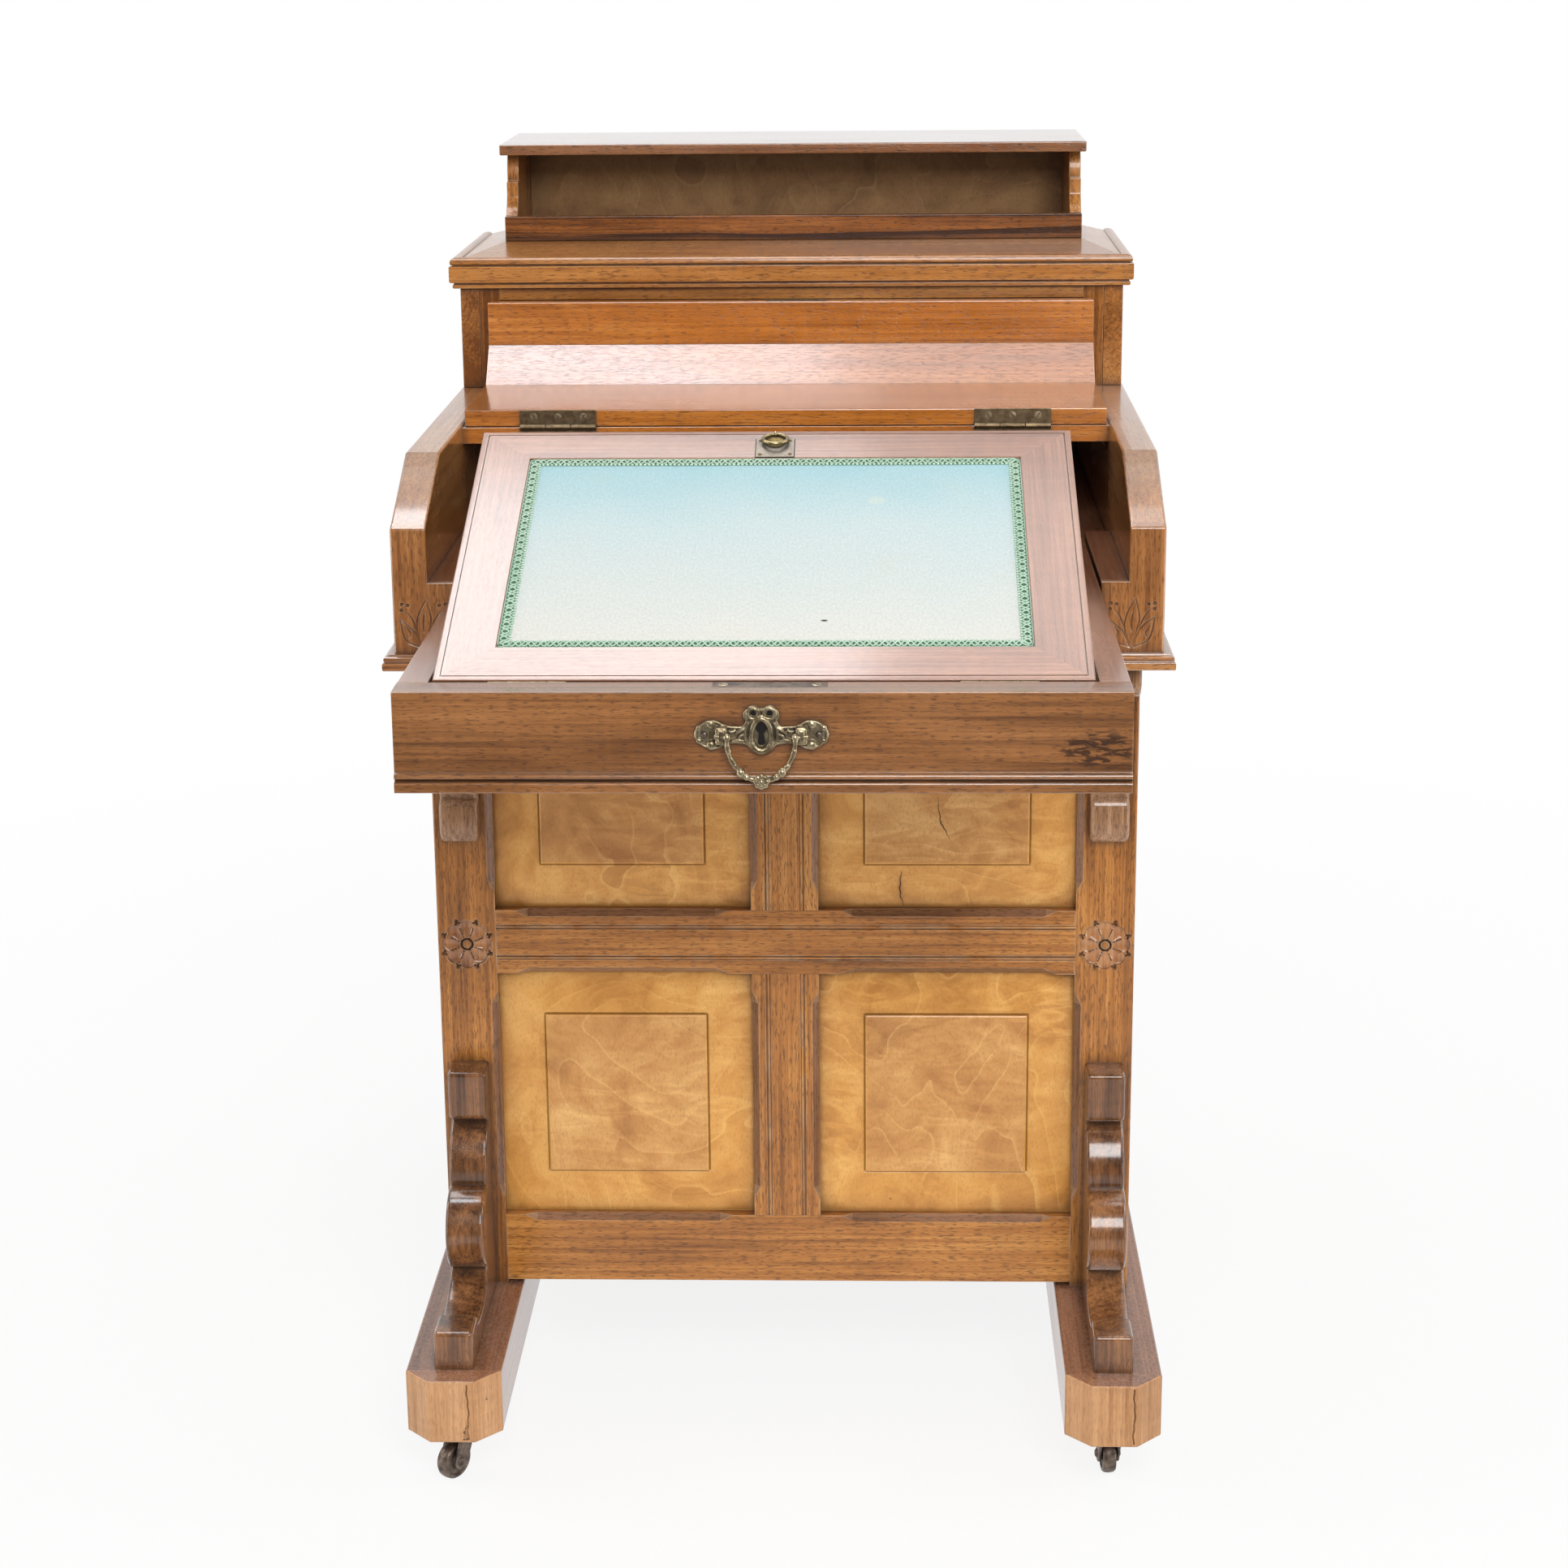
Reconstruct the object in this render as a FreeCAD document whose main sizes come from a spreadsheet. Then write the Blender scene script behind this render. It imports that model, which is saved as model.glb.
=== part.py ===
import FreeCAD, Part
import math
import os
import Sketcher

# Davenport desk. Millimetres, +Z up, +Y towards the back, +X to the sitter's right.
# Heights start at the floor. Depths start at the front plane of the pedestal and are
# moved back by "middle", so that the origin is under the middle of the whole desk.

DRIVING = {
    # overall sizes
    "desk_width": 560,
    "desk_height": 979,
    "pedestal_inset": 7.5,
    "case_inset": 2,
    # castors
    "castor_height": 48,
    "castor_back": 43,
    "castor_trail": 9,
    "wheel_radius": 15,
    "wheel_width": 11,
    "axle_radius": 2.2,
    "castor_plate_radius": 17,
    "castor_plate_thick": 3,
    "fork_cap_radius": 11,
    "fork_cap_thick": 4,
    "fork_arm_thick": 2.5,
    "fork_arm_width": 11,
    "running_gap": 0.35,
    "castor_turn_front_left": 145,
    "castor_turn_front_right": 4,
    "castor_turn_rear_left": 60,
    "castor_turn_rear_right": -25,
    # sledge feet
    "foot_height": 51,
    "foot_width": 73,
    "foot_overhang": 7,
    "foot_reach": 168,
    "foot_tail": 12,
    "foot_cant": 19,
    # pedestal
    "pedestal_depth": 496,
    "post_width": 46,
    "post_depth": 34,
    "frame_thick": 20,
    "rail_lift": 3,
    "bottom_rail": 57,
    "panel_difference": 22.5,
    "middle_rail": 52.5,
    "top_rail": 37,
    "muntin_width": 52.6,
    "panel_thick": 8,
    "panel_setback": 7,
    "field_margin": 36,
    "field_rise": 2.5,
    "side_rail_thick": 18,
    "back_muntin": 60,
    # drawers
    "drawer_recess": 16,
    "drawer_front": 18,
    "dust_board": 12,
    "drawer_gap": 1,
    "drawer_end_gap": 32,
    "tray_wall": 9,
    "tray_floor": 6,
    "tray_drop": 12,
    "knob_length": 14.5,
    "knob_radius": 11,
    "knob_collar": 7.5,
    "knob_neck": 5,
    "knob_spacing": 210,
    # scroll brackets
    "bracket_thick": 26,
    "bracket_rise": 192,
    "bracket_block": 26,
    "bracket_block_height": 38,
    "bracket_neck": 14,
    "bracket_lobe": 34,
    "bracket_lobe_reach": 70,
    "bracket_lobe_height": 68,
    "bracket_reach": 146,
    "bracket_toe": 30,
    "bracket_toe_height": 25,
    "bracket_toe_step": 3,
    "hanger_drop": 160,
    "hanger_reach": 92,
    "hanger_end": 15,
    "hanger_end_height": 34,
    "hanger_lobe": 26,
    "hanger_nose": 24,
    "hanger_nose_height": 26,
    # desk body
    "cheek_thick": 26,
    "cheek_reach": 98,
    "cheek_front_height": 104,
    "cheek_height": 145,
    "cheek_slope_run": 86,
    "body_tail": 4,
    "body_bottom": 12,
    "body_bottom_reach": 40,
    "body_back": 12,
    "guide_thick": 20,
    "guide_height": 64,
    "guide_length": 181,
    "runner_height": 42,
    "moulding_height": 11,
    "moulding_reach": 8.3,
    "moulding_lip": 5,
    "moulding_bead": 5,
    # lid
    "lid_board": 13,
    "lid_fold_gap": 11.5,
    "lid_side_gap": 2,
    "lid_front_setback": 37.8,
    "lid_mitre": 5.5,
    "lid_slope_run": 28,
    "lid_slope_drop": 29,
    "lid_rest_gap": 0.6,
    "lid_below_cheek": 3,
    "leaf_thick": 1.5,
    "leaf_gap": 0.1,
    "lid_gap": 0.5,
    "hinge_length": 60,
    "hinge_inset": 75.5,
    "knuckle_radius": 2.5,
    "knuckle_gap": 0.4,
    "knuckle_end": 20,
    "pin_radius": 1.1,
    "top_leaf_height": 14,
    "strike_width": 51,
    "strike_depth": 9,
    "strike_thick": 0.4,
    "lock_offset": 5,
    # writing box
    "box_travel": 330,
    "box_recess": 29,
    "box_rear_gap": 90,
    "box_gap": 1.5,
    "box_below_guide": 2,
    "box_lift": 2,
    "box_front": 25,
    "box_side": 20,
    "box_back": 14,
    "box_floor": 6,
    "box_bead": 2,
    "box_lip": 3,
    "divider_thick": 9,
    "divider_gap": 5,
    "divider_drop": 18,
    "ratchet_thick": 4,
    "ratchet_width": 30,
    "ratchet_length": 120,
    "lock_width": 73,
    "lock_depth": 12,
    "lock_inset": 12,
    "lock_thick": 1,
    # handle
    "handle_height": 35,
    "handle_plate_width": 86,
    "handle_plate_height": 30,
    "handle_plate_thick": 2.5,
    "handle_neck_height": 14,
    "handle_centre_width": 28,
    "handle_end_width": 20,
    "lug_radius": 4,
    "lug_length": 9,
    "lug_spacing": 62,
    "bail_radius": 24,
    "bail_wire": 2.5,
    "bail_arm": 5,
    "bail_pin": 1.4,
    "bail_stand": 5.5,
    # writing flap
    "flap_angle": 21,
    "flap_side_gap": 2,
    "flap_front_gap": 3.5,
    "flap_length": 307,
    "flap_thick": 14,
    "flap_border": 37,
    "flap_core": 9,
    "cloth_thick": 1,
    "cloth_sunk": 1.5,
    "braid_width": 8,
    "braid_thick": 1.4,
    "flap_knuckle": 1.45,
    "flap_hinge_length": 50,
    "flap_hinge_inset": 60.5,
    "ring_plate_radius": 12,
    "ring_plate_thick": 0.8,
    "ring_inset": 17,
    "ring_radius": 8.5,
    "ring_wire": 1.2,
    "ring_staple": 2.3,
    "ring_staple_length": 4,
    "prop_length": 108,
    "prop_width": 14,
    "prop_thick": 6,
    "prop_place": 200,
    "prop_angle": 34,
    "prop_pivot_drop": 4,
    "prop_eye": 4,
    # stationery case and its lid
    "case_depth": 203.5,
    "case_height": 84,
    "case_wall": 16,
    "case_floor": 8,
    "case_stile": 33,
    "case_stile_thick": 16,
    "case_rail": 10,
    "case_sill": 22,
    "case_panel_back": 5,
    "case_panel_thick": 8,
    "case_divider": 6,
    "case_divider_drop": 14,
    "top_edge": 24,
    "top_reach": 8,
    "top_bead": 5,
    "top_bead_back": 2.5,
    "top_tail": 0,
    "bevel_rise": 7,
    "bevel_side": 38,
    "bevel_front": 85,
    # gallery
    "gallery_height": 73,
    "gallery_wall": 10,
    "gallery_rail": 21,
    "gallery_rail_thick": 9,
    "gallery_back": 7,
    "gallery_tail": 2,
    "gallery_head_setback": 32.5,
    "gallery_step": 12,
    "shelf_thick": 9,
    "shelf_overhang": 3,
    "shelf_tail": 15,
}

DRAWERS = 4

doc = FreeCAD.newDocument("davenport_desk")
sheet = doc.addObject("Spreadsheet::Sheet", "dims")


class Size:
    """A length with its value and the sheet expression that it stands for."""

    def __init__(self, value, text):
        self.value = float(value)
        self.text = text

    def __add__(self, other):
        other = as_size(other)
        return Size(self.value + other.value, f"({self.text} + {other.text})")

    def __sub__(self, other):
        other = as_size(other)
        return Size(self.value - other.value, f"({self.text} - {other.text})")

    def __mul__(self, other):
        other = as_size(other)
        return Size(self.value * other.value, f"({self.text} * {other.text})")

    def __truediv__(self, other):
        other = as_size(other)
        return Size(self.value / other.value, f"({self.text} / {other.text})")

    def __neg__(self):
        return Size(-self.value, f"(0 - {self.text})")

    __radd__ = __add__
    __rmul__ = __mul__

    def __rsub__(self, other):
        return as_size(other) - self


def as_size(number):
    if isinstance(number, Size):
        return number
    return Size(number, repr(float(number)))


def fill_sheet():
    """Write every driving dimension into the sheet and return them by name."""
    sizes = {}
    for row, (alias, number) in enumerate(DRIVING.items(), start=1):
        sheet.set(f"A{row}", alias)
        sheet.set(f"B{row}", str(number))
        sheet.setAlias(f"B{row}", alias)
        sizes[alias] = Size(number, f"dims.{alias}")
    return sizes


D = fill_sheet()


def derived(alias, size):
    """Keep a worked-out size in the sheet as a formula with an alias of its own."""
    row = len(D) + 1
    D[alias] = Size(size.value, f"dims.{alias}")
    sheet.set(f"A{row}", alias)
    sheet.set(f"B{row}", "=" + size.text.replace("dims.", ""))
    sheet.setAlias(f"B{row}", alias)


def work_out_levels():
    """Widths, depths and heights that several pieces share."""
    derived("pedestal_width", D["desk_width"] - 2 * D["pedestal_inset"])
    derived("case_width", D["desk_width"] - 2 * D["case_inset"])
    derived("foot_spacing", D["desk_width"] + 2 * D["foot_overhang"] - D["foot_width"])
    derived("foot_top", D["castor_height"] + D["foot_height"])
    derived("head_height", D["cheek_height"] + D["case_height"] + D["top_edge"]
            + D["bevel_rise"] + D["gallery_height"] + D["shelf_thick"])
    derived("body_base", D["desk_height"] - D["head_height"])
    derived("pedestal_height", D["body_base"] - D["foot_top"])
    derived("rail_base", D["foot_top"] + D["rail_lift"])
    derived("lower_sill", D["rail_base"] + D["bottom_rail"])
    derived("upper_head", D["body_base"] - D["top_rail"])
    derived("lower_panel", (D["upper_head"] - D["lower_sill"] - D["middle_rail"]
                            + D["panel_difference"]) / 2)
    derived("middle_base", D["lower_sill"] + D["lower_panel"])
    derived("upper_sill", D["middle_base"] + D["middle_rail"])
    derived("post_inner", D["pedestal_width"] / 2 - D["post_width"])
    derived("rear_plane", D["pedestal_depth"] + D["body_tail"])
    derived("body_floor", D["body_base"] + D["body_bottom"])
    derived("cheek_inner", D["desk_width"] / 2 - D["cheek_thick"])
    derived("cheek_top", D["body_base"] + D["cheek_height"])
    derived("guide_inner", D["cheek_inner"] - D["guide_thick"])
    derived("guide_top", D["body_base"] + D["guide_height"])
    derived("case_front", D["rear_plane"] - D["case_depth"])
    derived("lid_front", D["lid_front_setback"] - D["cheek_reach"])
    derived("lid_axis_y", (D["lid_front"] + D["case_front"] - D["lid_fold_gap"]) / 2)
    derived("lid_line", D["lid_axis_y"] + D["leaf_thick"] + D["leaf_gap"])
    derived("lid_level", D["cheek_top"] - D["lid_below_cheek"])
    derived("lid_axis_z", D["lid_level"] + D["lid_gap"] / 2)
    derived("lid_apron", 2 * D["lid_axis_y"] - D["lid_front"] - D["lid_board"])
    derived("lid_bend", D["lid_apron"] - D["lid_slope_run"])
    derived("lid_edge", 2 * D["lid_axis_z"] - D["guide_top"] - D["lid_rest_gap"])
    derived("hinge_spacing", 2 * (D["cheek_inner"] - D["hinge_inset"]))
    derived("box_half", D["guide_inner"] - D["box_gap"])
    derived("box_face", D["box_recess"] - D["cheek_reach"] - D["box_travel"])
    derived("box_depth", D["rear_plane"] - D["body_back"] - D["box_rear_gap"]
            - D["box_travel"] - D["box_face"])
    derived("box_top", D["guide_top"] - D["box_below_guide"])
    derived("box_inner_floor", D["body_floor"] + D["box_lift"] + D["box_floor"])
    derived("flap_line", D["box_face"] + D["box_front"] + D["flap_front_gap"] / 2)
    derived("flap_axis_z", D["box_top"] - D["flap_knuckle"])
    derived("flap_half", D["box_half"] - D["box_side"] - D["flap_side_gap"])
    derived("flap_hinge_spacing", 2 * (D["flap_half"] - D["flap_hinge_inset"]))
    derived("case_top", D["cheek_top"] + D["case_height"])
    derived("top_level", D["case_top"] + D["top_edge"])
    derived("gallery_base", D["top_level"] + D["bevel_rise"])
    derived("gallery_half", D["case_width"] / 2 + D["top_reach"] - D["bevel_side"])
    derived("gallery_front", D["case_front"] - D["top_reach"] + D["bevel_front"])
    derived("gallery_top", D["gallery_base"] + D["gallery_height"])
    derived("shelf_rear", D["rear_plane"] + D["top_tail"] + D["shelf_tail"])
    derived("handle_front", D["box_face"] - D["handle_plate_thick"] - D["lug_length"])
    derived("middle", (D["handle_front"] + D["shelf_rear"]) / 2)
    derived("drawer_face", D["pedestal_width"] / 2 - D["drawer_recess"])
    boards = (DRAWERS - 1) * D["dust_board"]
    derived("drawer_bay", (D["upper_head"] - D["lower_sill"] - boards) / DRAWERS)
    derived("dust_pitch", D["drawer_bay"] + D["dust_board"])
    derived("bay_depth", D["pedestal_depth"] - 2 * D["post_depth"])


def bind(obj, **properties):
    """Tie properties to the sheet, such as Length=size or Base_x=size."""
    for name, size in properties.items():
        obj.setExpression(name.replace("Base_", "Placement.Base."), as_size(size).text)


def box(x, y, z, length, width, height, name="board"):
    """A board from its low corner, in the desk's own depths."""
    obj = doc.addObject("Part::Box", name)
    bind(obj, Length=length, Width=width, Height=height)
    bind(obj, Base_x=x, Base_y=as_size(y) - D["middle"], Base_z=z)
    return obj


def local_box(x, y, z, length, width, height, name="board"):
    """A board from its low corner, in the frame of the piece that it belongs to."""
    obj = doc.addObject("Part::Box", name)
    bind(obj, Length=length, Width=width, Height=height, Base_x=x, Base_y=y, Base_z=z)
    return obj


TURNS = {
    "x": FreeCAD.Rotation(FreeCAD.Vector(0, 1, 0), 90),
    "y": FreeCAD.Rotation(FreeCAD.Vector(1, 0, 0), -90),
    "z": FreeCAD.Rotation(),
}


def local_rod(axis, x, y, z, radius, length, name="rod"):
    """A round bar that starts at a point and runs along +X, +Y or +Z."""
    obj = doc.addObject("Part::Cylinder", name)
    obj.Placement = FreeCAD.Placement(FreeCAD.Vector(), TURNS[axis])
    bind(obj, Radius=radius, Height=length, Base_x=x, Base_y=y, Base_z=z)
    return obj


def rod(axis, x, y, z, radius, length, name="rod"):
    """A round bar placed in the desk's own depths."""
    return local_rod(axis, x, as_size(y) - D["middle"], z, radius, length, name)


def local_ring(axis, x, y, z, radius, wire, sweep=360, spin=0, name="ring"):
    """A round wire ring, or part of one, about an axis through its centre."""
    obj = doc.addObject("Part::Torus", name)
    turn = TURNS[axis].multiply(FreeCAD.Rotation(FreeCAD.Vector(0, 0, 1), spin))
    obj.Placement = FreeCAD.Placement(FreeCAD.Vector(), turn)
    obj.Angle3 = sweep
    bind(obj, Radius1=radius, Radius2=wire, Base_x=x, Base_y=y, Base_z=z)
    return obj


def fuse(pieces, name="joined"):
    obj = doc.addObject("Part::MultiFuse", name)
    obj.Shapes = pieces
    return obj


def cut(base, tool, name="cut"):
    obj = doc.addObject("Part::Cut", name)
    obj.Base = base
    obj.Tool = tool
    return obj


def part(name, pieces):
    """A sub-part: one or more separate solids under one name."""
    obj = doc.addObject("Part::Compound", name)
    obj.Label = name
    obj.Links = pieces
    return obj


def seat(obj, x, y, z, axis=None, angle=None):
    """Place a piece that is modelled in its own frame, turned about one axis if asked."""
    if axis is not None:
        turn = FreeCAD.Rotation(axis, angle.value)
        obj.Placement = FreeCAD.Placement(FreeCAD.Vector(), turn)
        obj.setExpression("Placement.Rotation.Angle", angle.text)
    bind(obj, Base_x=x, Base_y=as_size(y) - D["middle"], Base_z=z)
    return obj


def plane_of(body, role):
    return [item for item in body.Origin.OriginFeatures if item.Role == role][0]


def arc_between(start, end, radius, turn):
    """The short arc between two points, turning left (+1) or right (-1) on its way."""
    half = (end - start) * 0.5
    rise = math.sqrt(max(radius * radius - half.Length ** 2, 0.0))
    side = FreeCAD.Vector(-half.y, half.x, 0).normalize() * turn
    centre = start + half + side * rise
    first, last = (start, end) if turn > 0 else (end, start)
    angles = [math.atan2(p.y - centre.y, p.x - centre.x) for p in (first, last)]
    circle = Part.Circle(centre, FreeCAD.Vector(0, 0, 1), radius)
    return Part.ArcOfCircle(circle, angles[0], angles[1])


def draw(sketch, outline):
    """Draw a closed outline whose corners, and arc radii, are bound to the sheet.

    Each corner is (u, v), or (u, v, radius, turn) where an arc leads to it.
    """
    points = [FreeCAD.Vector(as_size(c[0]).value, as_size(c[1]).value, 0) for c in outline]
    heads = []
    for index, corner in enumerate(outline):
        start = points[index - 1]
        if len(corner) == 2:
            sketch.addGeometry(Part.LineSegment(start, points[index]))
            heads.append((1, 2))
            continue
        radius, turn = as_size(corner[2]), corner[3]
        sketch.addGeometry(arc_between(start, points[index], radius.value, turn))
        heads.append((1, 2) if turn > 0 else (2, 1))
        number = sketch.addConstraint(Sketcher.Constraint("Radius", index, radius.value))
        sketch.setExpression(f"Constraints[{number}]", radius.text)
    for index, corner in enumerate(outline):
        following = (index + 1) % len(outline)
        sketch.addConstraint(Sketcher.Constraint(
            "Coincident", index, heads[index][1], following, heads[following][0]))
        for kind, size in (("DistanceX", corner[0]), ("DistanceY", corner[1])):
            size = as_size(size)
            number = sketch.addConstraint(Sketcher.Constraint(
                kind, -1, 1, index, heads[index][1], size.value))
            sketch.setExpression(f"Constraints[{number}]", size.text)


def slab(outline, plane, thick, backwards=False, name="profile"):
    """A board cut to an outline on XY, YZ or XZ and as thick as asked."""
    body = doc.addObject("PartDesign::Body", name)
    sketch = body.newObject("Sketcher::SketchObject", name + "_outline")
    sketch.AttachmentSupport = [(plane_of(body, plane + "_Plane"), "")]
    sketch.MapMode = "FlatFace"
    draw(sketch, outline)
    pad = body.newObject("PartDesign::Pad", name + "_pad")
    pad.Profile = sketch
    pad.Reversed = backwards
    bind(pad, Length=thick)
    body.Tip = pad
    return body


def side_board(outline, x, thick, name):
    """An upright board in the side view: outline in (depth, height), set at x."""
    return seat(slab(outline, "YZ", thick, name=name), x, 0, 0)


def both_sides(make):
    """The left and the right one of a pair."""
    return [make(-1), make(1)]


def low_x(side, inner, thick):
    """Where a board starts whose inner face is that far from the middle."""
    return inner if side > 0 else -(inner + thick)


# ---------------------------------------------------------------- castors and feet

CORNERS = {
    "front_left": (-1, 0),
    "front_right": (1, 0),
    "rear_left": (-1, 1),
    "rear_right": (1, 1),
}


def castor_place(corner):
    """The swivel axis of a castor, as x and depth."""
    side, rear = CORNERS[corner]
    x = side * D["foot_spacing"] / 2
    front = D["castor_back"] - D["foot_reach"]
    back = D["pedestal_depth"] + D["foot_tail"] - D["castor_back"]
    return x, (back if rear else front)


def castor_plates():
    pieces = []
    for corner in CORNERS:
        x, y = castor_place(corner)
        low = D["castor_height"] - D["castor_plate_thick"]
        pieces.append(rod("z", x, y, low, D["castor_plate_radius"], D["castor_plate_thick"]))
    return part("castor_plates", pieces)


def castor_fork(corner):
    """Round cap, two arms and the axle, about the swivel axis, with the wheel trailing."""
    top = D["castor_height"] - D["castor_plate_thick"] - D["running_gap"]
    under = top - D["fork_cap_thick"]
    cap = local_rod("z", 0, 0, under, D["fork_cap_radius"], D["fork_cap_thick"], "cap")
    half = D["wheel_width"] / 2 + D["running_gap"]
    low = D["wheel_radius"] - D["fork_arm_width"] / 2
    arms = []
    for x in (half, -half - D["fork_arm_thick"]):
        outline = [
            (-D["fork_arm_width"] / 2, under + D["fork_cap_thick"] / 2),
            (-D["fork_arm_width"] / 2, under - D["fork_cap_thick"]),
            (D["castor_trail"] - D["fork_arm_width"] / 2, D["wheel_radius"]),
            (D["castor_trail"], low, D["fork_arm_width"] / 2, 1),
            (D["castor_trail"] + D["fork_arm_width"] / 2, D["wheel_radius"],
             D["fork_arm_width"] / 2, 1),
            (D["fork_arm_width"] / 2, under + D["fork_cap_thick"] / 2),
        ]
        arm = slab(outline, "YZ", D["fork_arm_thick"], name="arm")
        bind(arm, Base_x=x)
        arms.append(arm)
    bored = fuse([cap] + arms, "fork")
    width = 2 * (half + D["fork_arm_thick"])
    hole = local_rod("x", -width / 2, D["castor_trail"], D["wheel_radius"],
                     D["axle_radius"], width, "axle_hole")
    axle = local_rod("x", -width / 2, D["castor_trail"], D["wheel_radius"],
                     D["axle_radius"], width, "axle")
    fork = part("castor_fork_" + corner, [cut(bored, hole), axle])
    x, y = castor_place(corner)
    return seat(fork, x, y, 0, FreeCAD.Vector(0, 0, 1), D["castor_turn_" + corner])


def castor_wheel(corner):
    width = D["wheel_width"]
    rim = local_rod("x", -width / 2, D["castor_trail"], D["wheel_radius"],
                    D["wheel_radius"], width, "rim")
    bore = local_rod("x", -width / 2, D["castor_trail"], D["wheel_radius"],
                     D["axle_radius"] + D["running_gap"] / 5, width, "bore")
    wheel = part("castor_wheel_" + corner, [cut(rim, bore)])
    x, y = castor_place(corner)
    return seat(wheel, x, y, 0, FreeCAD.Vector(0, 0, 1), D["castor_turn_" + corner])


def foot(side):
    """A long block with its four upright corners cut off."""
    inner = D["foot_spacing"] / 2 - D["foot_width"] / 2
    low = low_x(side, inner, D["foot_width"])
    high = low + D["foot_width"]
    front = -D["foot_reach"]
    back = D["pedestal_depth"] + D["foot_tail"]
    cant = D["foot_cant"]
    outline = [
        (low + cant, front), (high - cant, front), (high, front + cant),
        (high, back - cant), (high - cant, back), (low + cant, back),
        (low, back - cant), (low, front + cant),
    ]
    name = "foot_left" if side < 0 else "foot_right"
    return part(name, [seat(slab(outline, "XY", D["foot_height"]), 0, 0, D["castor_height"])])


# ---------------------------------------------------------------- pedestal

def corner_posts():
    """Two front and two rear posts, standing on the feet."""
    pieces = []
    for y in (0, D["pedestal_depth"] - D["post_depth"]):
        for side in (-1, 1):
            x = low_x(side, D["post_inner"], D["post_width"])
            pieces.append(box(x, y, D["foot_top"], D["post_width"], D["post_depth"],
                              D["pedestal_height"]))
    return part("corner_posts", pieces)


def frame_between_posts(name, y, muntin):
    """Bottom, middle and top rails across the front or the back, with muntins between."""
    width = 2 * D["post_inner"]
    levels = (
        (D["rail_base"], D["bottom_rail"]),
        (D["middle_base"], D["middle_rail"]),
        (D["upper_head"], D["top_rail"]),
    )
    pieces = [box(-width / 2, y, z, width, D["frame_thick"], height) for z, height in levels]
    pieces.extend(box(-muntin / 2, y, z, muntin, D["frame_thick"], height)
                  for z, height in rows())
    return part(name, pieces)


def rows():
    """Sill and height of the lower and upper rows of panels."""
    return (
        (D["lower_sill"], D["lower_panel"]),
        (D["upper_sill"], D["upper_head"] - D["upper_sill"]),
    )


def front_panels():
    """Four panels, each with a raised square field in the middle."""
    margin = D["field_margin"]
    width = D["post_inner"] - D["muntin_width"] / 2
    pieces = []
    for z, height in rows():
        for side in (-1, 1):
            x = low_x(side, D["muntin_width"] / 2, width)
            board = box(x, D["panel_setback"], z, width, D["panel_thick"], height)
            field = box(x + margin, D["panel_setback"] - D["field_rise"], z + margin,
                        width - 2 * margin, D["field_rise"], height - 2 * margin)
            pieces.append(fuse([board, field]))
    return part("front_panels", pieces)


def back_panels():
    """Two rows of plain panels between the rear rails, on each side of a muntin."""
    width = D["post_inner"] - D["back_muntin"] / 2
    y = D["pedestal_depth"] - D["panel_setback"] - D["panel_thick"]
    pieces = []
    for z, height in rows():
        for side in (-1, 1):
            x = low_x(side, D["back_muntin"] / 2, width)
            pieces.append(box(x, y, z, width, D["panel_thick"], height))
    return part("back_panels", pieces)


def side_rails():
    """Top and bottom rails of both sides, flush with the posts."""
    pieces = []
    for side in (-1, 1):
        x = low_x(side, D["pedestal_width"] / 2 - D["side_rail_thick"], D["side_rail_thick"])
        for z, height in ((D["rail_base"], D["bottom_rail"]), (D["upper_head"], D["top_rail"])):
            pieces.append(box(x, D["post_depth"], z, D["side_rail_thick"], D["bay_depth"],
                              height))
    return part("side_rails", pieces)


def dust_boards():
    """The pedestal's floor and the three boards that carry the drawers."""
    floor_half = D["pedestal_width"] / 2 - D["side_rail_thick"]
    pieces = [box(-floor_half, D["post_depth"], D["lower_sill"] - D["dust_board"],
                  2 * floor_half, D["bay_depth"], D["dust_board"])]
    for level in range(1, DRAWERS):
        z = D["lower_sill"] + level * D["dust_pitch"] - D["dust_board"]
        pieces.append(box(-D["drawer_face"], D["post_depth"], z, 2 * D["drawer_face"],
                          D["bay_depth"], D["dust_board"]))
    return part("dust_boards", pieces)


def drawer_level(level):
    """The sill of a drawer bay, counted from the bottom."""
    return D["lower_sill"] + level * D["dust_pitch"]


def sham_drawer_fronts():
    """The left side repeats the drawer fronts as fixed boards."""
    pieces = [box(-D["drawer_face"], D["post_depth"], drawer_level(level),
                  D["drawer_front"] - D["drawer_gap"], D["bay_depth"], D["drawer_bay"])
              for level in range(DRAWERS)]
    return part("sham_drawer_fronts", pieces)


def knob():
    """A turned knob that stands out along +X: collar, neck and a flattened ball."""
    length = D["knob_length"]
    ball = D["knob_radius"]
    neck_end = length / 3
    body = doc.addObject("PartDesign::Body", "knob")
    sketch = body.newObject("Sketcher::SketchObject", "knob_outline")
    sketch.AttachmentSupport = [(plane_of(body, "XY_Plane"), "")]
    sketch.MapMode = "FlatFace"
    draw(sketch, [
        (0, 0), (length, 0), (length * 0.62, ball, ball * 1.15, 1),
        (neck_end, D["knob_neck"], ball * 0.9, 1), (length / 6, D["knob_neck"]),
        (length / 6, D["knob_collar"]), (0, D["knob_collar"]),
    ])
    turned = body.newObject("PartDesign::Revolution", "knob_turned")
    turned.Profile = sketch
    turned.ReferenceAxis = (sketch, ["H_Axis"])
    turned.Angle = 360
    body.Tip = turned
    return body


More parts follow.
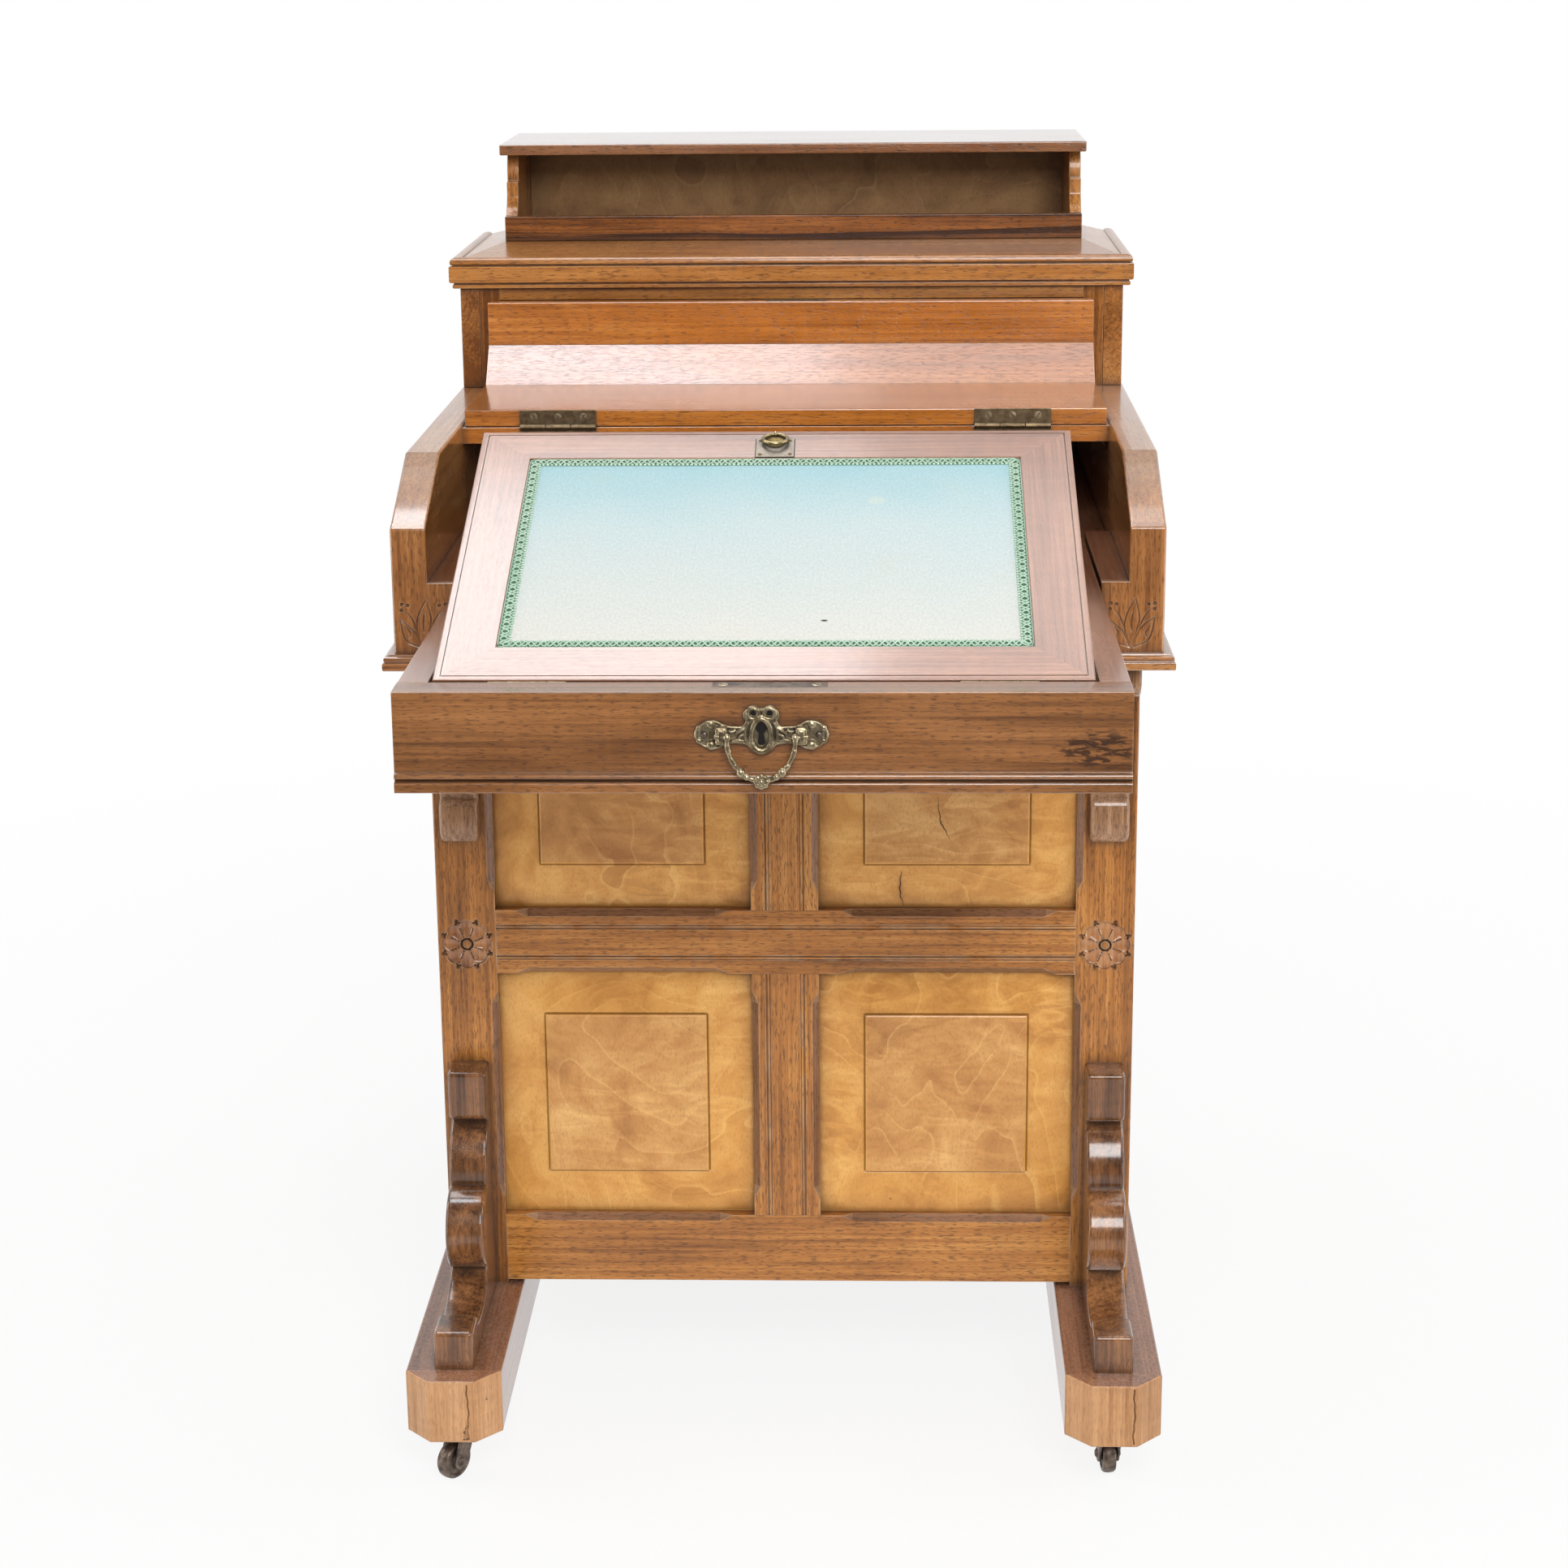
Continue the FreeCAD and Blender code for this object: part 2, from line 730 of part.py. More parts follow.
def knob_pair(side, level):
    """Two knobs on a drawer front, pointing away from the desk."""
    pieces = []
    for sign in (-1, 1):
        piece = knob()
        turn = FreeCAD.Rotation(FreeCAD.Vector(0, 0, 1), 0 if side > 0 else 180)
        piece.Placement = FreeCAD.Placement(FreeCAD.Vector(), turn)
        y = D["pedestal_depth"] / 2 + sign * D["knob_spacing"] / 2
        seat(piece, side * D["drawer_face"], y, drawer_level(level) + D["drawer_bay"] / 2)
        pieces.append(piece)
    return pieces


def sham_knobs():
    pieces = []
    for level in range(DRAWERS):
        pieces.extend(knob_pair(-1, level))
    return part("sham_drawer_knobs", pieces)


def drawer(level):
    """Front board, two sides, end and floor as separate boards."""
    number = level + 1
    gap = D["drawer_gap"]
    sill = drawer_level(level) + gap
    face = D["drawer_face"] - D["drawer_front"]
    near = D["post_depth"] + gap
    width = D["bay_depth"] - 2 * gap
    front = box(face, near, sill, D["drawer_front"], width, D["drawer_bay"] - 2 * gap)
    end = -D["drawer_face"] + D["drawer_front"] + D["drawer_end_gap"]
    length = face - end
    wall = D["tray_wall"]
    height = D["drawer_bay"] - 2 * gap - D["tray_drop"]
    pieces = [front]
    for y in (near, near + width - wall):
        pieces.append(box(end, y, sill, length, wall, height))
    pieces.append(box(end, near + wall, sill, wall, width - 2 * wall, height))
    pieces.append(box(end + wall, near + wall, sill, length - wall, width - 2 * wall,
                      D["tray_floor"]))
    return [
        part(f"drawer_{number}", pieces),
        part(f"drawer_{number}_knobs", knob_pair(1, level)),
    ]


# ---------------------------------------------------------------- scroll brackets

def foot_bracket_outline():
    """Side view from the pedestal's front: block, hollow, round lobe, hollow, toe."""
    base = D["foot_top"]
    top = base + D["bracket_rise"]
    block_low = top - D["bracket_block_height"]
    lobe_top = base + D["bracket_lobe_height"] + D["bracket_lobe"]
    lobe_low = base + D["bracket_lobe_height"] - D["bracket_lobe"]
    lobe_back = -D["bracket_lobe_reach"] + D["bracket_lobe"]
    toe_back = -D["bracket_reach"] + D["bracket_toe"]
    lobe_mid = base + D["bracket_lobe_height"]
    return [
        (0, base),
        (0, top),
        (-D["bracket_block"], top),
        (-D["bracket_block"], block_low),
        (-D["bracket_neck"], block_low - D["bracket_neck"] / 2),
        (lobe_back, lobe_top, D["bracket_lobe"] * 1.5, 1),
        (-D["bracket_lobe_reach"], lobe_mid, D["bracket_lobe"], 1),
        (lobe_back - D["bracket_neck"], lobe_low + D["bracket_neck"] / 4,
         D["bracket_lobe"], 1),
        (toe_back, base + D["bracket_toe_height"] - D["bracket_toe_step"],
         D["bracket_lobe"] * 2, -1),
        (toe_back, base + D["bracket_toe_height"]),
        (-D["bracket_reach"], base + D["bracket_toe_height"]),
        (-D["bracket_reach"], base),
    ]


def body_bracket_outline():
    """Side view of the bracket under the desk body: nose, hollow, lobe, end block."""
    top = D["body_base"]
    low = top - D["hanger_drop"]
    end_top = low + D["hanger_end_height"]
    lobe = D["hanger_lobe"]
    lobe_low = end_top + D["hanger_end"]
    nose_back = -D["hanger_reach"] + D["hanger_nose"]
    return [
        (0, low),
        (0, top),
        (-D["hanger_reach"], top),
        (-D["hanger_reach"], top - D["hanger_nose_height"]),
        (nose_back, top - D["hanger_nose_height"]),
        (-D["hanger_end"], lobe_low + lobe * 2, lobe * 2, -1),
        (-D["hanger_end"], lobe_low, lobe * 1.1, 1),
        (-D["hanger_end"] * 0.6, end_top),
        (-D["hanger_end"], end_top - D["hanger_end"] / 3),
        (-D["hanger_end"], low + D["hanger_end"] / 2),
        (-D["hanger_end"] * 0.7, low),
    ]


def bracket_pair(name, outline):
    x = D["foot_spacing"] / 2 - D["bracket_thick"] / 2
    pieces = both_sides(lambda side: side_board(
        outline, low_x(side, x, D["bracket_thick"]), D["bracket_thick"], name + "_board"))
    return part(name, pieces)


# ---------------------------------------------------------------- desk body

def cheek(side):
    """A side of the desk body, with its top falling towards the front."""
    front = -D["cheek_reach"]
    outline = [
        (front, D["body_base"]),
        (D["rear_plane"], D["body_base"]),
        (D["rear_plane"], D["cheek_top"]),
        (front + D["cheek_slope_run"], D["cheek_top"]),
        (front, D["body_base"] + D["cheek_front_height"]),
    ]
    name = "cheek_left" if side < 0 else "cheek_right"
    x = low_x(side, D["cheek_inner"], D["cheek_thick"])
    return part(name, [side_board(outline, x, D["cheek_thick"], name + "_board")])


def box_guides():
    """Blocks inside the cheeks: high and flush with the front, then a low runner."""
    front = -D["cheek_reach"]
    step = front + D["guide_length"]
    back = D["rear_plane"] - D["body_back"]
    outline = [
        (front, D["body_base"]),
        (-D["body_bottom_reach"], D["body_base"]),
        (-D["body_bottom_reach"], D["body_floor"]),
        (back, D["body_floor"]),
        (back, D["body_floor"] + D["runner_height"]),
        (step, D["body_floor"] + D["runner_height"]),
        (step, D["guide_top"]),
        (front, D["guide_top"]),
    ]
    return part("box_guides", both_sides(lambda side: side_board(
        outline, low_x(side, D["guide_inner"], D["guide_thick"]), D["guide_thick"],
        "guide")))


def base_moulding():
    """A lip with a bead above it, round the front and outer side of each cheek."""
    front = -D["cheek_reach"]
    pieces = []
    steps = (
        (0, D["moulding_lip"], D["moulding_reach"]),
        (D["moulding_lip"], D["moulding_bead"], D["moulding_reach"] - D["moulding_lip"] / 3),
        (D["moulding_lip"] + D["moulding_bead"],
         D["moulding_height"] - D["moulding_lip"] - D["moulding_bead"],
         D["moulding_reach"] / 3),
    )
    for side in (-1, 1):
        layers = []
        for lift, height, reach in steps:
            outer = D["desk_width"] / 2
            outline = [
                (side * D["guide_inner"], front - reach),
                (side * (outer + reach), front - reach),
                (side * (outer + reach), D["rear_plane"]),
                (side * outer, D["rear_plane"]),
                (side * outer, front),
                (side * D["guide_inner"], front),
            ]
            layers.append(seat(slab(outline, "XY", height), 0, 0, D["body_base"] + lift))
        pieces.append(fuse(layers))
    return part("base_moulding", pieces)


def body_bottom():
    """The board under the writing box, between the cheeks."""
    inner = D["cheek_inner"]
    length = D["rear_plane"] + D["body_bottom_reach"]
    return part("body_bottom", [box(-inner, -D["body_bottom_reach"], D["body_base"],
                                    2 * inner, length, D["body_bottom"])])


def body_back():
    inner = D["cheek_inner"]
    return part("body_back", [box(-inner, D["rear_plane"] - D["body_back"], D["body_floor"],
                                  2 * inner, D["body_back"],
                                  D["cheek_top"] - D["body_floor"])])


# ---------------------------------------------------------------- lid

def hinge_starts():
    """Where each of a pair of hinges starts."""
    return [sign * D["hinge_spacing"] / 2 - D["hinge_length"] / 2 for sign in (-1, 1)]


def hinge_notches():
    """Round notches along the lid's joint, one for each hinge's knuckles."""
    radius = D["knuckle_radius"] + D["knuckle_gap"]
    return fuse([rod("x", x, D["lid_axis_y"], D["lid_axis_z"], radius, D["hinge_length"])
                 for x in hinge_starts()], "notches")


def knuckle(x, y, z, length):
    """A barrel with the pin's hole through it."""
    barrel = rod("x", x, y, z, D["knuckle_radius"], length)
    bore = rod("x", x, y, z, D["pin_radius"] + D["leaf_gap"] / 2, length)
    return cut(barrel, bore)


def middle_leaf(x, plate_y, y, z, low, high):
    """The turning half of a hinge about (y, z): a plate with the middle knuckle."""
    gap = D["leaf_gap"] * 2
    end = D["knuckle_end"] + gap
    plate = box(x, plate_y, low, D["hinge_length"], D["leaf_thick"], high - low)
    clear = fuse([rod("x", start, y, z, D["knuckle_radius"] + gap, end)
                  for start in (x, x + D["hinge_length"] - end)])
    barrel = knuckle(x + end, y, z, D["hinge_length"] - 2 * end)
    return fuse([cut(plate, clear), barrel])


def outer_leaf(x, plate_y, y, z, low, high):
    """The fixed half of a hinge about (y, z): a plate, two end knuckles and the pin."""
    gap = D["leaf_gap"] * 2
    end = D["knuckle_end"]
    length = D["hinge_length"]
    plate = box(x, plate_y, low, length, D["leaf_thick"], high - low)
    clear = rod("x", x + end, y, z, D["knuckle_radius"] + gap, length - 2 * end)
    barrels = [knuckle(x, y, z, end), knuckle(x + length - end, y, z, end)]
    return [fuse([cut(plate, clear)] + barrels), rod("x", x, y, z, D["pin_radius"], length)]


def rear_lid_board():
    """The fixed board of the top, from the stationery case to the lid's joint."""
    inner = D["cheek_inner"]
    board = box(-inner, D["lid_line"], D["lid_level"] - D["lid_board"], 2 * inner,
                D["rear_plane"] - D["body_back"] - D["lid_line"], D["lid_board"])
    return part("rear_lid_board", [cut(board, hinge_notches())])


def lid_flap():
    """Three mitred boards, folded back: flat, slope and apron, with the inside up."""
    thick = D["lid_board"]
    start = D["lid_line"]
    low = D["lid_level"] + D["lid_gap"]
    top = low + thick
    bend = D["lid_bend"]
    apron = D["lid_apron"]
    rise = top + D["lid_slope_drop"]
    edge = D["lid_edge"]
    mitre = D["lid_mitre"]
    half = D["cheek_inner"] - D["lid_side_gap"]
    flat = [(start, low), (bend + mitre, low), (bend, top), (start, top)]
    slope = [(bend + mitre, low), (apron + thick, rise - mitre), (apron, rise), (bend, top)]
    front = [(apron + thick, rise - mitre), (apron + thick, edge), (apron, edge),
             (apron, rise)]
    boards = [side_board(outline, -half, 2 * half, "lid_board_piece")
              for outline in (flat, slope, front)]
    boards[0] = cut(boards[0], hinge_notches())
    return part("lid_flap", boards)


def pin_clearance():
    """How far a leaf's plate keeps from its pin's axis."""
    return D["pin_radius"] + D["knuckle_gap"]


def lid_hinge_leaves():
    """The leaves on the lid's edge, each with the middle knuckle."""
    y, z = D["lid_axis_y"], D["lid_axis_z"]
    high = D["lid_level"] + D["lid_gap"] + D["lid_board"]
    return part("lid_hinge_leaves", [
        middle_leaf(x, y + D["leaf_gap"], y, z, z + pin_clearance(), high)
        for x in hinge_starts()])


def top_axis():
    """The axis that the moulded top lifts about, behind its lower rear edge."""
    return D["rear_plane"] + D["knuckle_radius"] + D["leaf_gap"], D["case_top"]


def top_hinge_leaves():
    """The leaves on the rear of the moulded top, each with the middle knuckle."""
    y, z = top_axis()
    low = z + pin_clearance()
    return part("top_hinge_leaves", [
        middle_leaf(x, D["rear_plane"], y, z, low, low + D["top_leaf_height"])
        for x in hinge_starts()])


def fixed_hinge_leaves():
    """The leaves with pins: on the fixed lid board and on the back of the case."""
    pieces = []
    for x in hinge_starts():
        y, z = D["lid_axis_y"], D["lid_axis_z"]
        pieces.extend(outer_leaf(x, y + D["leaf_gap"], y, z, D["lid_level"] - D["lid_board"],
                                 z - pin_clearance()))
        y, z = top_axis()
        high = z - pin_clearance()
        pieces.extend(outer_leaf(x, D["rear_plane"], y, z, high - D["top_leaf_height"], high))
    return part("fixed_hinge_leaves", pieces)


def strike_plate():
    """The lock's keeper on the edge of the apron."""
    y = D["lid_apron"] + (D["lid_board"] - D["strike_depth"]) / 2
    return part("strike_plate", [box(D["lock_offset"] - D["strike_width"] / 2, y,
                                     D["lid_edge"], D["strike_width"], D["strike_depth"],
                                     D["strike_thick"])])


# ---------------------------------------------------------------- writing box

def box_front():
    """The front board, with a lip and a bead along its foot."""
    half = D["box_half"]
    face = D["box_face"]
    lip = D["moulding_lip"]
    outline = [
        (face - D["box_lip"], D["body_base"]),
        (face + D["box_front"], D["body_base"]),
        (face + D["box_front"], D["box_top"]),
        (face, D["box_top"]),
        (face, D["body_base"] + lip + D["moulding_bead"]),
        (face - D["box_bead"], D["body_base"] + lip + D["moulding_bead"] / 2,
         D["moulding_bead"], 1),
        (face - D["box_lip"], D["body_base"] + lip),
    ]
    board = side_board(outline, -half, 2 * half, "box_front_board")
    mortise = box(D["lock_offset"] - D["lock_width"] / 2, D["box_face"] + D["lock_inset"],
                  D["box_top"] - D["lock_thick"], D["lock_width"], D["lock_depth"],
                  D["lock_thick"])
    return part("box_front", [cut(board, mortise)])


def box_lock():
    """The lock's top plate, let into the edge of the front board."""
    return part("box_lock", [box(D["lock_offset"] - D["lock_width"] / 2,
                                 D["box_face"] + D["lock_inset"],
                                 D["box_top"] - D["lock_thick"], D["lock_width"],
                                 D["lock_depth"], D["lock_thick"])])


def box_tray():
    """Sides, back, floor, cross divider and the ratchet for the prop."""
    half = D["box_half"]
    start = D["box_face"] + D["box_front"]
    length = D["box_depth"] - D["box_front"]
    low = D["body_floor"] + D["box_lift"]
    height = D["box_top"] - low
    inner = half - D["box_side"]
    back = start + length - D["box_back"]
    pieces = both_sides(lambda side: box(low_x(side, inner, D["box_side"]), start, low,
                                         D["box_side"], length, height))
    pieces.append(box(-inner, back, low, 2 * inner, D["box_back"], height))
    pieces.append(box(-inner, start, low, 2 * inner, length - D["box_back"], D["box_floor"]))
    divider = D["flap_line"] + D["flap_length"] + D["flap_front_gap"] + D["divider_gap"]
    pieces.append(box(-inner, divider, D["box_inner_floor"], 2 * inner, D["divider_thick"],
                      D["box_top"] - D["divider_drop"] - D["box_inner_floor"]))
    pieces.append(box(-D["ratchet_width"] / 2, D["flap_line"] + D["ratchet_length"] / 2,
                      D["box_inner_floor"], D["ratchet_width"], D["ratchet_length"],
                      D["ratchet_thick"]))
    return part("box_tray", pieces)


def handle_level():
    return D["body_base"] + D["handle_height"]


def handle_plate():
    """A waisted backplate with two bored lugs for the bail."""
    z = handle_level()
    half = D["handle_plate_width"] / 2
    tall = D["handle_plate_height"] / 2
    neck = D["handle_neck_height"] / 2
    centre = D["handle_centre_width"] / 2
    shoulder = half - D["handle_end_width"]
    end = D["handle_end_width"] / 2
    outline = [
        (-half, z), (-half + end, z - end, end, 1), (-shoulder, z - neck, end * 1.2, 1),
        (-centre, z - neck), (0, z - tall, centre * 1.1, 1), (centre, z - neck, centre * 1.1, 1),
        (shoulder, z - neck), (half - end, z - end, end * 1.2, 1), (half, z, end, 1),
        (half - end, z + end, end, 1), (shoulder, z + neck, end * 1.2, 1),
        (centre, z + neck), (0, z + tall, centre * 1.1, 1), (-centre, z + neck, centre * 1.1, 1),
        (-shoulder, z + neck), (-half + end, z + end, end * 1.2, 1), (-half, z, end, 1),
    ]
    plate = seat(slab(outline[1:], "XZ", D["handle_plate_thick"], name="cartouche"),
                 0, D["box_face"], 0)
    axis_y = D["box_face"] - D["handle_plate_thick"] - D["bail_stand"]
    lugs = []
    bores = []
    for side in (-1, 1):
        x = side * D["lug_spacing"] / 2
        lugs.append(rod("y", x, D["handle_front"], z, D["lug_radius"], D["lug_length"]))
        bores.append(rod("x", x - D["lug_radius"], axis_y, z,
                         D["bail_pin"] + D["running_gap"] / 5, 2 * D["lug_radius"]))
    return part("handle_plate", [cut(fuse([plate] + lugs), fuse(bores))])


def bail_handle():
    """A hanging half ring on two short arms, with pins turned out into the lugs."""
    z = handle_level()
    axis_y = D["box_face"] - D["handle_plate_thick"] - D["bail_stand"]
    y = axis_y - D["middle"]
    bow = local_ring("y", 0, y, z - D["bail_arm"], D["bail_radius"], D["bail_wire"],
                     sweep=180, name="bow")
    arms = []
    for side in (-1, 1):
        x = side * D["bail_radius"]
        arms.append(rod("z", x, axis_y, z - D["bail_arm"], D["bail_wire"],
                        D["bail_arm"] + D["bail_wire"] / 2))
        reach = D["lug_spacing"] / 2 + D["lug_radius"] / 2 - D["bail_radius"]
        start = x if side > 0 else x - reach
        arms.append(rod("x", start, axis_y, z, D["bail_pin"], reach))
    return part("bail_handle", [fuse([bow] + arms)])


# ---------------------------------------------------------------- writing flap

def on_flap(name, pieces):
    """A piece of the flap: flat in its own frame, raised about the front knuckles."""
    return seat(part(name, pieces), 0, D["flap_line"], D["flap_axis_z"],
                FreeCAD.Vector(1, 0, 0), D["flap_angle"])


def flap_edge():
    """Distance from the knuckles' axis to the front edge of the flap."""
    return D["flap_front_gap"] / 2


def flap_frame():
    """Four mitred borders."""
    half = D["flap_half"]
    border = D["flap_border"]
    near = flap_edge()
    far = near + D["flap_length"]
    base = D["flap_knuckle"] - D["flap_thick"]
    outlines = (
        [(-half, near), (half, near), (half - border, near + border),
         (-half + border, near + border)],
        [(-half, far), (-half + border, far - border), (half - border, far - border),
         (half, far)],
        [(-half, near), (-half + border, near + border), (-half + border, far - border),
         (-half, far)],
        [(half, near), (half, far), (half - border, far - border),
         (half - border, near + border)],
    )
    boards = []
    for outline in outlines:
        board = slab(outline, "XY", D["flap_thick"], name="border")
        bind(board, Base_z=base)
        boards.append(board)
    return on_flap("flap_frame", boards)


def flap_inner(inset, low, thick):
    """A sheet inside the borders, smaller by inset all round."""
    half = D["flap_half"] - D["flap_border"] - inset
    near = flap_edge() + D["flap_border"] + inset
    length = D["flap_length"] - 2 * D["flap_border"] - 2 * inset
    return local_box(-half, near, low, 2 * half, length, thick)


def flap_panel():
    top = D["flap_knuckle"] - D["cloth_sunk"] - D["cloth_thick"]
    return on_flap("flap_panel", [flap_inner(0, top - D["flap_core"], D["flap_core"])])


def writing_cloth():
    return on_flap("writing_cloth", [flap_inner(
        0, D["flap_knuckle"] - D["cloth_sunk"] - D["cloth_thick"], D["cloth_thick"])])


def cloth_braid():
    """A woven edging laid round the cloth."""
    low = D["flap_knuckle"] - D["cloth_sunk"]
    ring = cut(flap_inner(0, low, D["braid_thick"]),
               flap_inner(D["braid_width"], low, D["braid_thick"]))
    return on_flap("cloth_braid", [ring])


def flap_hinges():
    """Two slim hinges along the flap's front edge."""
    pieces = []
    for sign in (-1, 1):
        x = sign * D["flap_hinge_spacing"] / 2 - D["flap_hinge_length"] / 2
        pieces.append(local_rod("x", x, 0, 0, D["flap_knuckle"], D["flap_hinge_length"]))
    return on_flap("flap_hinges", pieces)


def ring_place():
    """Depth and height of the ring pull's plate on the flap."""
    return flap_edge() + D["flap_length"] - D["ring_inset"], D["flap_knuckle"]


def ring_lift():
    """Height of the ring's wire over the knuckles' axis, on the flap."""
    y, z = ring_place()
    return z + D["ring_plate_thick"] + D["ring_wire"] + D["running_gap"] / 5


def flap_ring_plate():
    """A round plate with a staple that holds the far side of the ring."""
    y, z = ring_place()
    length = D["ring_staple_length"]
    far = y + D["ring_radius"]
    plate = local_rod("z", 0, y, z, D["ring_plate_radius"], D["ring_plate_thick"])
    staple = local_rod("x", -length / 2, far, ring_lift(), D["ring_staple"], length)
    bore = local_rod("x", -length / 2, far, ring_lift(), D["ring_wire"] + D["running_gap"],
                     length)
    below = local_box(-length / 2, far - D["ring_staple"], z - D["ring_staple"], length,
                      2 * D["ring_staple"], D["ring_staple"])
    return on_flap("flap_ring_plate", [fuse([plate, cut(cut(staple, bore), below)])])


def flap_ring():
    """The ring lies flat on its plate, and lifts about its far side."""
    y, z = ring_place()
    return on_flap("flap_ring", [local_ring("z", 0, y, ring_lift(), D["ring_radius"],
                                            D["ring_wire"])])


def flap_prop():
    """A strut under the flap, leaning forward to the ratchet, with a round eye."""
    length = D["prop_length"]
    half = D["prop_thick"] / 2
    bar = local_box(-D["prop_width"] / 2, -length, -half, D["prop_width"], length,
                    D["prop_thick"])
    eye = local_rod("x", -D["prop_width"] / 2, 0, 0, D["prop_eye"], D["prop_width"])
    prop = part("flap_prop", [fuse([bar, eye])])
    angle = D["flap_angle"] + D["prop_angle"]
    drop = D["flap_thick"] - D["flap_knuckle"] + D["prop_pivot_drop"] + D["running_gap"]
    slope = f"{D['flap_angle'].text} * 1 deg"
    radians = math.radians(D["flap_angle"].value)
    along, place = Size(math.cos(radians), f"cos({slope})"), D["prop_place"]
    up = Size(math.sin(radians), f"sin({slope})")
    y = D["flap_line"] + place * along + drop * up
    z = D["flap_axis_z"] + place * up - drop * along
    return seat(prop, 0, y, z, FreeCAD.Vector(1, 0, 0), angle)


# ---------------------------------------------------------------- stationery case

def case_shell():
    """Sides, back, floor and two dividers under the lifting top."""
    half = D["case_width"] / 2
    wall = D["case_wall"]
    front = D["case_front"]
    depth = D["rear_plane"] - front
    base = D["cheek_top"]
    pieces = both_sides(lambda side: box(low_x(side, half - wall, wall), front, base, wall,
                                         depth, D["case_height"]))
    inner = half - wall
    pieces.append(box(-inner, D["rear_plane"] - D["body_back"], base, 2 * inner,
                      D["body_back"], D["case_height"]))
    inside = front + D["case_stile_thick"]
    inside_depth = D["rear_plane"] - D["body_back"] - inside
    pieces.append(box(-inner, inside, base, 2 * inner, inside_depth, D["case_floor"]))
    for side in (-1, 1):
        x = side * inner / 3 - D["case_divider"] / 2
        pieces.append(box(x, inside, base + D["case_floor"], D["case_divider"], inside_depth,
                          D["case_height"] - D["case_floor"] - D["case_divider_drop"]))
    return part("case_shell", pieces)


def case_front():
    """Stiles, top rail, sill and a sunk panel, between the case's sides."""
    inner = D["case_width"] / 2 - D["case_wall"]
    stile = D["case_stile"] - D["case_wall"]
    front = D["case_front"]
    base = D["cheek_top"]
    thick = D["case_stile_thick"]
    open_half = inner - stile
    pieces = both_sides(lambda side: box(low_x(side, open_half, stile), front, base, stile,
                                         thick, D["case_height"]))
    pieces.append(box(-open_half, front, D["case_top"] - D["case_rail"], 2 * open_half, thick,
                      D["case_rail"]))
    pieces.append(box(-open_half, front, base, 2 * open_half, thick, D["case_sill"]))
    pieces.append(box(-open_half, front + D["case_panel_back"], base + D["case_sill"],
                      2 * open_half, D["case_panel_thick"],
                      D["case_height"] - D["case_sill"] - D["case_rail"]))
    return part("case_front", pieces)


def case_lid():
    """The moulded top: bead, band and bead at the edge, then a hipped bevel."""
    half = D["case_width"] / 2 + D["top_reach"]
    front = D["case_front"] - D["top_reach"]
    rear = D["rear_plane"] + D["top_tail"]
    bead = D["top_bead"]
    back = D["top_bead_back"]
    base = D["case_top"] + D["running_gap"]
    layers = []
    for lift, height, inset in (
            (0, bead, back),
            (bead, D["top_edge"] - D["running_gap"] - 2 * bead, 0),
            (D["top_edge"] - D["running_gap"] - bead, bead, back)):
        layers.append(box(-half + inset, front + inset, base + lift, 2 * (half - inset),
                          rear - front - inset, height))
    hip = doc.addObject("Part::Wedge", "hip")
    hip.Placement = FreeCAD.Placement(FreeCAD.Vector(), FreeCAD.Rotation(
        FreeCAD.Vector(1, 0, 0), 90))
    bind(hip, Xmin=-half + back, Xmax=half - back, Ymin=0, Ymax=D["bevel_rise"],
         Zmin=0, Zmax=rear - front - back, X2min=-D["gallery_half"], X2max=D["gallery_half"],
         Z2min=0, Z2max=rear - D["gallery_front"], Base_x=0, Base_y=rear - D["middle"],
         Base_z=D["top_level"])
    return part("case_lid", [fuse(layers + [hip])])


def gallery_frame():
    """Fretted ends, stepped in to a narrow head, with a rail in front and a back."""
    front = D["gallery_front"]
    rear = D["rear_plane"] - D["gallery_tail"]
    base = D["gallery_base"]
    top = D["gallery_top"]
    head = front + D["gallery_head_setback"]
    step = D["gallery_step"]
    rail_top = base + D["gallery_rail"]
    behind = front + D["gallery_rail_thick"]
    outline = [
        (behind, base),
        (rear, base),
        (rear, top),
        (head, top),
        (head - step / 2, top - 2 * step, step * 3, 1),
        (head - step, top - 2 * step),
        (head - step, top - 3 * step),
        (behind, rail_top, step * 4, -1),
    ]
    pieces = both_sides(lambda side: side_board(
        outline, low_x(side, D["gallery_half"] - D["gallery_wall"], D["gallery_wall"]),
        D["gallery_wall"], "gallery_side"))
    half = D["gallery_half"]
    pieces.append(box(-half, front, base, 2 * half, D["gallery_rail_thick"],
                      D["gallery_rail"]))
    inner = half - D["gallery_wall"]
    pieces.append(box(-inner, rear - D["gallery_back"], base, 2 * inner, D["gallery_back"],
                      D["gallery_height"]))
    return part("gallery_frame", pieces)


def gallery_shelf():
    half = D["gallery_half"] + D["shelf_overhang"]
    return part("gallery_shelf", [box(-half, D["gallery_front"], D["gallery_top"], 2 * half,
                                      D["shelf_rear"] - D["gallery_front"],
                                      D["shelf_thick"])])


# ---------------------------------------------------------------- the whole desk

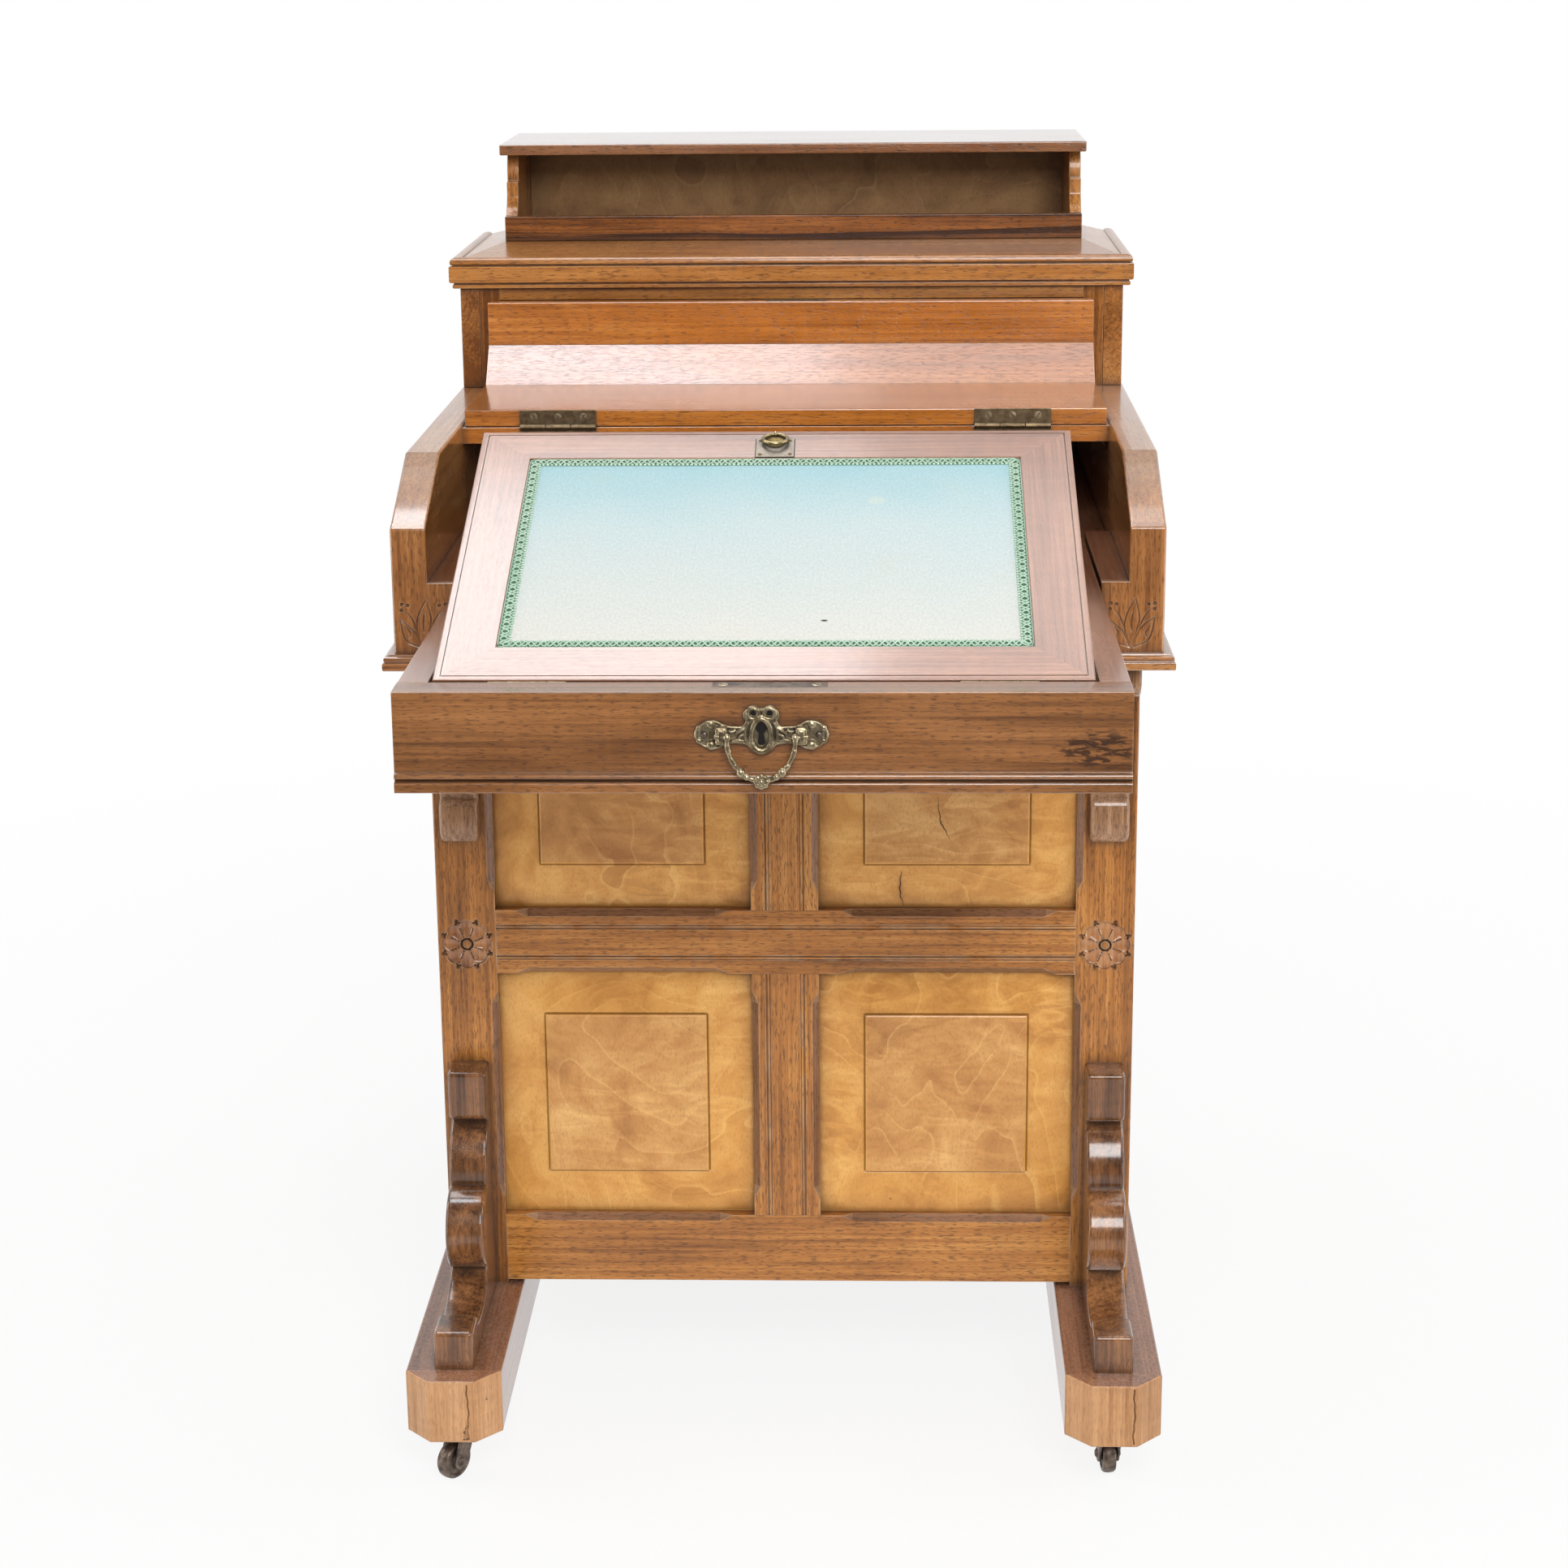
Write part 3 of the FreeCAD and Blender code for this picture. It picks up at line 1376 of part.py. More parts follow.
def build_desk():
    """Make every sub-part and return them in order."""
    work_out_levels()
    doc.recompute()
    parts = [castor_plates()]
    for corner in CORNERS:
        parts.append(castor_fork(corner))
        parts.append(castor_wheel(corner))
    parts.extend([foot(-1), foot(1)])
    parts.append(corner_posts())
    parts.append(frame_between_posts("front_frame", 0, D["muntin_width"]))
    parts.append(frame_between_posts("back_frame", D["pedestal_depth"] - D["frame_thick"],
                                     D["back_muntin"]))
    parts.extend([front_panels(), back_panels()])
    parts.extend([side_rails(), dust_boards(), sham_drawer_fronts(), sham_knobs()])
    for level in range(DRAWERS):
        parts.extend(drawer(level))
    parts.append(bracket_pair("foot_brackets", foot_bracket_outline()))
    parts.append(bracket_pair("body_brackets", body_bracket_outline()))
    parts.extend([cheek(-1), cheek(1), box_guides(), base_moulding()])
    parts.extend([body_bottom(), body_back(), rear_lid_board(), lid_flap()])
    parts.extend([lid_hinge_leaves(), top_hinge_leaves(), fixed_hinge_leaves()])
    parts.append(strike_plate())
    parts.extend([box_front(), box_lock(), box_tray(), handle_plate(), bail_handle()])
    parts.extend([flap_frame(), flap_panel(), writing_cloth(), cloth_braid()])
    parts.extend([flap_hinges(), flap_ring_plate(), flap_ring(), flap_prop()])
    parts.extend([case_shell(), case_front(), case_lid()])
    parts.extend([gallery_frame(), gallery_shelf()])
    doc.recompute()
    return parts


def check(parts):
    """Stop before anything is written if an object failed or a shape isn't sound."""
    for obj in doc.Objects:
        if "Invalid" in obj.State or "Error" in obj.State:
            raise RuntimeError(f"{obj.Label} failed: {obj.State}")
    for obj in parts:
        if obj.Shape.isNull() or not obj.Shape.isValid() or not obj.Shape.Solids:
            raise RuntimeError(f"{obj.Label} has no sound shape")


def export(parts):
    os.makedirs("parts", exist_ok=True)
    for obj in parts:
        obj.Shape.exportStep(f"parts/{obj.Label}.step")
    print(len(parts), "sub-parts written")


desk_parts = build_desk()
check(desk_parts)
export(desk_parts)
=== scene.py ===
"""Davenport desk: detailed pieces, finishes, floor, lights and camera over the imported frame."""

import logging
import math
import random
from dataclasses import dataclass, field
from enum import Enum
from typing import Callable, Iterable, Optional, Sequence, Union

import bmesh
import bpy
from mathutils import Matrix, Vector

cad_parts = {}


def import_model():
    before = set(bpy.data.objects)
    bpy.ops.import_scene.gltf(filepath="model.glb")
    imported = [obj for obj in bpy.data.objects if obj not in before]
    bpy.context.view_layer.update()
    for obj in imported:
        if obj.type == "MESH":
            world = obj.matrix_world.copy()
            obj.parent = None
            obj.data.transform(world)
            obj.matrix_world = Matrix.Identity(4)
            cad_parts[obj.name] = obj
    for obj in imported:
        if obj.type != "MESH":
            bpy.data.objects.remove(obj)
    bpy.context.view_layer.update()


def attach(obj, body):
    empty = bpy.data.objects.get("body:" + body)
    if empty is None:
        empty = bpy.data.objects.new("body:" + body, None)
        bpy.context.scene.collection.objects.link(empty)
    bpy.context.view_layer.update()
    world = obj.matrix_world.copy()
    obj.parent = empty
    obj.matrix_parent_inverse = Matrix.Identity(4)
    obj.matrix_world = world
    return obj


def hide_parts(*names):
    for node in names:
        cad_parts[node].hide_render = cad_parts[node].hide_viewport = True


LOG = logging.getLogger("davenport")

Colour = tuple[float, float, float, float]
Flat = tuple[float, ...]
Timber = tuple[Vector, Vector, float]
Solid = bmesh.types.BMesh
Face = bmesh.types.BMFace
Edge = bmesh.types.BMEdge

MIDDLE = 52.25
MM = 0.001
LEFT_RIGHT = (-1, 1)


def spot(x: float, y: float, z: float) -> Vector:
    """A point in metres, from desk millimetres whose depths start at the pedestal's front."""
    return Vector((x, y - MIDDLE, z)) * MM


def srgb(*parts: float) -> Colour:
    """A colour as the shaders take it.

    Args:
        parts: its red, green and blue from 0 to 255.

    Returns:
        The linear colour.
    """
    shares = [part / 255.0 for part in parts]
    return (*(share / 12.92 if share <= 0.04045 else ((share + 0.055) / 1.055) ** 2.4
              for share in shares), 1.0)


def smooth(share: float) -> float:
    """An S-shaped rise from 0 to 1."""
    share = min(max(share, 0.0), 1.0)
    return share * share * (3.0 - 2.0 * share)


# ---------------------------------------------------------------- shader tools


class Value:
    """What a node puts out, and the arithmetic that goes on from it."""

    def __init__(self, graph: "Graph", socket: bpy.types.NodeSocket) -> None:
        """Keep the graph and the socket."""
        self.graph = graph
        self.socket = socket

    def __add__(self, other: "Number") -> "Value":
        """Add a number to it."""
        return self.graph.maths("ADD", self, other)

    def __mul__(self, other: "Number") -> "Value":
        """Multiply it."""
        return self.graph.maths("MULTIPLY", self, other)

    def __sub__(self, other: "Number") -> "Value":
        """Take a number from it."""
        return self.graph.maths("SUBTRACT", self, other)

    def __rsub__(self, other: float) -> "Value":
        """Take it from a number."""
        return self.graph.maths("SUBTRACT", other, self)

    __radd__ = __add__

    def span(self, low: float, high: float, to_low: float = 0.0, to_high: float = 1.0) -> "Value":
        """Map the range from low to high onto that from to_low to to_high, clamped."""
        return self.graph.value("ShaderNodeMapRange", Value=self, From_Min=low, From_Max=high,
                                To_Min=to_low, To_Max=to_high)


Number = Union[Value, float]


class Graph:
    """Short ways to add and join the nodes of one tree."""

    def __init__(self, tree: bpy.types.NodeTree) -> None:
        """Keep the tree that the nodes go into."""
        self.tree = tree

    def join(self, socket: bpy.types.NodeSocket, value: object) -> None:
        """Feed one socket.

        Args:
            socket: the input.
            value: a value to join to it, or a fixed one to set.
        """
        if isinstance(value, Value):
            self.tree.links.new(value.socket, socket)
        else:
            socket.default_value = value

    def feed(self, node: bpy.types.Node, **values: object) -> None:
        """Join or set a node's sockets by their names."""
        for name, value in values.items():
            self.join(node.inputs[name.replace("_", " ")], value)

    def add(self, kind: str, *values: object, **named: object) -> bpy.types.Node:
        """Add a node.

        Args:
            kind: its type.
            values: what its first sockets take, in order.
            named: sockets, which start with a capital, and properties, which don't.

        Returns:
            The node.
        """
        node = self.tree.nodes.new(kind)
        for name in filter(str.islower, named):
            setattr(node, name, named[name])
        for socket, value in zip(node.inputs, values):
            self.join(socket, value)
        self.feed(node, **{name: named[name] for name in named if not name.islower()})
        return node

    def value(self, kind: str, *values: object, **named: object) -> Value:
        """Add a node and give its first output."""
        return Value(self, self.add(kind, *values, **named).outputs[0])

    def outputs(self, node: bpy.types.Node) -> dict[str, Value]:
        """A node's outputs by name."""
        return {socket.name: Value(self, socket) for socket in node.outputs}

    def maths(self, operation: str, first: object, second: object = 0.0,
              clamp: bool = False) -> Value:
        """Work out one number from two, kept between 0 and 1 if clamped."""
        return self.value("ShaderNodeMath", first, second, operation=operation, use_clamp=clamp)

    def scaled(self, vector: Value, *scale: float) -> Value:
        """Stretch a vector along its axes."""
        return self.value("ShaderNodeVectorMath", vector, scale, operation="MULTIPLY")

    def noise(self, vector: Value, scale: float, detail: float = 3.0, rough: float = 0.5,
              distortion: float = 0.0) -> Value:
        """A cloudy pattern from 0 to 1, with a scale in clouds to a metre."""
        return self.value("ShaderNodeTexNoise", Vector=vector, Scale=scale, Detail=detail,
                          Roughness=rough, Distortion=distortion)

    def mix(self, share: Number, first: object, second: object, blend: str = "MIX") -> Value:
        """Mix two colours.

        Args:
            share: how much of the second one shows.
            first: the colour below.
            second: the colour over it.
            blend: how they are mixed.

        Returns:
            The mixed colour.
        """
        node = self.add("ShaderNodeMix", share, data_type="RGBA", blend_type=blend)
        for index, colour in ((6, first), (7, second)):
            self.join(node.inputs[index], colour)
        return Value(self, node.outputs[2])

    def layered(self, colour: object, *layers: tuple[Number, object]) -> Value:
        """Lay other colours over a colour.

        Args:
            colour: the ground.
            layers: the share and the colour of each layer, one after another.

        Returns:
            The colour on top.
        """
        for share, tint in layers:
            colour = self.mix(share, colour, tint)
        return colour

    def tinted(self, colour: object, level: Value) -> Value:
        """Make a colour darker or lighter by a level about 1."""
        grey = self.value("ShaderNodeCombineColor", level, level, level)
        return self.mix(1.0, colour, grey, "MULTIPLY")

    def axes(self, vector: Value) -> dict[str, Value]:
        """Split a vector into X, Y and Z."""
        return self.outputs(self.add("ShaderNodeSeparateXYZ", vector))

    def oval(self, across: Value, up: Value, oval: Sequence[float]) -> Value:
        """A soft-edged oval mask.

        Args:
            across: the first coordinate, in metres.
            up: the second.
            oval: its middle's two coordinates and its two half widths.

        Returns:
            The mask.
        """
        parts = [self.maths("DIVIDE", value - middle, half)
                 for value, middle, half in ((across, oval[0], oval[2]), (up, oval[1], oval[3]))]
        return (parts[0] * parts[0] + parts[1] * parts[1]).span(0.5, 1.4, 1.0, 0.0)

    def ramp(self, value: Value, *stops: tuple[float, Colour]) -> Value:
        """Colour a value.

        Args:
            value: the value.
            stops: the place and the colour of each stop.

        Returns:
            Its colour.
        """
        node = self.add("ShaderNodeValToRGB", value)
        elements = node.color_ramp.elements
        while len(elements) < len(stops):
            elements.new(0.5)
        for element, (place, colour) in zip(elements, stops):
            element.position, element.color = place, colour
        return Value(self, node.outputs[0])

    def group(self, tree: bpy.types.NodeTree, **values: object) -> dict[str, Value]:
        """Place a shared group with its own values, and give its outputs."""
        return self.outputs(self.add("ShaderNodeGroup", node_tree=tree, **values))

    def attribute(self, name: str, output: str) -> Value:
        """Read a named attribute of the mesh."""
        return self.outputs(self.add("ShaderNodeAttribute", attribute_name=name))[output]

    def surface(self, height: Value, strength: float, depth: float, **values: object) -> None:
        """Finish a material: its relief, with a depth in metres, and the shader's other sockets."""
        normal = self.value("ShaderNodeBump", Strength=strength, Distance=depth, Height=height)
        self.feed(self.tree.nodes["Principled BSDF"], Normal=normal, **values)


class SharedGroups:
    """The node groups that several finishes use, each built once."""

    def __init__(self) -> None:
        """Build all of them."""
        self.timber = self.build_timber()
        self.edges = self.build_edges()
        self.marks = self.build_marks()

    @staticmethod
    def start(name: str, gives: str, **takes: float) -> tuple[Graph, dict[str, Value], bpy.types.Node]:
        """Start a shared node group.

        Args:
            name: the group's name.
            gives: names of its value outputs.
            takes: its inputs after the vector, with their defaults.

        Returns:
            The group's graph, what its inputs give and its output node.
        """
        tree = bpy.data.node_groups.new(name, "ShaderNodeTree")
        tree.interface.new_socket(name="Vector", in_out="INPUT", socket_type="NodeSocketVector")
        for title, default in takes.items():
            tree.interface.new_socket(name=title.replace("_", " "), in_out="INPUT",
                                      socket_type="NodeSocketFloat").default_value = default
        for title in gives.split():
            tree.interface.new_socket(name=title, in_out="OUTPUT", socket_type="NodeSocketFloat")
        graph = Graph(tree)
        return graph, graph.outputs(graph.add("NodeGroupInput")), graph.add("NodeGroupOutput")

    def build_timber(self) -> bpy.types.NodeTree:
        """Growth lines, bands, fibres, pores, ripple and slow clouds along the grain.

        Returns:
            The group; its vector runs along the grain in X, in metres.
        """
        graph, takes, gives = self.start("timber_grain", "Lines Bands Fibres Pores Ripple Clouds",
                                         Ring_Scale=45.0, Waviness=7.0)

        def grain(stretch: float, *pattern: float) -> Value:
            """A pattern that is drawn out along the grain."""
            return graph.noise(graph.scaled(takes["Vector"], stretch, 1.0, 1.0), *pattern)
        wave = graph.add("ShaderNodeTexWave", wave_type="RINGS", rings_direction="X",
                         wave_profile="SAW", Vector=graph.scaled(takes["Vector"], 0.08, 1.0, 1.0),
                         Scale=takes["Ring Scale"], Distortion=takes["Waviness"], Detail=3.0,
                         Detail_Scale=0.4, Detail_Roughness=0.62)
        ripple = graph.noise(graph.scaled(takes["Vector"], 1.0, 0.3, 0.3), 75.0, 3.0, 0.55, 0.7)
        graph.feed(
            gives,
            Lines=(graph.maths("POWER", graph.outputs(wave)["Fac"], 4.0)
                   * grain(0.1, 50.0, 2.0).span(0.35, 0.65, 0.25, 1.0)),
            Bands=grain(0.05, 62.0).span(0.3, 0.7, -0.5, 0.5),
            Fibres=grain(0.02, 420.0, 4.0, 0.62).span(0.32, 0.68, -0.5, 0.5),
            Pores=grain(0.16, 900.0, 2.0).span(0.55, 0.63),
            Ripple=ripple.span(0.3, 0.7),
            Clouds=grain(0.35, 14.0, 3.0, 0.5, 0.5).span(0.3, 0.7, -0.5, 0.5))
        return graph.tree

    def build_edges(self) -> bpy.types.NodeTree:
        """Dirt plus painted shade where surfaces meet, and wear plus a painted highlight where edges
        turn away.

        Returns:
            The group, with a mask of dirt and painted shade, and one of wear and painted edge
            highlight.
        """
        graph, takes, gives = self.start("edge_wear", "Crevice Worn", Reach=0.010)
        # Ambient occlusion: painted shade in corners and crevices, standing also for settled dirt.
        hollow = graph.outputs(graph.add("ShaderNodeAmbientOcclusion", samples=4,
                                         Distance=takes["Reach"]))
        patches = graph.noise(takes["Vector"], 45.0, 3.0)
        surface = graph.outputs(graph.add("ShaderNodeNewGeometry"))
        # Bevel mask: a painted highlight along rounded edges, standing also for rubbed wear.
        rounded = graph.value("ShaderNodeBevel", samples=4, Radius=0.0016)
        turned = graph.outputs(graph.add("ShaderNodeVectorMath", rounded, surface["Normal"],
                                         operation="DOT_PRODUCT"))
        graph.feed(gives,
                   Crevice=hollow["AO"].span(0.35, 0.95, 1.0, 0.0) * patches.span(0.2, 0.6, 0.55, 1.0),
                   Worn=turned["Value"].span(0.99, 0.90) * patches.span(0.35, 0.65))
        return graph.tree

    def build_marks(self) -> bpy.types.NodeTree:
        """Small dark spots, fine scratches and settled dust.

        Returns:
            The group, with Spots, Scratches and Dust masks.
        """
        graph, takes, gives = self.start("marks", "Spots Scratches Dust")
        vector = takes["Vector"]
        cells = graph.outputs(graph.add("ShaderNodeTexVoronoi", Vector=vector, Scale=26.0))
        spots = graph.noise(vector, 31.0, 1.0).span(0.5, 0.75, 0.0, 0.085) - cells["Distance"]
        lines = graph.noise(graph.scaled(vector, 0.12, 1.0, 1.3), 210.0, 2.0, 0.5, 1.2)
        upward = graph.axes(graph.outputs(graph.add("ShaderNodeNewGeometry"))["Normal"])["Z"]
        graph.feed(
            gives,
            Spots=spots.span(0.0, 0.02),
            Scratches=lines.span(0.70, 0.74) * graph.noise(vector, 9.0, 2.0).span(0.5, 0.62),
            Dust=upward.span(0.55, 0.98) * graph.noise(vector, 420.0, 4.0, 0.7).span(0.42, 0.66))
        return graph.tree


@dataclass(frozen=True)
class Surface:
    """What all finishes share: a name, and a material that it goes to."""

    name: str

    def dress(self, graph: Graph, shared: SharedGroups) -> None:
        """Build the nodes of the finish."""
        raise NotImplementedError

    def material(self, shared: SharedGroups) -> bpy.types.Material:
        """Build the finish's material.

        Args:
            shared: the shared node groups.

        Returns:
            The material.
        """
        material = bpy.data.materials.new(self.name)
        material.use_nodes = True
        self.dress(Graph(material.node_tree), shared)
        return material


@dataclass(frozen=True)
class WoodFinish(Surface):
    """Polished timber, from its dark, middle and light tones."""

    dark: Colour
    middle: Colour
    light: Colour
    # The colour below serves spots, the scar and painted shade where surfaces meet; the one after it
    # serves rubbed wear and a painted edge highlight.
    grime_and_shade: Colour = srgb(44, 24, 12)
    bare_and_highlight: Colour = srgb(214, 182, 146)
    ring_scale: float = 45.0
    waviness: float = 8.0
    lines: float = 0.20
    bands: float = 0.22
    figure: float = 0.07
    gloss: float = 0.28
    shine: float = 0.30
    coat: float = 0.30
    pores: float = 0.55
    dust: float = 0.04
    worn: float = 0.35
    grime_and_shade_share: float = 0.85
    scar: Optional[tuple[float, float, float, float]] = None

    def dress(self, graph: Graph, shared: SharedGroups) -> None:
        """Grain, pores and ripple, then spots, scratches, wear with a painted edge highlight, dirt
        with painted shade where surfaces meet, and dust.

        Args:
            graph: the material's graph.
            shared: the shared node groups.
        """
        grain = graph.attribute("grain", "Vector")
        timber = graph.group(shared.timber, Vector=grain, Ring_Scale=self.ring_scale,
                             Waviness=self.waviness)
        edges = graph.group(shared.edges, Vector=grain)
        marks = graph.group(shared.marks, Vector=grain)
        body = (0.5 + graph.attribute("tone", "Fac") * 0.07 + timber["Bands"] * self.bands
                + timber["Fibres"] * 0.34 + timber["Clouds"] * 0.30 + timber["Lines"] * -self.lines)
        colour = graph.ramp(body, (0.15, self.dark), (0.50, self.middle), (0.85, self.light))
        colour = graph.tinted(colour, timber["Ripple"].span(0.0, 1.0, 1.0 - self.figure,
                                                            1.0 + self.figure))
        deep = tuple(part * 0.5 for part in self.dark[:3]) + (1.0,)
        colour = graph.mix(timber["Pores"] * self.pores, colour, deep)
        if self.scar:
            colour = graph.mix(self.damage(graph, grain), colour, self.grime_and_shade)
        # Painted shade where surfaces meet, mixed with dirt, and a painted highlight on edges, mixed
        # with wear.
        grime_and_shade = edges["Crevice"] * self.grime_and_shade_share
        dust = marks["Dust"] * self.dust
        colour = graph.layered(
            colour, (marks["Spots"] * 0.8, self.grime_and_shade), (marks["Scratches"] * 0.30, self.light),
            (edges["Worn"] * self.worn, self.bare_and_highlight), (grime_and_shade, self.grime_and_shade),
            (dust, srgb(196, 162, 144)))
        rough = timber["Clouds"].span(-0.5, 0.5, self.gloss - 0.06, self.gloss + 0.08)
        height = (timber["Clouds"] - timber["Pores"] * 0.35 + timber["Fibres"] * 0.12
                  - marks["Spots"])
        graph.surface(height, 0.30, 0.0005, Base_Color=colour,
                      Roughness=graph.maths("ADD", rough + grime_and_shade * 0.3, dust * 0.5, True),
                      Specular_IOR_Level=self.shine, Coat_Weight=self.coat, Coat_Roughness=0.13)

    def damage(self, graph: Graph, grain: Value) -> Value:
        """A torn, dark patch at one place of the board.

        Args:
            graph: the material's graph.
            grain: the place in the timber.

        Returns:
            The patch's mask.
        """
        axes = graph.axes(grain)
        near = graph.oval(axes["X"], axes["Z"], self.scar)
        torn = graph.noise(graph.scaled(grain, 0.3, 1.0, 1.0), 300.0, 4.0, 0.6, 0.6)
        return near * (torn + near * 0.12).span(0.57, 0.64, 0.0, 0.85)


@dataclass(frozen=True)
class FiguredFinish(Surface):
    """Veneer with a cloudy figure, faint contour lines and bright ripples."""

    dark: Colour
    middle: Colour
    light: Colour
    grime_and_shade: Colour = srgb(70, 38, 16)
    gloss: float = 0.30
    coat: float = 0.25
    ripple: float = 0.34
    # How far from nearby surfaces the painted shade reaches.
    reach: float = 0.016

    def dress(self, graph: Graph, shared: SharedGroups) -> None:
        """Clouds and contour lines, then flecks, spots, dirt with painted shade where surfaces meet,
        and wear with a painted edge highlight.

        Args:
            graph: the material's graph.
            shared: the shared node groups.
        """
        place = graph.attribute("grain", "Vector")
        edges = graph.group(shared.edges, Vector=place, Reach=self.reach)
        marks = graph.group(shared.marks, Vector=place)
        rise = graph.noise(graph.scaled(place, 1.0, 1.0, 0.8), 6.0, 3.0, 0.4, 0.5)
        saw = graph.maths("FRACT", rise * 15.0)
        line = saw.span(0.0, 0.10, 1.0, 0.0) * graph.noise(place, 13.0, 2.0).span(0.38, 0.56)
        mottle = graph.noise(place, 17.0, 5.0, 0.62, 0.9).span(0.3, 0.7, -0.5, 0.5)
        flame = graph.noise(graph.scaled(place, 0.5, 1.0, 1.6), 42.0, 4.0, 0.6, 1.6)
        flame = flame.span(0.46, 0.74) * graph.noise(place, 7.0, 2.0).span(0.40, 0.62)
        body = (0.5 + mottle * 0.46 + (0.5 - saw) * 0.05 + flame * self.ripple
                + graph.attribute("tone", "Fac") * 0.05)
        flecks = graph.noise(graph.scaled(place, 1.0, 1.0, 0.4), 800.0, 2.0, 0.5)
        colour = graph.layered(
            graph.ramp(body, (0.12, self.dark), (0.52, self.middle), (0.95, self.light)),
            (line * 0.50, self.light), (flecks.span(0.53, 0.66, 0.0, 0.24), self.dark),
            # Painted shade where surfaces meet, mixed with dirt, and a painted highlight on edges,
            # mixed with wear.
            (marks["Spots"] * 0.7, self.grime_and_shade), (edges["Crevice"] * 0.8, self.grime_and_shade),
            (edges["Worn"] * 0.4, self.light))
        graph.surface(mottle - line * 0.4, 0.25, 0.0005, Base_Color=colour,
                      Roughness=mottle.span(-0.5, 0.5, self.gloss - 0.05, self.gloss + 0.08),
                      Specular_IOR_Level=0.3, Coat_Weight=self.coat, Coat_Roughness=0.16)


@dataclass(frozen=True)
class MetalFinish(Surface):
    """Old metal: a rubbed bright tone, a dull one, and dark dirt in the hollows."""

    bright: Colour
    dull: Colour
    dirt: Colour
    rough: float = 0.38
    shine: float = 1.0
    relief: float = 0.25

    def dress(self, graph: Graph, shared: SharedGroups) -> None:
        """Blotches, bright edges and dirty hollows.

        Args:
            graph: the material's graph.
            shared: the shared node groups.
        """
        grain = graph.attribute("grain", "Vector")
        edges = graph.group(shared.edges, Vector=grain, Reach=0.004)
        dirt = edges["Crevice"]
        blotches = graph.noise(grain, 160.0, 4.0, 0.6).span(0.35, 0.65)
        fine = graph.noise(grain, 900.0, 4.0, 0.65)
        colour = graph.layered(self.dull, (blotches, self.bright), (edges["Worn"], self.bright),
                               (dirt, self.dirt))
        rough = fine.span(0.3, 0.7, self.rough - 0.08, self.rough + 0.12)
        graph.surface(fine + blotches, self.relief, 0.0004, Base_Color=colour,
                      Metallic=dirt.span(0.0, 1.0, 1.0, 0.35) * self.shine,
                      Roughness=graph.maths("ADD", rough, dirt * 0.35, True))


@dataclass(frozen=True)
class BaizeFinish(Surface):
    """The writing cloth: felted wool, deep at the back and pale at the front, where fading and a
    painted sheen both show.
    """

    deep: Colour = srgb(160, 205, 213)
    middle: Colour = srgb(200, 217, 218)
    bleached_and_sheen: Colour = srgb(220, 220, 213)

    def dress(self, graph: Graph, shared: SharedGroups) -> None:
        """A fade from front to back that is partly fading and partly a painted sheen, fuzz, tufts, a
        stain, an ink spot and a smear.

        Args:
            graph: the material's graph.
            shared: not used.
        """
        place = graph.attribute("grain", "Vector")
        axes = graph.axes(place)
        along = axes["Y"] + (graph.noise(place, 11.0, 4.0, 0.55) - 0.5) * 0.07
        # The pale front of this ramp is partly faded cloth and partly a painted sheen.
        colour = graph.ramp(along.span(-0.1, 0.125), (0.0, self.bleached_and_sheen), (0.60, self.middle),
                            (1.0, self.deep))
        nap = (graph.noise(place, 1500.0, 5.0, 0.75)
               + graph.noise(graph.scaled(place, 1.0, 0.6, 1.0), 620.0, 3.0, 0.6))
        ink = graph.oval(axes["X"], axes["Y"], (0.038, -0.085, 0.0022, 0.0012))
        smear = graph.oval(axes["X"], axes["Y"], (0.072, 0.062, 0.006, 0.005))
        colour = graph.layered(
            graph.tinted(colour, nap.span(0.80, 1.20, 0.885, 1.055)),
            (graph.noise(place, 18.0, 3.0, 0.6).span(0.60, 0.80, 0.0, 0.18), srgb(205, 200, 176)),
            (ink, srgb(62, 74, 60)), (smear * 0.35, srgb(222, 226, 205)))
        graph.surface(nap, 0.55, 0.0004, Base_Color=colour, Roughness=0.93, Sheen_Weight=0.12,
                      Sheen_Roughness=0.45)


@dataclass(frozen=True)
class BraidFinish(Surface):
    """Cotton gimp, with the twist of its cords."""

    light: Colour
    deep: Colour

    def dress(self, graph: Graph, shared: SharedGroups) -> None:
        """Faded cords with light strands, and painted shade in the hollows.

        Args:
            graph: the material's graph.
            shared: the shared node groups.
        """
        place = graph.attribute("grain", "Vector")
        edges = graph.group(shared.edges, Vector=place, Reach=0.0015)
        strands = graph.outputs(graph.add("ShaderNodeTexWave", wave_type="BANDS",
                                          bands_direction="DIAGONAL", Vector=place, Scale=420.0,
                                          Distortion=1.5))["Fac"]
        faded = graph.noise(place, 12.0, 3.0).span(0.35, 0.65)
        # The dark green laid by the occlusion mask is painted shade between the cords.
        colour = graph.layered(self.deep, (faded, self.light), (strands * 0.25, self.light),
                               (edges["Crevice"] * 0.6, srgb(50, 98, 66)))
        graph.surface(strands, 0.5, 0.0003, Base_Color=colour, Sheen_Weight=0.3,
                      Roughness=faded.span(0.0, 1.0, 0.78, 0.92))


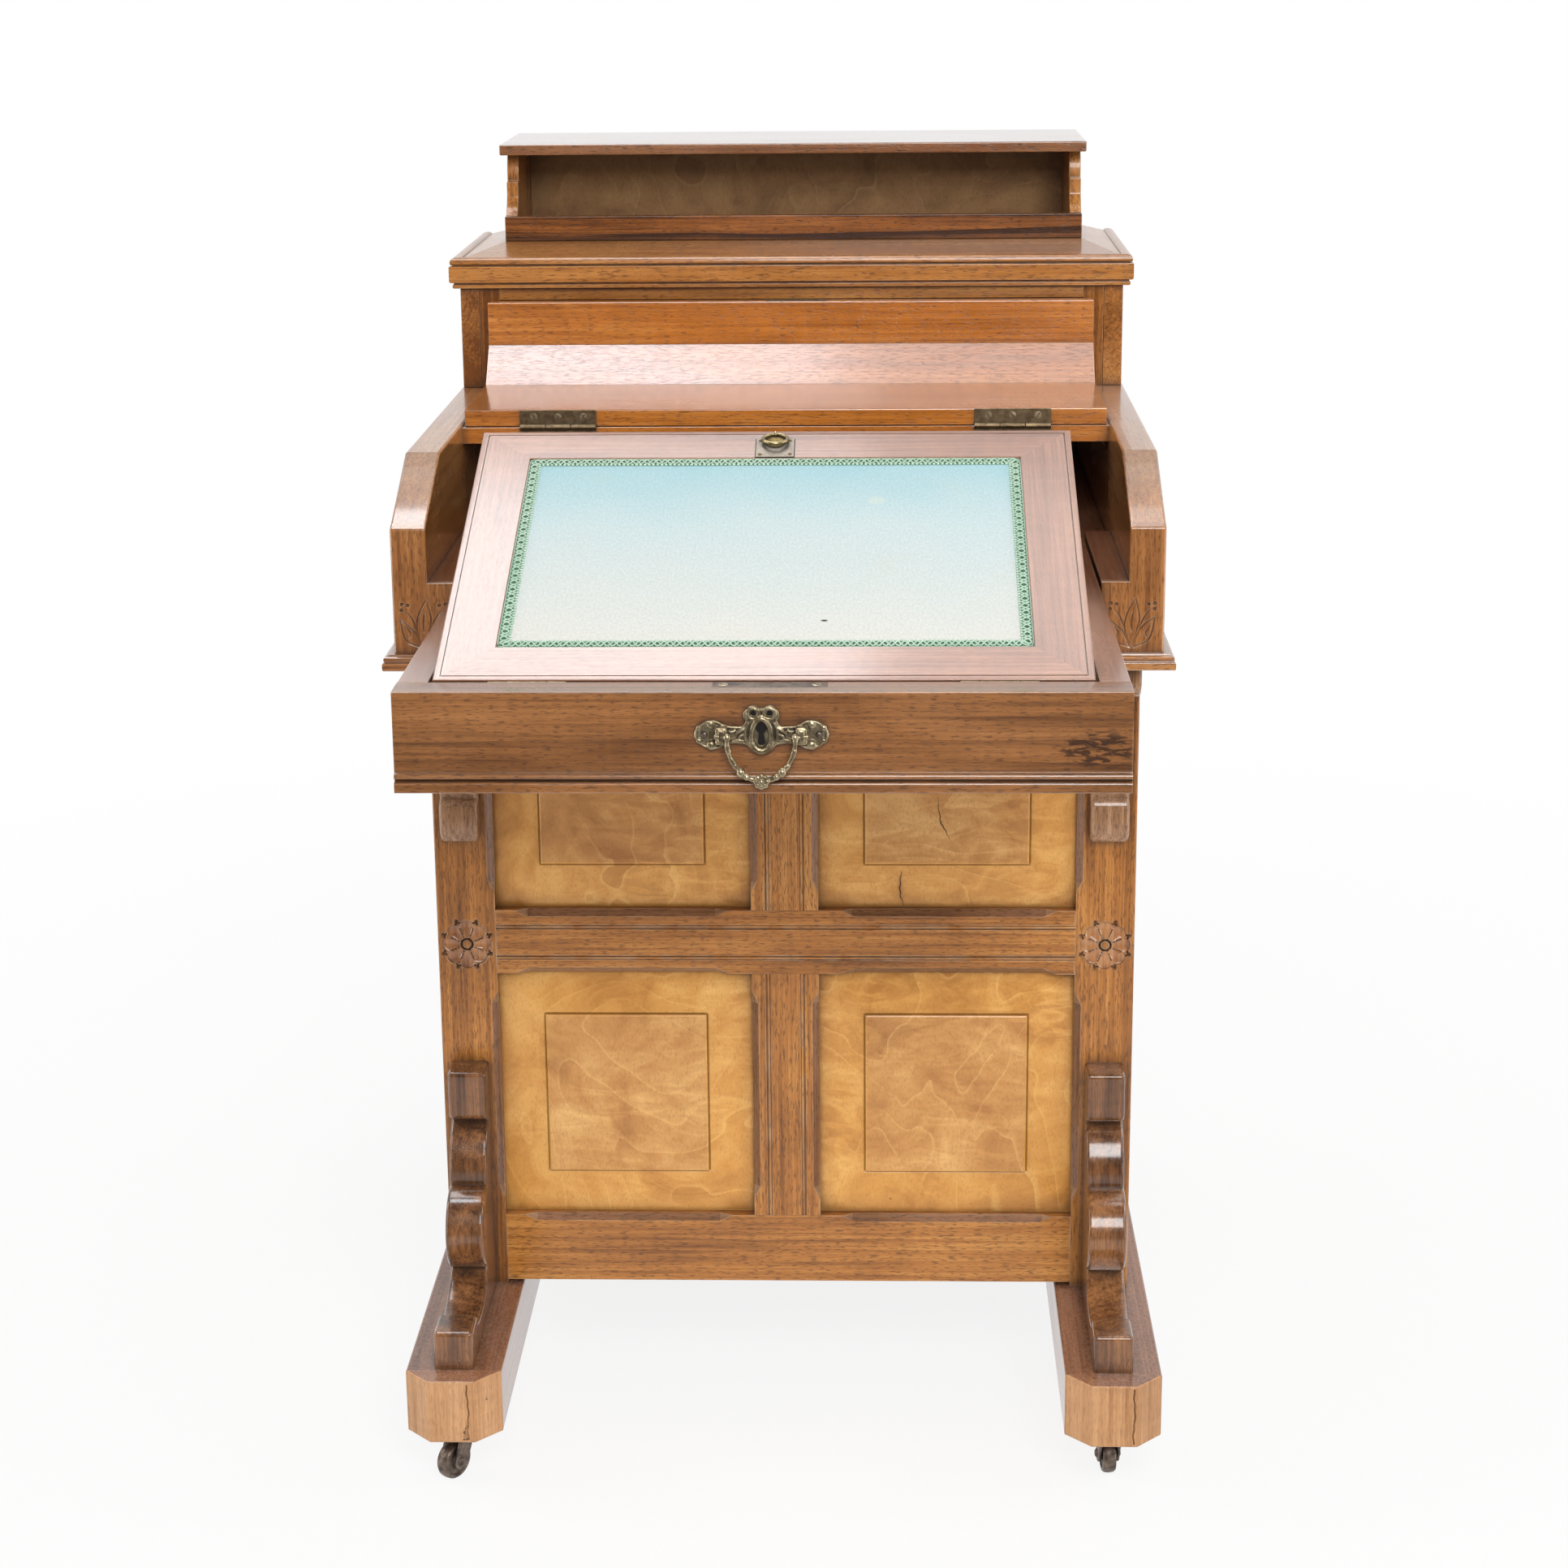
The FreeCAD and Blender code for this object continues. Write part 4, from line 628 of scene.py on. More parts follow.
class Finish(Enum):
    """Every finish on the desk."""

    FRAME = WoodFinish("walnut_frame", srgb(112, 64, 20), srgb(176, 112, 46),
                       srgb(210, 148, 74), shine=0.4, coat=0.4, grime_and_shade_share=0.7, worn=0.8)
    # A darker copy of the frame's walnut, painted shade on the chamfer faces.
    CHAMFER = WoodFinish("walnut_chamfer", srgb(96, 64, 40), srgb(138, 98, 70),
                         srgb(166, 124, 94), shine=0.4, coat=0.4, worn=0.2)
    PETAL = WoodFinish("walnut_petal", srgb(120, 70, 34), srgb(180, 120, 68),
                       srgb(212, 158, 102), shine=0.5, coat=0.7, pores=0.1)
    # Painted shade: a dark walnut for the deepest carved cuts and the panel splits.
    SHADE = WoodFinish("walnut_cut", srgb(58, 32, 14), srgb(88, 54, 28), srgb(110, 70, 40),
                       coat=0.0, worn=0.0)
    NOSE = WoodFinish("walnut_nose", srgb(104, 70, 44), srgb(156, 114, 80),
                      srgb(188, 148, 114), gloss=0.24, coat=0.7)
    # A greyer, paler copy of the walnut: a painted highlight on the chamfer stops and on the flower's
    # petal rims.
    STOP = WoodFinish("walnut_stop", srgb(112, 80, 54), srgb(154, 118, 88),
                      srgb(178, 144, 112), gloss=0.4, coat=0.1, grime_and_shade_share=0.3, pores=0.2)
    CHEEK = WoodFinish("walnut_cheek", srgb(116, 68, 30), srgb(164, 106, 53),
                       srgb(198, 142, 84), gloss=0.26, coat=0.9, shine=0.5)
    LID = WoodFinish("walnut_lid", srgb(150, 84, 26), srgb(194, 118, 46), srgb(218, 150, 76),
                     gloss=0.20, shine=0.5, coat=1.0, bands=0.16, lines=0.14)
    SHELF = WoodFinish("walnut_shelf", srgb(92, 54, 28), srgb(132, 84, 50), srgb(160, 110, 72),
                       gloss=0.20, coat=1.0, shine=0.5)
    RED = WoodFinish("walnut_red", srgb(106, 62, 40), srgb(150, 98, 70), srgb(180, 126, 94),
                     gloss=0.20, coat=1.0, bands=0.14, lines=0.12, pores=0.12)
    DARK = WoodFinish("walnut_dark", srgb(58, 34, 18), srgb(118, 76, 44), srgb(164, 112, 68),
                      gloss=0.20, coat=0.8, bands=0.42, figure=0.14, pores=0.3)
    FRONT = WoodFinish("walnut_box_front", srgb(92, 54, 24), srgb(138, 88, 44),
                       srgb(168, 112, 62), ring_scale=30.0, lines=0.34, bands=0.20,
                       coat=0.8, shine=0.5, scar=(0.211, 0.0735, 0.026, 0.012))
    CASE = WoodFinish("walnut_case", srgb(116, 66, 24), srgb(172, 110, 50), srgb(204, 142, 74),
                      gloss=0.24, coat=0.5)
    FOOT = WoodFinish("walnut_foot", srgb(88, 52, 30), srgb(142, 92, 60), srgb(176, 128, 92),
                      dust=0.35, gloss=0.30, coat=0.7, bands=0.30, pores=0.3)
    FOOT_END = WoodFinish("walnut_foot_end", srgb(146, 100, 60), srgb(190, 141, 97),
                          srgb(212, 166, 122), gloss=0.40, coat=0.1, lines=0.12, pores=0.22,
                          worn=0.1, grime_and_shade_share=0.5)
    RAIL = WoodFinish("walnut_rail", srgb(66, 34, 12), srgb(146, 86, 36), srgb(176, 114, 56),
                      ring_scale=34.0, lines=0.75, bands=0.12)
    # A darker copy of the lid's walnut, painted shade on the slope that makes its sheen read paler.
    SLOPE = WoodFinish("walnut_slope", srgb(130, 72, 28), srgb(170, 100, 44),
                       srgb(196, 126, 64), gloss=0.18, shine=0.5, coat=0.62, lines=0.16)
    PANEL = FiguredFinish("figured_panel", srgb(150, 90, 40), srgb(204, 146, 80),
                          srgb(236, 186, 116), coat=0.4)
    # A lighter copy of the panel veneer, painted light that offsets the shade on the margins' tilt.
    MARGIN = FiguredFinish("figured_margin", srgb(164, 102, 40), srgb(218, 156, 78),
                           srgb(244, 192, 112), coat=0.3)
    # Its wide reach paints the shadows that the shelf and the fretted ends cast on the back.
    OLIVE = FiguredFinish("gallery_back_wood", srgb(98, 68, 38), srgb(164, 124, 78),
                          srgb(192, 154, 104), gloss=0.5, coat=0.0, ripple=0.2, reach=0.03)
    PALE = WoodFinish("pale_carcase", srgb(140, 104, 66), srgb(184, 146, 102),
                      srgb(208, 174, 130), gloss=0.55, coat=0.0, figure=0.04, dust=0.2)
    RING = MetalFinish("ring_brass", srgb(168, 152, 112), srgb(118, 100, 64),
                       srgb(40, 30, 16), rough=0.26)
    # Dark brass for the shallow dish: patina plus the painted shade of a deeper recess.
    CUP = MetalFinish("cup_brass", srgb(120, 102, 66), srgb(78, 62, 36), srgb(24, 18, 10),
                      rough=0.40)
    PLATE = MetalFinish("ring_plate_brass", srgb(128, 119, 108), srgb(112, 104, 94),
                        srgb(60, 50, 40), rough=0.40)
    CAST = MetalFinish("cast_brass", srgb(190, 174, 142), srgb(124, 108, 82),
                       srgb(26, 20, 14), rough=0.32, relief=0.35)
    HINGE = MetalFinish("hinge_brass", srgb(140, 120, 92), srgb(98, 82, 62), srgb(34, 28, 18),
                        rough=0.42)
    SCREW = MetalFinish("screw_steel", srgb(206, 190, 160), srgb(140, 124, 98),
                        srgb(24, 20, 16), rough=0.34)
    IRON = MetalFinish("castor_iron", srgb(128, 112, 100), srgb(70, 60, 54), srgb(24, 20, 18),
                       rough=0.40, shine=0.85)
    VOID = MetalFinish("keyhole_shadow", srgb(20, 16, 12), srgb(12, 10, 8), srgb(6, 5, 4),
                       rough=0.9, shine=0.0)
    BAIZE = BaizeFinish("faded_baize")
    BRAID = BraidFinish("gimp_cord", srgb(198, 222, 202), srgb(164, 200, 172))
    # The braid's ground, dark green partly as a painted shadow beneath the cords.
    TAPE = BraidFinish("gimp_ground", srgb(90, 138, 104), srgb(66, 112, 80))


class Slot(Enum):
    """Names for the kinds of material that the pieces are made of."""

    WALNUT = "walnut"
    FIGURED = "figured_walnut"
    PALE = "pale_timber"
    BRASS = "brass"
    OLD_BRASS = "old_brass"
    CLOTH = "cloth"
    BRAID = "braid"
    CASTOR = "castor_metal"


# ---------------------------------------------------------------- shape tools

GRAIN_ORDER = {"x": (0, 1, 2), "y": (1, 0, 2), "z": (2, 0, 1)}


def at(x: float, y: float, z: float) -> Matrix:
    """A place."""
    return Matrix.Translation((x, y, z))


def turned(degrees: float, axis: str) -> Matrix:
    """A turn about an axis."""
    return Matrix.Rotation(math.radians(degrees), 4, axis)


def mirrored(side: int, first: float, second: float) -> list[float]:
    """The lower and the higher of two values on one side of the middle."""
    return sorted((side * first, side * second))


def circle(sides: int) -> list[Flat]:
    """A cosine and a sine at each of some even steps once round."""
    return [(math.cos(math.tau * k / sides), math.sin(math.tau * k / sides))
            for k in range(sides)]


def loft(rings: Sequence[Sequence[Sequence[float]]], closed: bool = False) -> Solid:
    """Skin a row of rings, each with as many points as the others or a single one.

    Args:
        rings: the rings in order; the first and last are capped.
        closed: whether the last ring joins the first instead.

    Returns:
        The solid.
    """
    solid = bmesh.new()
    loops = [[solid.verts.new(point) for point in ring] for ring in rings]
    sides = max(map(len, loops))
    for first, second in zip(loops, loops[1:] + loops[:closed]):
        shift = 0
        if second is loops[0]:
            shift = min(range(sides), key=lambda k: (first[0].co - second[k].co).length)
        for k in range(sides):
            corners = (first[(k - 1) % len(first)], first[k % len(first)],
                       second[(k + shift) % len(second)],
                       second[(k + shift - 1) % len(second)])
            solid.faces.new(list(dict.fromkeys(corners)))
    for loop in (loops[0], loops[-1]):
        if loop[1:] and not closed:
            solid.faces.new(loop)
    bmesh.ops.recalc_face_normals(solid, faces=solid.faces[:])
    return solid


def height_field(solid: Solid, columns: int, rows: int,
                 point: Callable[[int, int], Sequence[float]]) -> list[Face]:
    """Add a grid of faces.

    Args:
        solid: where it goes.
        columns: faces across.
        rows: faces up.
        point: the place of each corner from its column and row.

    Returns:
        The faces.
    """
    grid = [[solid.verts.new(point(i, j)) for j in range(rows + 1)] for i in range(columns + 1)]
    return [solid.faces.new((grid[i][j], grid[i + 1][j], grid[i + 1][j + 1], grid[i][j + 1]))
            for i in range(columns) for j in range(rows)]


def ease_edges(solid: Solid, size: float, steps: int = 2,
               keep: Callable[[Edge], bool] = lambda edge: True) -> None:
    """Round the sharp edges of a solid.

    Args:
        solid: the solid to change.
        size: how far back the rounding starts, in millimetres.
        steps: faces across the rounding.
        keep: picks the edges to round; all sharp ones if left out.
    """
    if size > 0.0:
        edges = [edge for edge in solid.edges
                 if edge.calc_face_angle(0.0) > math.radians(32) and keep(edge)]
        bmesh.ops.bevel(solid, geom=edges, offset=size, offset_type="OFFSET", segments=steps,
                        profile=0.5, affect="EDGES", clamp_overlap=True)


def block(low: Sequence[float], high: Sequence[float], ease: float, steps: int = 2) -> Solid:
    """A board between two corners.

    Args:
        low: its lowest corner.
        high: its highest corner.
        ease: how far its edges are eased.
        steps: the facets of each eased edge.

    Returns:
        The board.
    """
    solid = bmesh.new()
    bmesh.ops.create_cube(solid, size=1.0)
    for vert in solid.verts:
        vert.co = [(a + b) / 2 + part * (b - a) for part, a, b in zip(vert.co, low, high)]
    ease_edges(solid, ease, steps)
    return solid


def arc(start: Flat, end: Flat, radius: float, turn: int) -> list[Flat]:
    """Points inside the short arc between two points.

    Args:
        start: where the arc starts.
        end: where it ends.
        radius: its radius.
        turn: +1 if it turns left, -1 if it turns right.

    Returns:
        The points between the two ends.
    """
    first, last = Vector(start[:2]), Vector(end[:2])
    half = (last - first) / 2
    rise = math.sqrt(max(radius * radius - half.length_squared, 0.0))
    centre = first + half + Vector((-half.y, half.x)).normalized() * turn * rise
    begin, finish = (math.atan2(point.y - centre.y, point.x - centre.x)
                     for point in (first, last))
    sweep = ((finish - begin) * turn) % math.tau
    count = max(3, int(sweep * radius / 2.2))
    return [(centre.x + radius * math.cos(begin + turn * sweep * k / count),
             centre.y + radius * math.sin(begin + turn * sweep * k / count))
            for k in range(1, count)]


def outline(corners: Sequence[Flat]) -> list[Flat]:
    """An outline as plain points.

    Args:
        corners: its corners (u, v), or (u, v, radius, turn) where an arc leads to one.

    Returns:
        The corners with the points of the arcs.
    """
    points: list[Flat] = []
    for before, corner in zip((corners[-1], *corners), corners):
        if len(corner) > 2:
            points.extend(arc(before, corner, corner[2], int(corner[3])))
        points.append(corner[:2])
    return points


def prism(points: Sequence[Flat], axis: str, low: float, high: float, ease: float = 0.0,
          steps: int = 2) -> Solid:
    """A board with a drawn outline, running along an axis.

    Args:
        points: the outline, in the two other axes.
        axis: the axis that it runs along.
        low: where it starts.
        high: where it ends.
        ease: how far its sharp edges are rounded.
        steps: faces across the rounding.

    Returns:
        The solid.
    """
    place = "xyz".index(axis)
    solid = loft([[(*point[:place], end, *point[place:]) for point in points]
                  for end in (low, high)])
    ease_edges(solid, ease, steps)
    return solid


def softened(points: Sequence[Flat], size: float, fixed: Callable[[Flat], bool]) -> list[Flat]:
    """Round the sharp corners of an outline.

    Args:
        points: the outline.
        size: how far back from a corner the rounding starts.
        fixed: picks points that stay sharp.

    Returns:
        The new outline.
    """
    soft: list[Flat] = []
    for index, point in enumerate(points):
        before, here, after = (Vector(points[k % len(points)]) for k in
                               (index - 1, index, index + 1))
        back, ahead = before - here, after - here
        bend = math.pi - back.angle(ahead)
        if (fixed(point) or bend < math.radians(30)
                or min(back.length, ahead.length) * 0.45 < size):
            soft.append(tuple(here))
            continue
        start = here + back.normalized() * size
        end = here + ahead.normalized() * size
        soft.extend(tuple(start.lerp(here, t).lerp(here.lerp(end, t), t))
                    for t in (0.0, 0.25, 0.5, 0.75, 1.0))
    return soft


def inset_ring(flat: Sequence[Vector], moves: Sequence[Vector], inset: float) -> list[Vector]:
    """An outline moved inwards, with edges that would turn over drawn into one point.

    Args:
        flat: the outline.
        moves: where each point goes for an inset of 1.
        inset: how far it goes.

    Returns:
        The new outline.
    """
    ring = [point + move * inset for point, move in zip(flat, moves)]
    count = len(ring)
    for _ in range(3):
        steps = [(ring[(k + 1) % count] - ring[k], flat[(k + 1) % count] - flat[k])
                 for k in range(count)]
        over = [new.dot(old) < 1e-6 and new.length > 1e-5 for new, old in steps]
        first = 0
        while first < count:
            last = first
            while last < count and over[last]:
                last += 1
            if last > first:
                span = [index % count for index in range(first, last + 1)]
                centre = sum((ring[index] for index in span), Vector((0.0, 0.0))) / len(span)
                for index in span:
                    ring[index] = centre
            first = last + 1
    return ring


def rolled_board(points: Sequence[Flat], middle: float, half: float, size: float,
                 fixed: Callable[[Flat], bool], steps: int = 4) -> Solid:
    """A board across X whose drawn edge is rolled over on both faces.

    Args:
        points: the outline, as (depth, height).
        middle: where its middle lies.
        half: half its thickness.
        size: the radius of the rolled edges.
        fixed: picks points whose edges stay square where both ends are fixed.
        steps: faces across each rolled edge.

    Returns:
        The solid.
    """
    flat = [Vector(point) for point in points]
    ways = [(end - start).normalized() for start, end in zip(flat, flat[1:] + flat[:1])]
    area = sum(a.x * b.y - b.x * a.y for a, b in zip(flat, flat[1:] + flat[:1]))
    normals = [Vector((-way.y, way.x)) * math.copysign(1.0, area) for way in ways]
    free = [not (fixed(start) and fixed(end))
            for start, end in zip(points, [*points[1:], points[0]])]
    moves = []
    for index, second in enumerate(normals):
        first = normals[index - 1]
        a, b = float(free[index - 1]), float(free[index])
        cross = first.x * second.y - first.y * second.x
        if a and b:
            moves.append((first + second) / (1.0 + first.dot(second)))
        elif abs(cross) > 0.2:
            moves.append(Vector((a * second.y - b * first.y, b * first.x - a * second.x)) / cross)
        else:
            moves.append(Vector((0.0, 0.0)))
    turns = [math.pi / 2 * k / steps for k in range(steps + 1)]
    slices = [(-half + size * (1 - math.cos(t)), size * (1 - math.sin(t))) for t in turns]
    slices += [(-x, inset) for x, inset in reversed(slices)]
    solid = loft([[(middle + x, *point) for point in inset_ring(flat, moves, inset)]
                  for x, inset in slices])
    bmesh.ops.remove_doubles(solid, verts=solid.verts[:], dist=0.002)
    bmesh.ops.recalc_face_normals(solid, faces=solid.faces[:])
    return solid


def lathe(profile: Sequence[Flat], sides: int = 28) -> Solid:
    """A turned shape about +X, from (along, radius) points."""
    return loft([[(along, radius * a, radius * b) for a, b in circle(sides if radius else 1)]
                 for along, radius in profile])


def tube(path: Sequence[Vector], radii: Union[float, Sequence[float]], sides: int = 10,
         closed: bool = False) -> Solid:
    """A round wire along a path, whose thickness may change.

    Args:
        path: its points.
        radii: the radius, or the radius at each point.
        sides: faces round the wire.
        closed: whether the last point joins the first.

    Returns:
        The solid.
    """
    if isinstance(radii, float):
        radii = [radii] * len(path)
    rings = []
    up = Vector((0.123, 0.456, 0.881)).normalized()
    last = len(path) - 1
    for index, (point, radius) in enumerate(zip(path, radii)):
        before = path[index - 1] if index or closed else point
        after = path[(index + 1) % len(path)] if index < last or closed else point
        ahead = (after - before).normalized()
        up = (up - ahead * up.dot(ahead)).normalized()
        side = ahead.cross(up)
        rings.append([point + (up * a + side * b) * radius for a, b in circle(sides)])
    return loft(rings, closed)


def ball(centre: Sequence[float], radii: Sequence[float], rings: int = 10) -> Solid:
    """An oval bead.

    Args:
        centre: its middle.
        radii: its half sizes.
        rings: how fine it is.

    Returns:
        The bead.
    """
    solid = bmesh.new()
    bmesh.ops.create_uvsphere(solid, u_segments=rings * 2, v_segments=rings, radius=1.0)
    for vert in solid.verts:
        vert.co = [c + part * r for c, part, r in zip(centre, vert.co, radii)]
    return solid


def ring_path(centre: Flat, wide: Flat, tall: Flat, count: int = 24, share: float = 1.0
              ) -> list[Vector]:
    """Points round an oval.

    Args:
        centre: its middle.
        wide: its first half axis.
        tall: its second.
        count: how many points there are.
        share: how much of the oval is drawn.

    Returns:
        The points, from the end of the first half axis.
    """
    steps = count if share == 1.0 else count - 1
    angles = [math.tau * share * k / steps for k in range(count)]
    return [Vector(centre) + Vector(wide) * math.cos(angle) + Vector(tall) * math.sin(angle)
            for angle in angles]


def smooth_line(points: Sequence[Vector], steps: int) -> list[Vector]:
    """A smooth line through points.

    Args:
        points: what it runs through.
        steps: how many parts lie between each two.

    Returns:
        The points of the line.
    """
    ends = [points[0] * 2 - points[1], *points, points[-1] * 2 - points[-2]]
    line = [0.5 * (2 * b + (c - a) * t + (2 * a - 5 * b + 4 * c - d) * t * t
                   + (3 * b - a - 3 * c + d) * t ** 3)
            for a, b, c, d in zip(ends, ends[1:], ends[2:], ends[3:])
            for t in (k / steps for k in range(steps))]
    return line + [points[-1]]


def mitred_runs(profile: Sequence[Flat], path: Sequence[Flat], closed: bool = False
                ) -> list[Solid]:
    """Lengths of moulding along a plan path, mitred where they meet.

    Args:
        profile: (out, height) points, closed; out is to the right of the path.
        path: the plan points that the profile's zero follows.
        closed: whether the path comes back to its start.

    Returns:
        One solid for each length.
    """
    plan = [Vector(point) for point in path]
    heads = [(end - start).normalized() for start, end in zip(plan, plan[1:] + plan[:closed])]
    outs = [Vector((head.y, -head.x)) for head in heads]
    rings = []
    for corner, before, after in zip(plan, [outs[-1 if closed else 0], *outs], [*outs, outs[-1]]):
        mitre = (before + after) / (1.0 + before.dot(after))
        rings.append([(*(corner + mitre * out), height) for out, height in profile])
    return [loft(ends) for ends in zip(rings, rings[1:] + rings[:closed])]


def cut_across(solid: Solid, axis: int, value: float,
               faces: Optional[Sequence[Face]] = None) -> None:
    """Cut lines into a solid's faces where a plane crosses them.

    Args:
        solid: the solid.
        axis: the axis that the plane stands across.
        value: where on that axis it stands.
        faces: the faces to cut; all if left out.
    """
    chosen = list(solid.faces if faces is None else faces)
    place, normal = Vector((0, 0, 0)), Vector((0, 0, 0))
    place[axis], normal[axis] = value, 1.0
    geometry = (chosen + list({edge for face in chosen for edge in face.edges})
                + list({vert for face in chosen for vert in face.verts}))
    bmesh.ops.bisect_plane(solid, geom=geometry, dist=1e-4, plane_co=place, plane_no=normal)


CHAMFER_SLOTS = (1, 2)


def stop_chamfer(solid: Solid, run: int, edge: float, side: int, start: float, end: float,
                 size: float = 5.0, tongue: float = 11.0) -> None:
    """Cut a chamfer along a front edge that dies away in a curved stop at each end.

    Args:
        solid: the board, whose front lies at a depth of 0.
        run: the axis that the edge runs along, 0 or 2.
        edge: where the edge lies on the other axis.
        side: +1 if the wood lies above that value, -1 if below.
        start: where the chamfer starts.
        end: where it ends.
        size: its width.
        tongue: the length of each stop.
    """
    across = 2 - run
    for k in range(6):
        cut_across(solid, run, start + tongue * k / 5)
        cut_across(solid, run, end - tongue * k / 5)
    cut_across(solid, across, edge + side * size, [
        f for f in solid.faces if start < f.calc_center_median()[run] < end])
    for vert in solid.verts:
        along = vert.co[run]
        if abs(vert.co.y) > 0.01 or not start - 0.01 <= along <= end + 0.01:
            continue
        share = min((along - start) / tongue, (end - along) / tongue, 1.0)
        if abs(vert.co[across] - edge) < 0.01:
            vert.co.y += size * smooth(share)
        elif abs(vert.co[across] - edge - side * size) < 0.01:
            vert.co[across] = edge + side * size * max(share, 0.04)
    # Chamfer faces take a darker copy of the walnut as painted shade, and the curved stops a paler
    # copy as painted highlight.
    for part in solid.faces:
        middle = part.calc_center_median()
        if (start < middle[run] < end and 0.02 < middle.y < size
                and 0.02 < side * (middle[across] - edge) < size):
            near = min(middle[run] - start, end - middle[run])
            part.material_index = CHAMFER_SLOTS[near < tongue * 0.9]


def carve(solid: Solid, face: float, low: Flat, high: Flat, step: float,
          depth: Callable[[float, float], float],
          slot: Callable[[float], int] = lambda deep: 0) -> None:
    """Replace part of a front face by a fine carved grid.

    Args:
        solid: the board.
        face: the depth of its front face.
        low: lowest x and z of the carved field.
        high: highest x and z.
        step: the grid's spacing.
        depth: how far the surface goes in at (x, z).
        slot: the material for a depth.
    """
    def front() -> list[Face]:
        """The pieces of the front face."""
        return [f for f in solid.faces
                if f.normal.y < -0.99 and abs(f.calc_center_median().y - face) < 0.01]
    for axis, value in ((0, low[0]), (0, high[0]), (2, low[1]), (2, high[1])):
        cut_across(solid, axis, value, front())
    inside = [f for f in front() if low[0] < f.calc_center_bounds().x < high[0]
              and low[1] < f.calc_center_bounds().z < high[1]]
    bmesh.ops.delete(solid, geom=inside, context="FACES_ONLY")
    columns, rows = (max(2, round((b - a) / step)) for a, b in zip(low, high))

    def point(i: int, j: int) -> Flat:
        """A corner of the grid, which keeps to the face at the field's border.

        Args:
            i: its column.
            j: its row.

        Returns:
            Its place.
        """
        x = low[0] + (high[0] - low[0]) * i / columns
        z = low[1] + (high[1] - low[1]) * j / rows
        border = i in (0, columns) or j in (0, rows)
        return x, face + (0.0 if border else depth(x, z)), z
    for part in height_field(solid, columns, rows, point):
        part.material_index = slot(sum(v.co.y for v in part.verts) / 4 - face)


class Mould:
    """Collects solids into one mesh, with a place in the timber for every point."""

    def __init__(self, seed: int) -> None:
        """Start empty.

        Args:
            seed: picks each board's timber.
        """
        self.random = random.Random(seed)
        self.points: list[Vector] = []
        self.faces: list[list[int]] = []
        self.grain: list[float] = []
        self.tone: list[float] = []
        self.slots: list[int] = []

    def timber(self, solid: Solid, share: float = 1.0, lift: float = 0.0) -> Timber:
        """Pick the plank that a board is cut from.

        Args:
            solid: the board.
            share: how much of the plank's own tone shows.
            lift: how much lighter it is than the others.

        Returns:
            The board's centre, a shift to the plank and a tone.
        """
        spans = [[vert.co[k] for vert in solid.verts] for k in range(3)]
        centre = Vector([(min(span) + max(span)) / 2 for span in spans])
        away = [self.random.choice(LEFT_RIGHT) * self.random.uniform(0.03, 0.13)
                for _ in range(2)]
        shift = Vector((self.random.uniform(-4, 4), *away))
        return centre, shift, self.random.uniform(-1, 1) * share + lift

    def take(self, solid: Solid, grain: str = "x", place: Optional[Matrix] = None,
             slot: int = 0, timber: Optional[Timber] = None,
             pick: Optional[Callable[[Face], int]] = None) -> None:
        """Add a finished solid and free it.

        Args:
            solid: the solid, in desk millimetres or in its own frame.
            grain: the axis that the grain runs along.
            place: where a solid in its own frame goes.
            slot: which of the piece's materials it has.
            timber: the plank, where several solids are cut from one.
            pick: the material of each face, where they differ.
        """
        centre, shift, tone = timber or self.timber(solid)
        start = len(self.points)
        solid.verts.index_update()
        solid.normal_update()
        for vert in solid.verts:
            local = vert.co - centre
            self.grain.extend(Vector([local[k] for k in GRAIN_ORDER[grain]]) * MM + shift)
            self.tone.append(tone)
            self.points.append(place @ vert.co if place else vert.co.copy())
        for face in solid.faces:
            self.faces.append([start + vert.index for vert in face.verts])
            self.slots.append(pick(face) if pick else slot)
        solid.free()

    def board(self, low: Sequence[float], high: Sequence[float], ease: float,
              grain: str = "x", slot: int = 0) -> None:
        """Add a plain board between two corners."""
        self.take(block(low, high, ease), grain, slot=slot)


@dataclass
class SubAssembly:
    """A part of the desk that builds and dresses its own pieces."""

    finishes: dict[Finish, bpy.types.Material]

    def put(self, name: str, mould: Mould, finish: Union[Finish, Sequence[Finish]], body: str,
            nodes: Iterable[str] = (), slot: Slot = Slot.WALNUT, crease: float = 38.0
            ) -> bpy.types.Object:
        """Turn a mould into a piece that rides on a body.

        Args:
            name: the piece's name.
            mould: its solids.
            finish: its finish, or several in slot order.
            body: the body that it rides on.
            nodes: the frame's nodes that it stands for.
            slot: not used.
            crease: the angle above which an edge stays sharp.

        Returns:
            The piece.
        """
        mesh = bpy.data.meshes.new(name)
        mesh.from_pydata([spot(*point) for point in mould.points], [], mould.faces)
        mesh.attributes.new("grain", "FLOAT_VECTOR", "POINT").data.foreach_set(
            "vector", mould.grain)
        mesh.attributes.new("tone", "FLOAT", "POINT").data.foreach_set("value", mould.tone)
        for item in [finish] if isinstance(finish, Finish) else finish:
            mesh.materials.append(self.finishes[item])
        mesh.polygons.foreach_set("material_index", mould.slots)
        mesh.shade_smooth()
        mesh.set_sharp_from_angle(angle=math.radians(crease))
        piece = bpy.data.objects.new(name, mesh)
        bpy.context.scene.collection.objects.link(piece)
        piece.modifiers.new("even_normals", "WEIGHTED_NORMAL").keep_sharp = True
        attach(piece, body)
        if nodes:
            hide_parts(*nodes)
        LOG.info("%s: %d faces, rides on %s", name, len(mould.faces), body)
        return piece


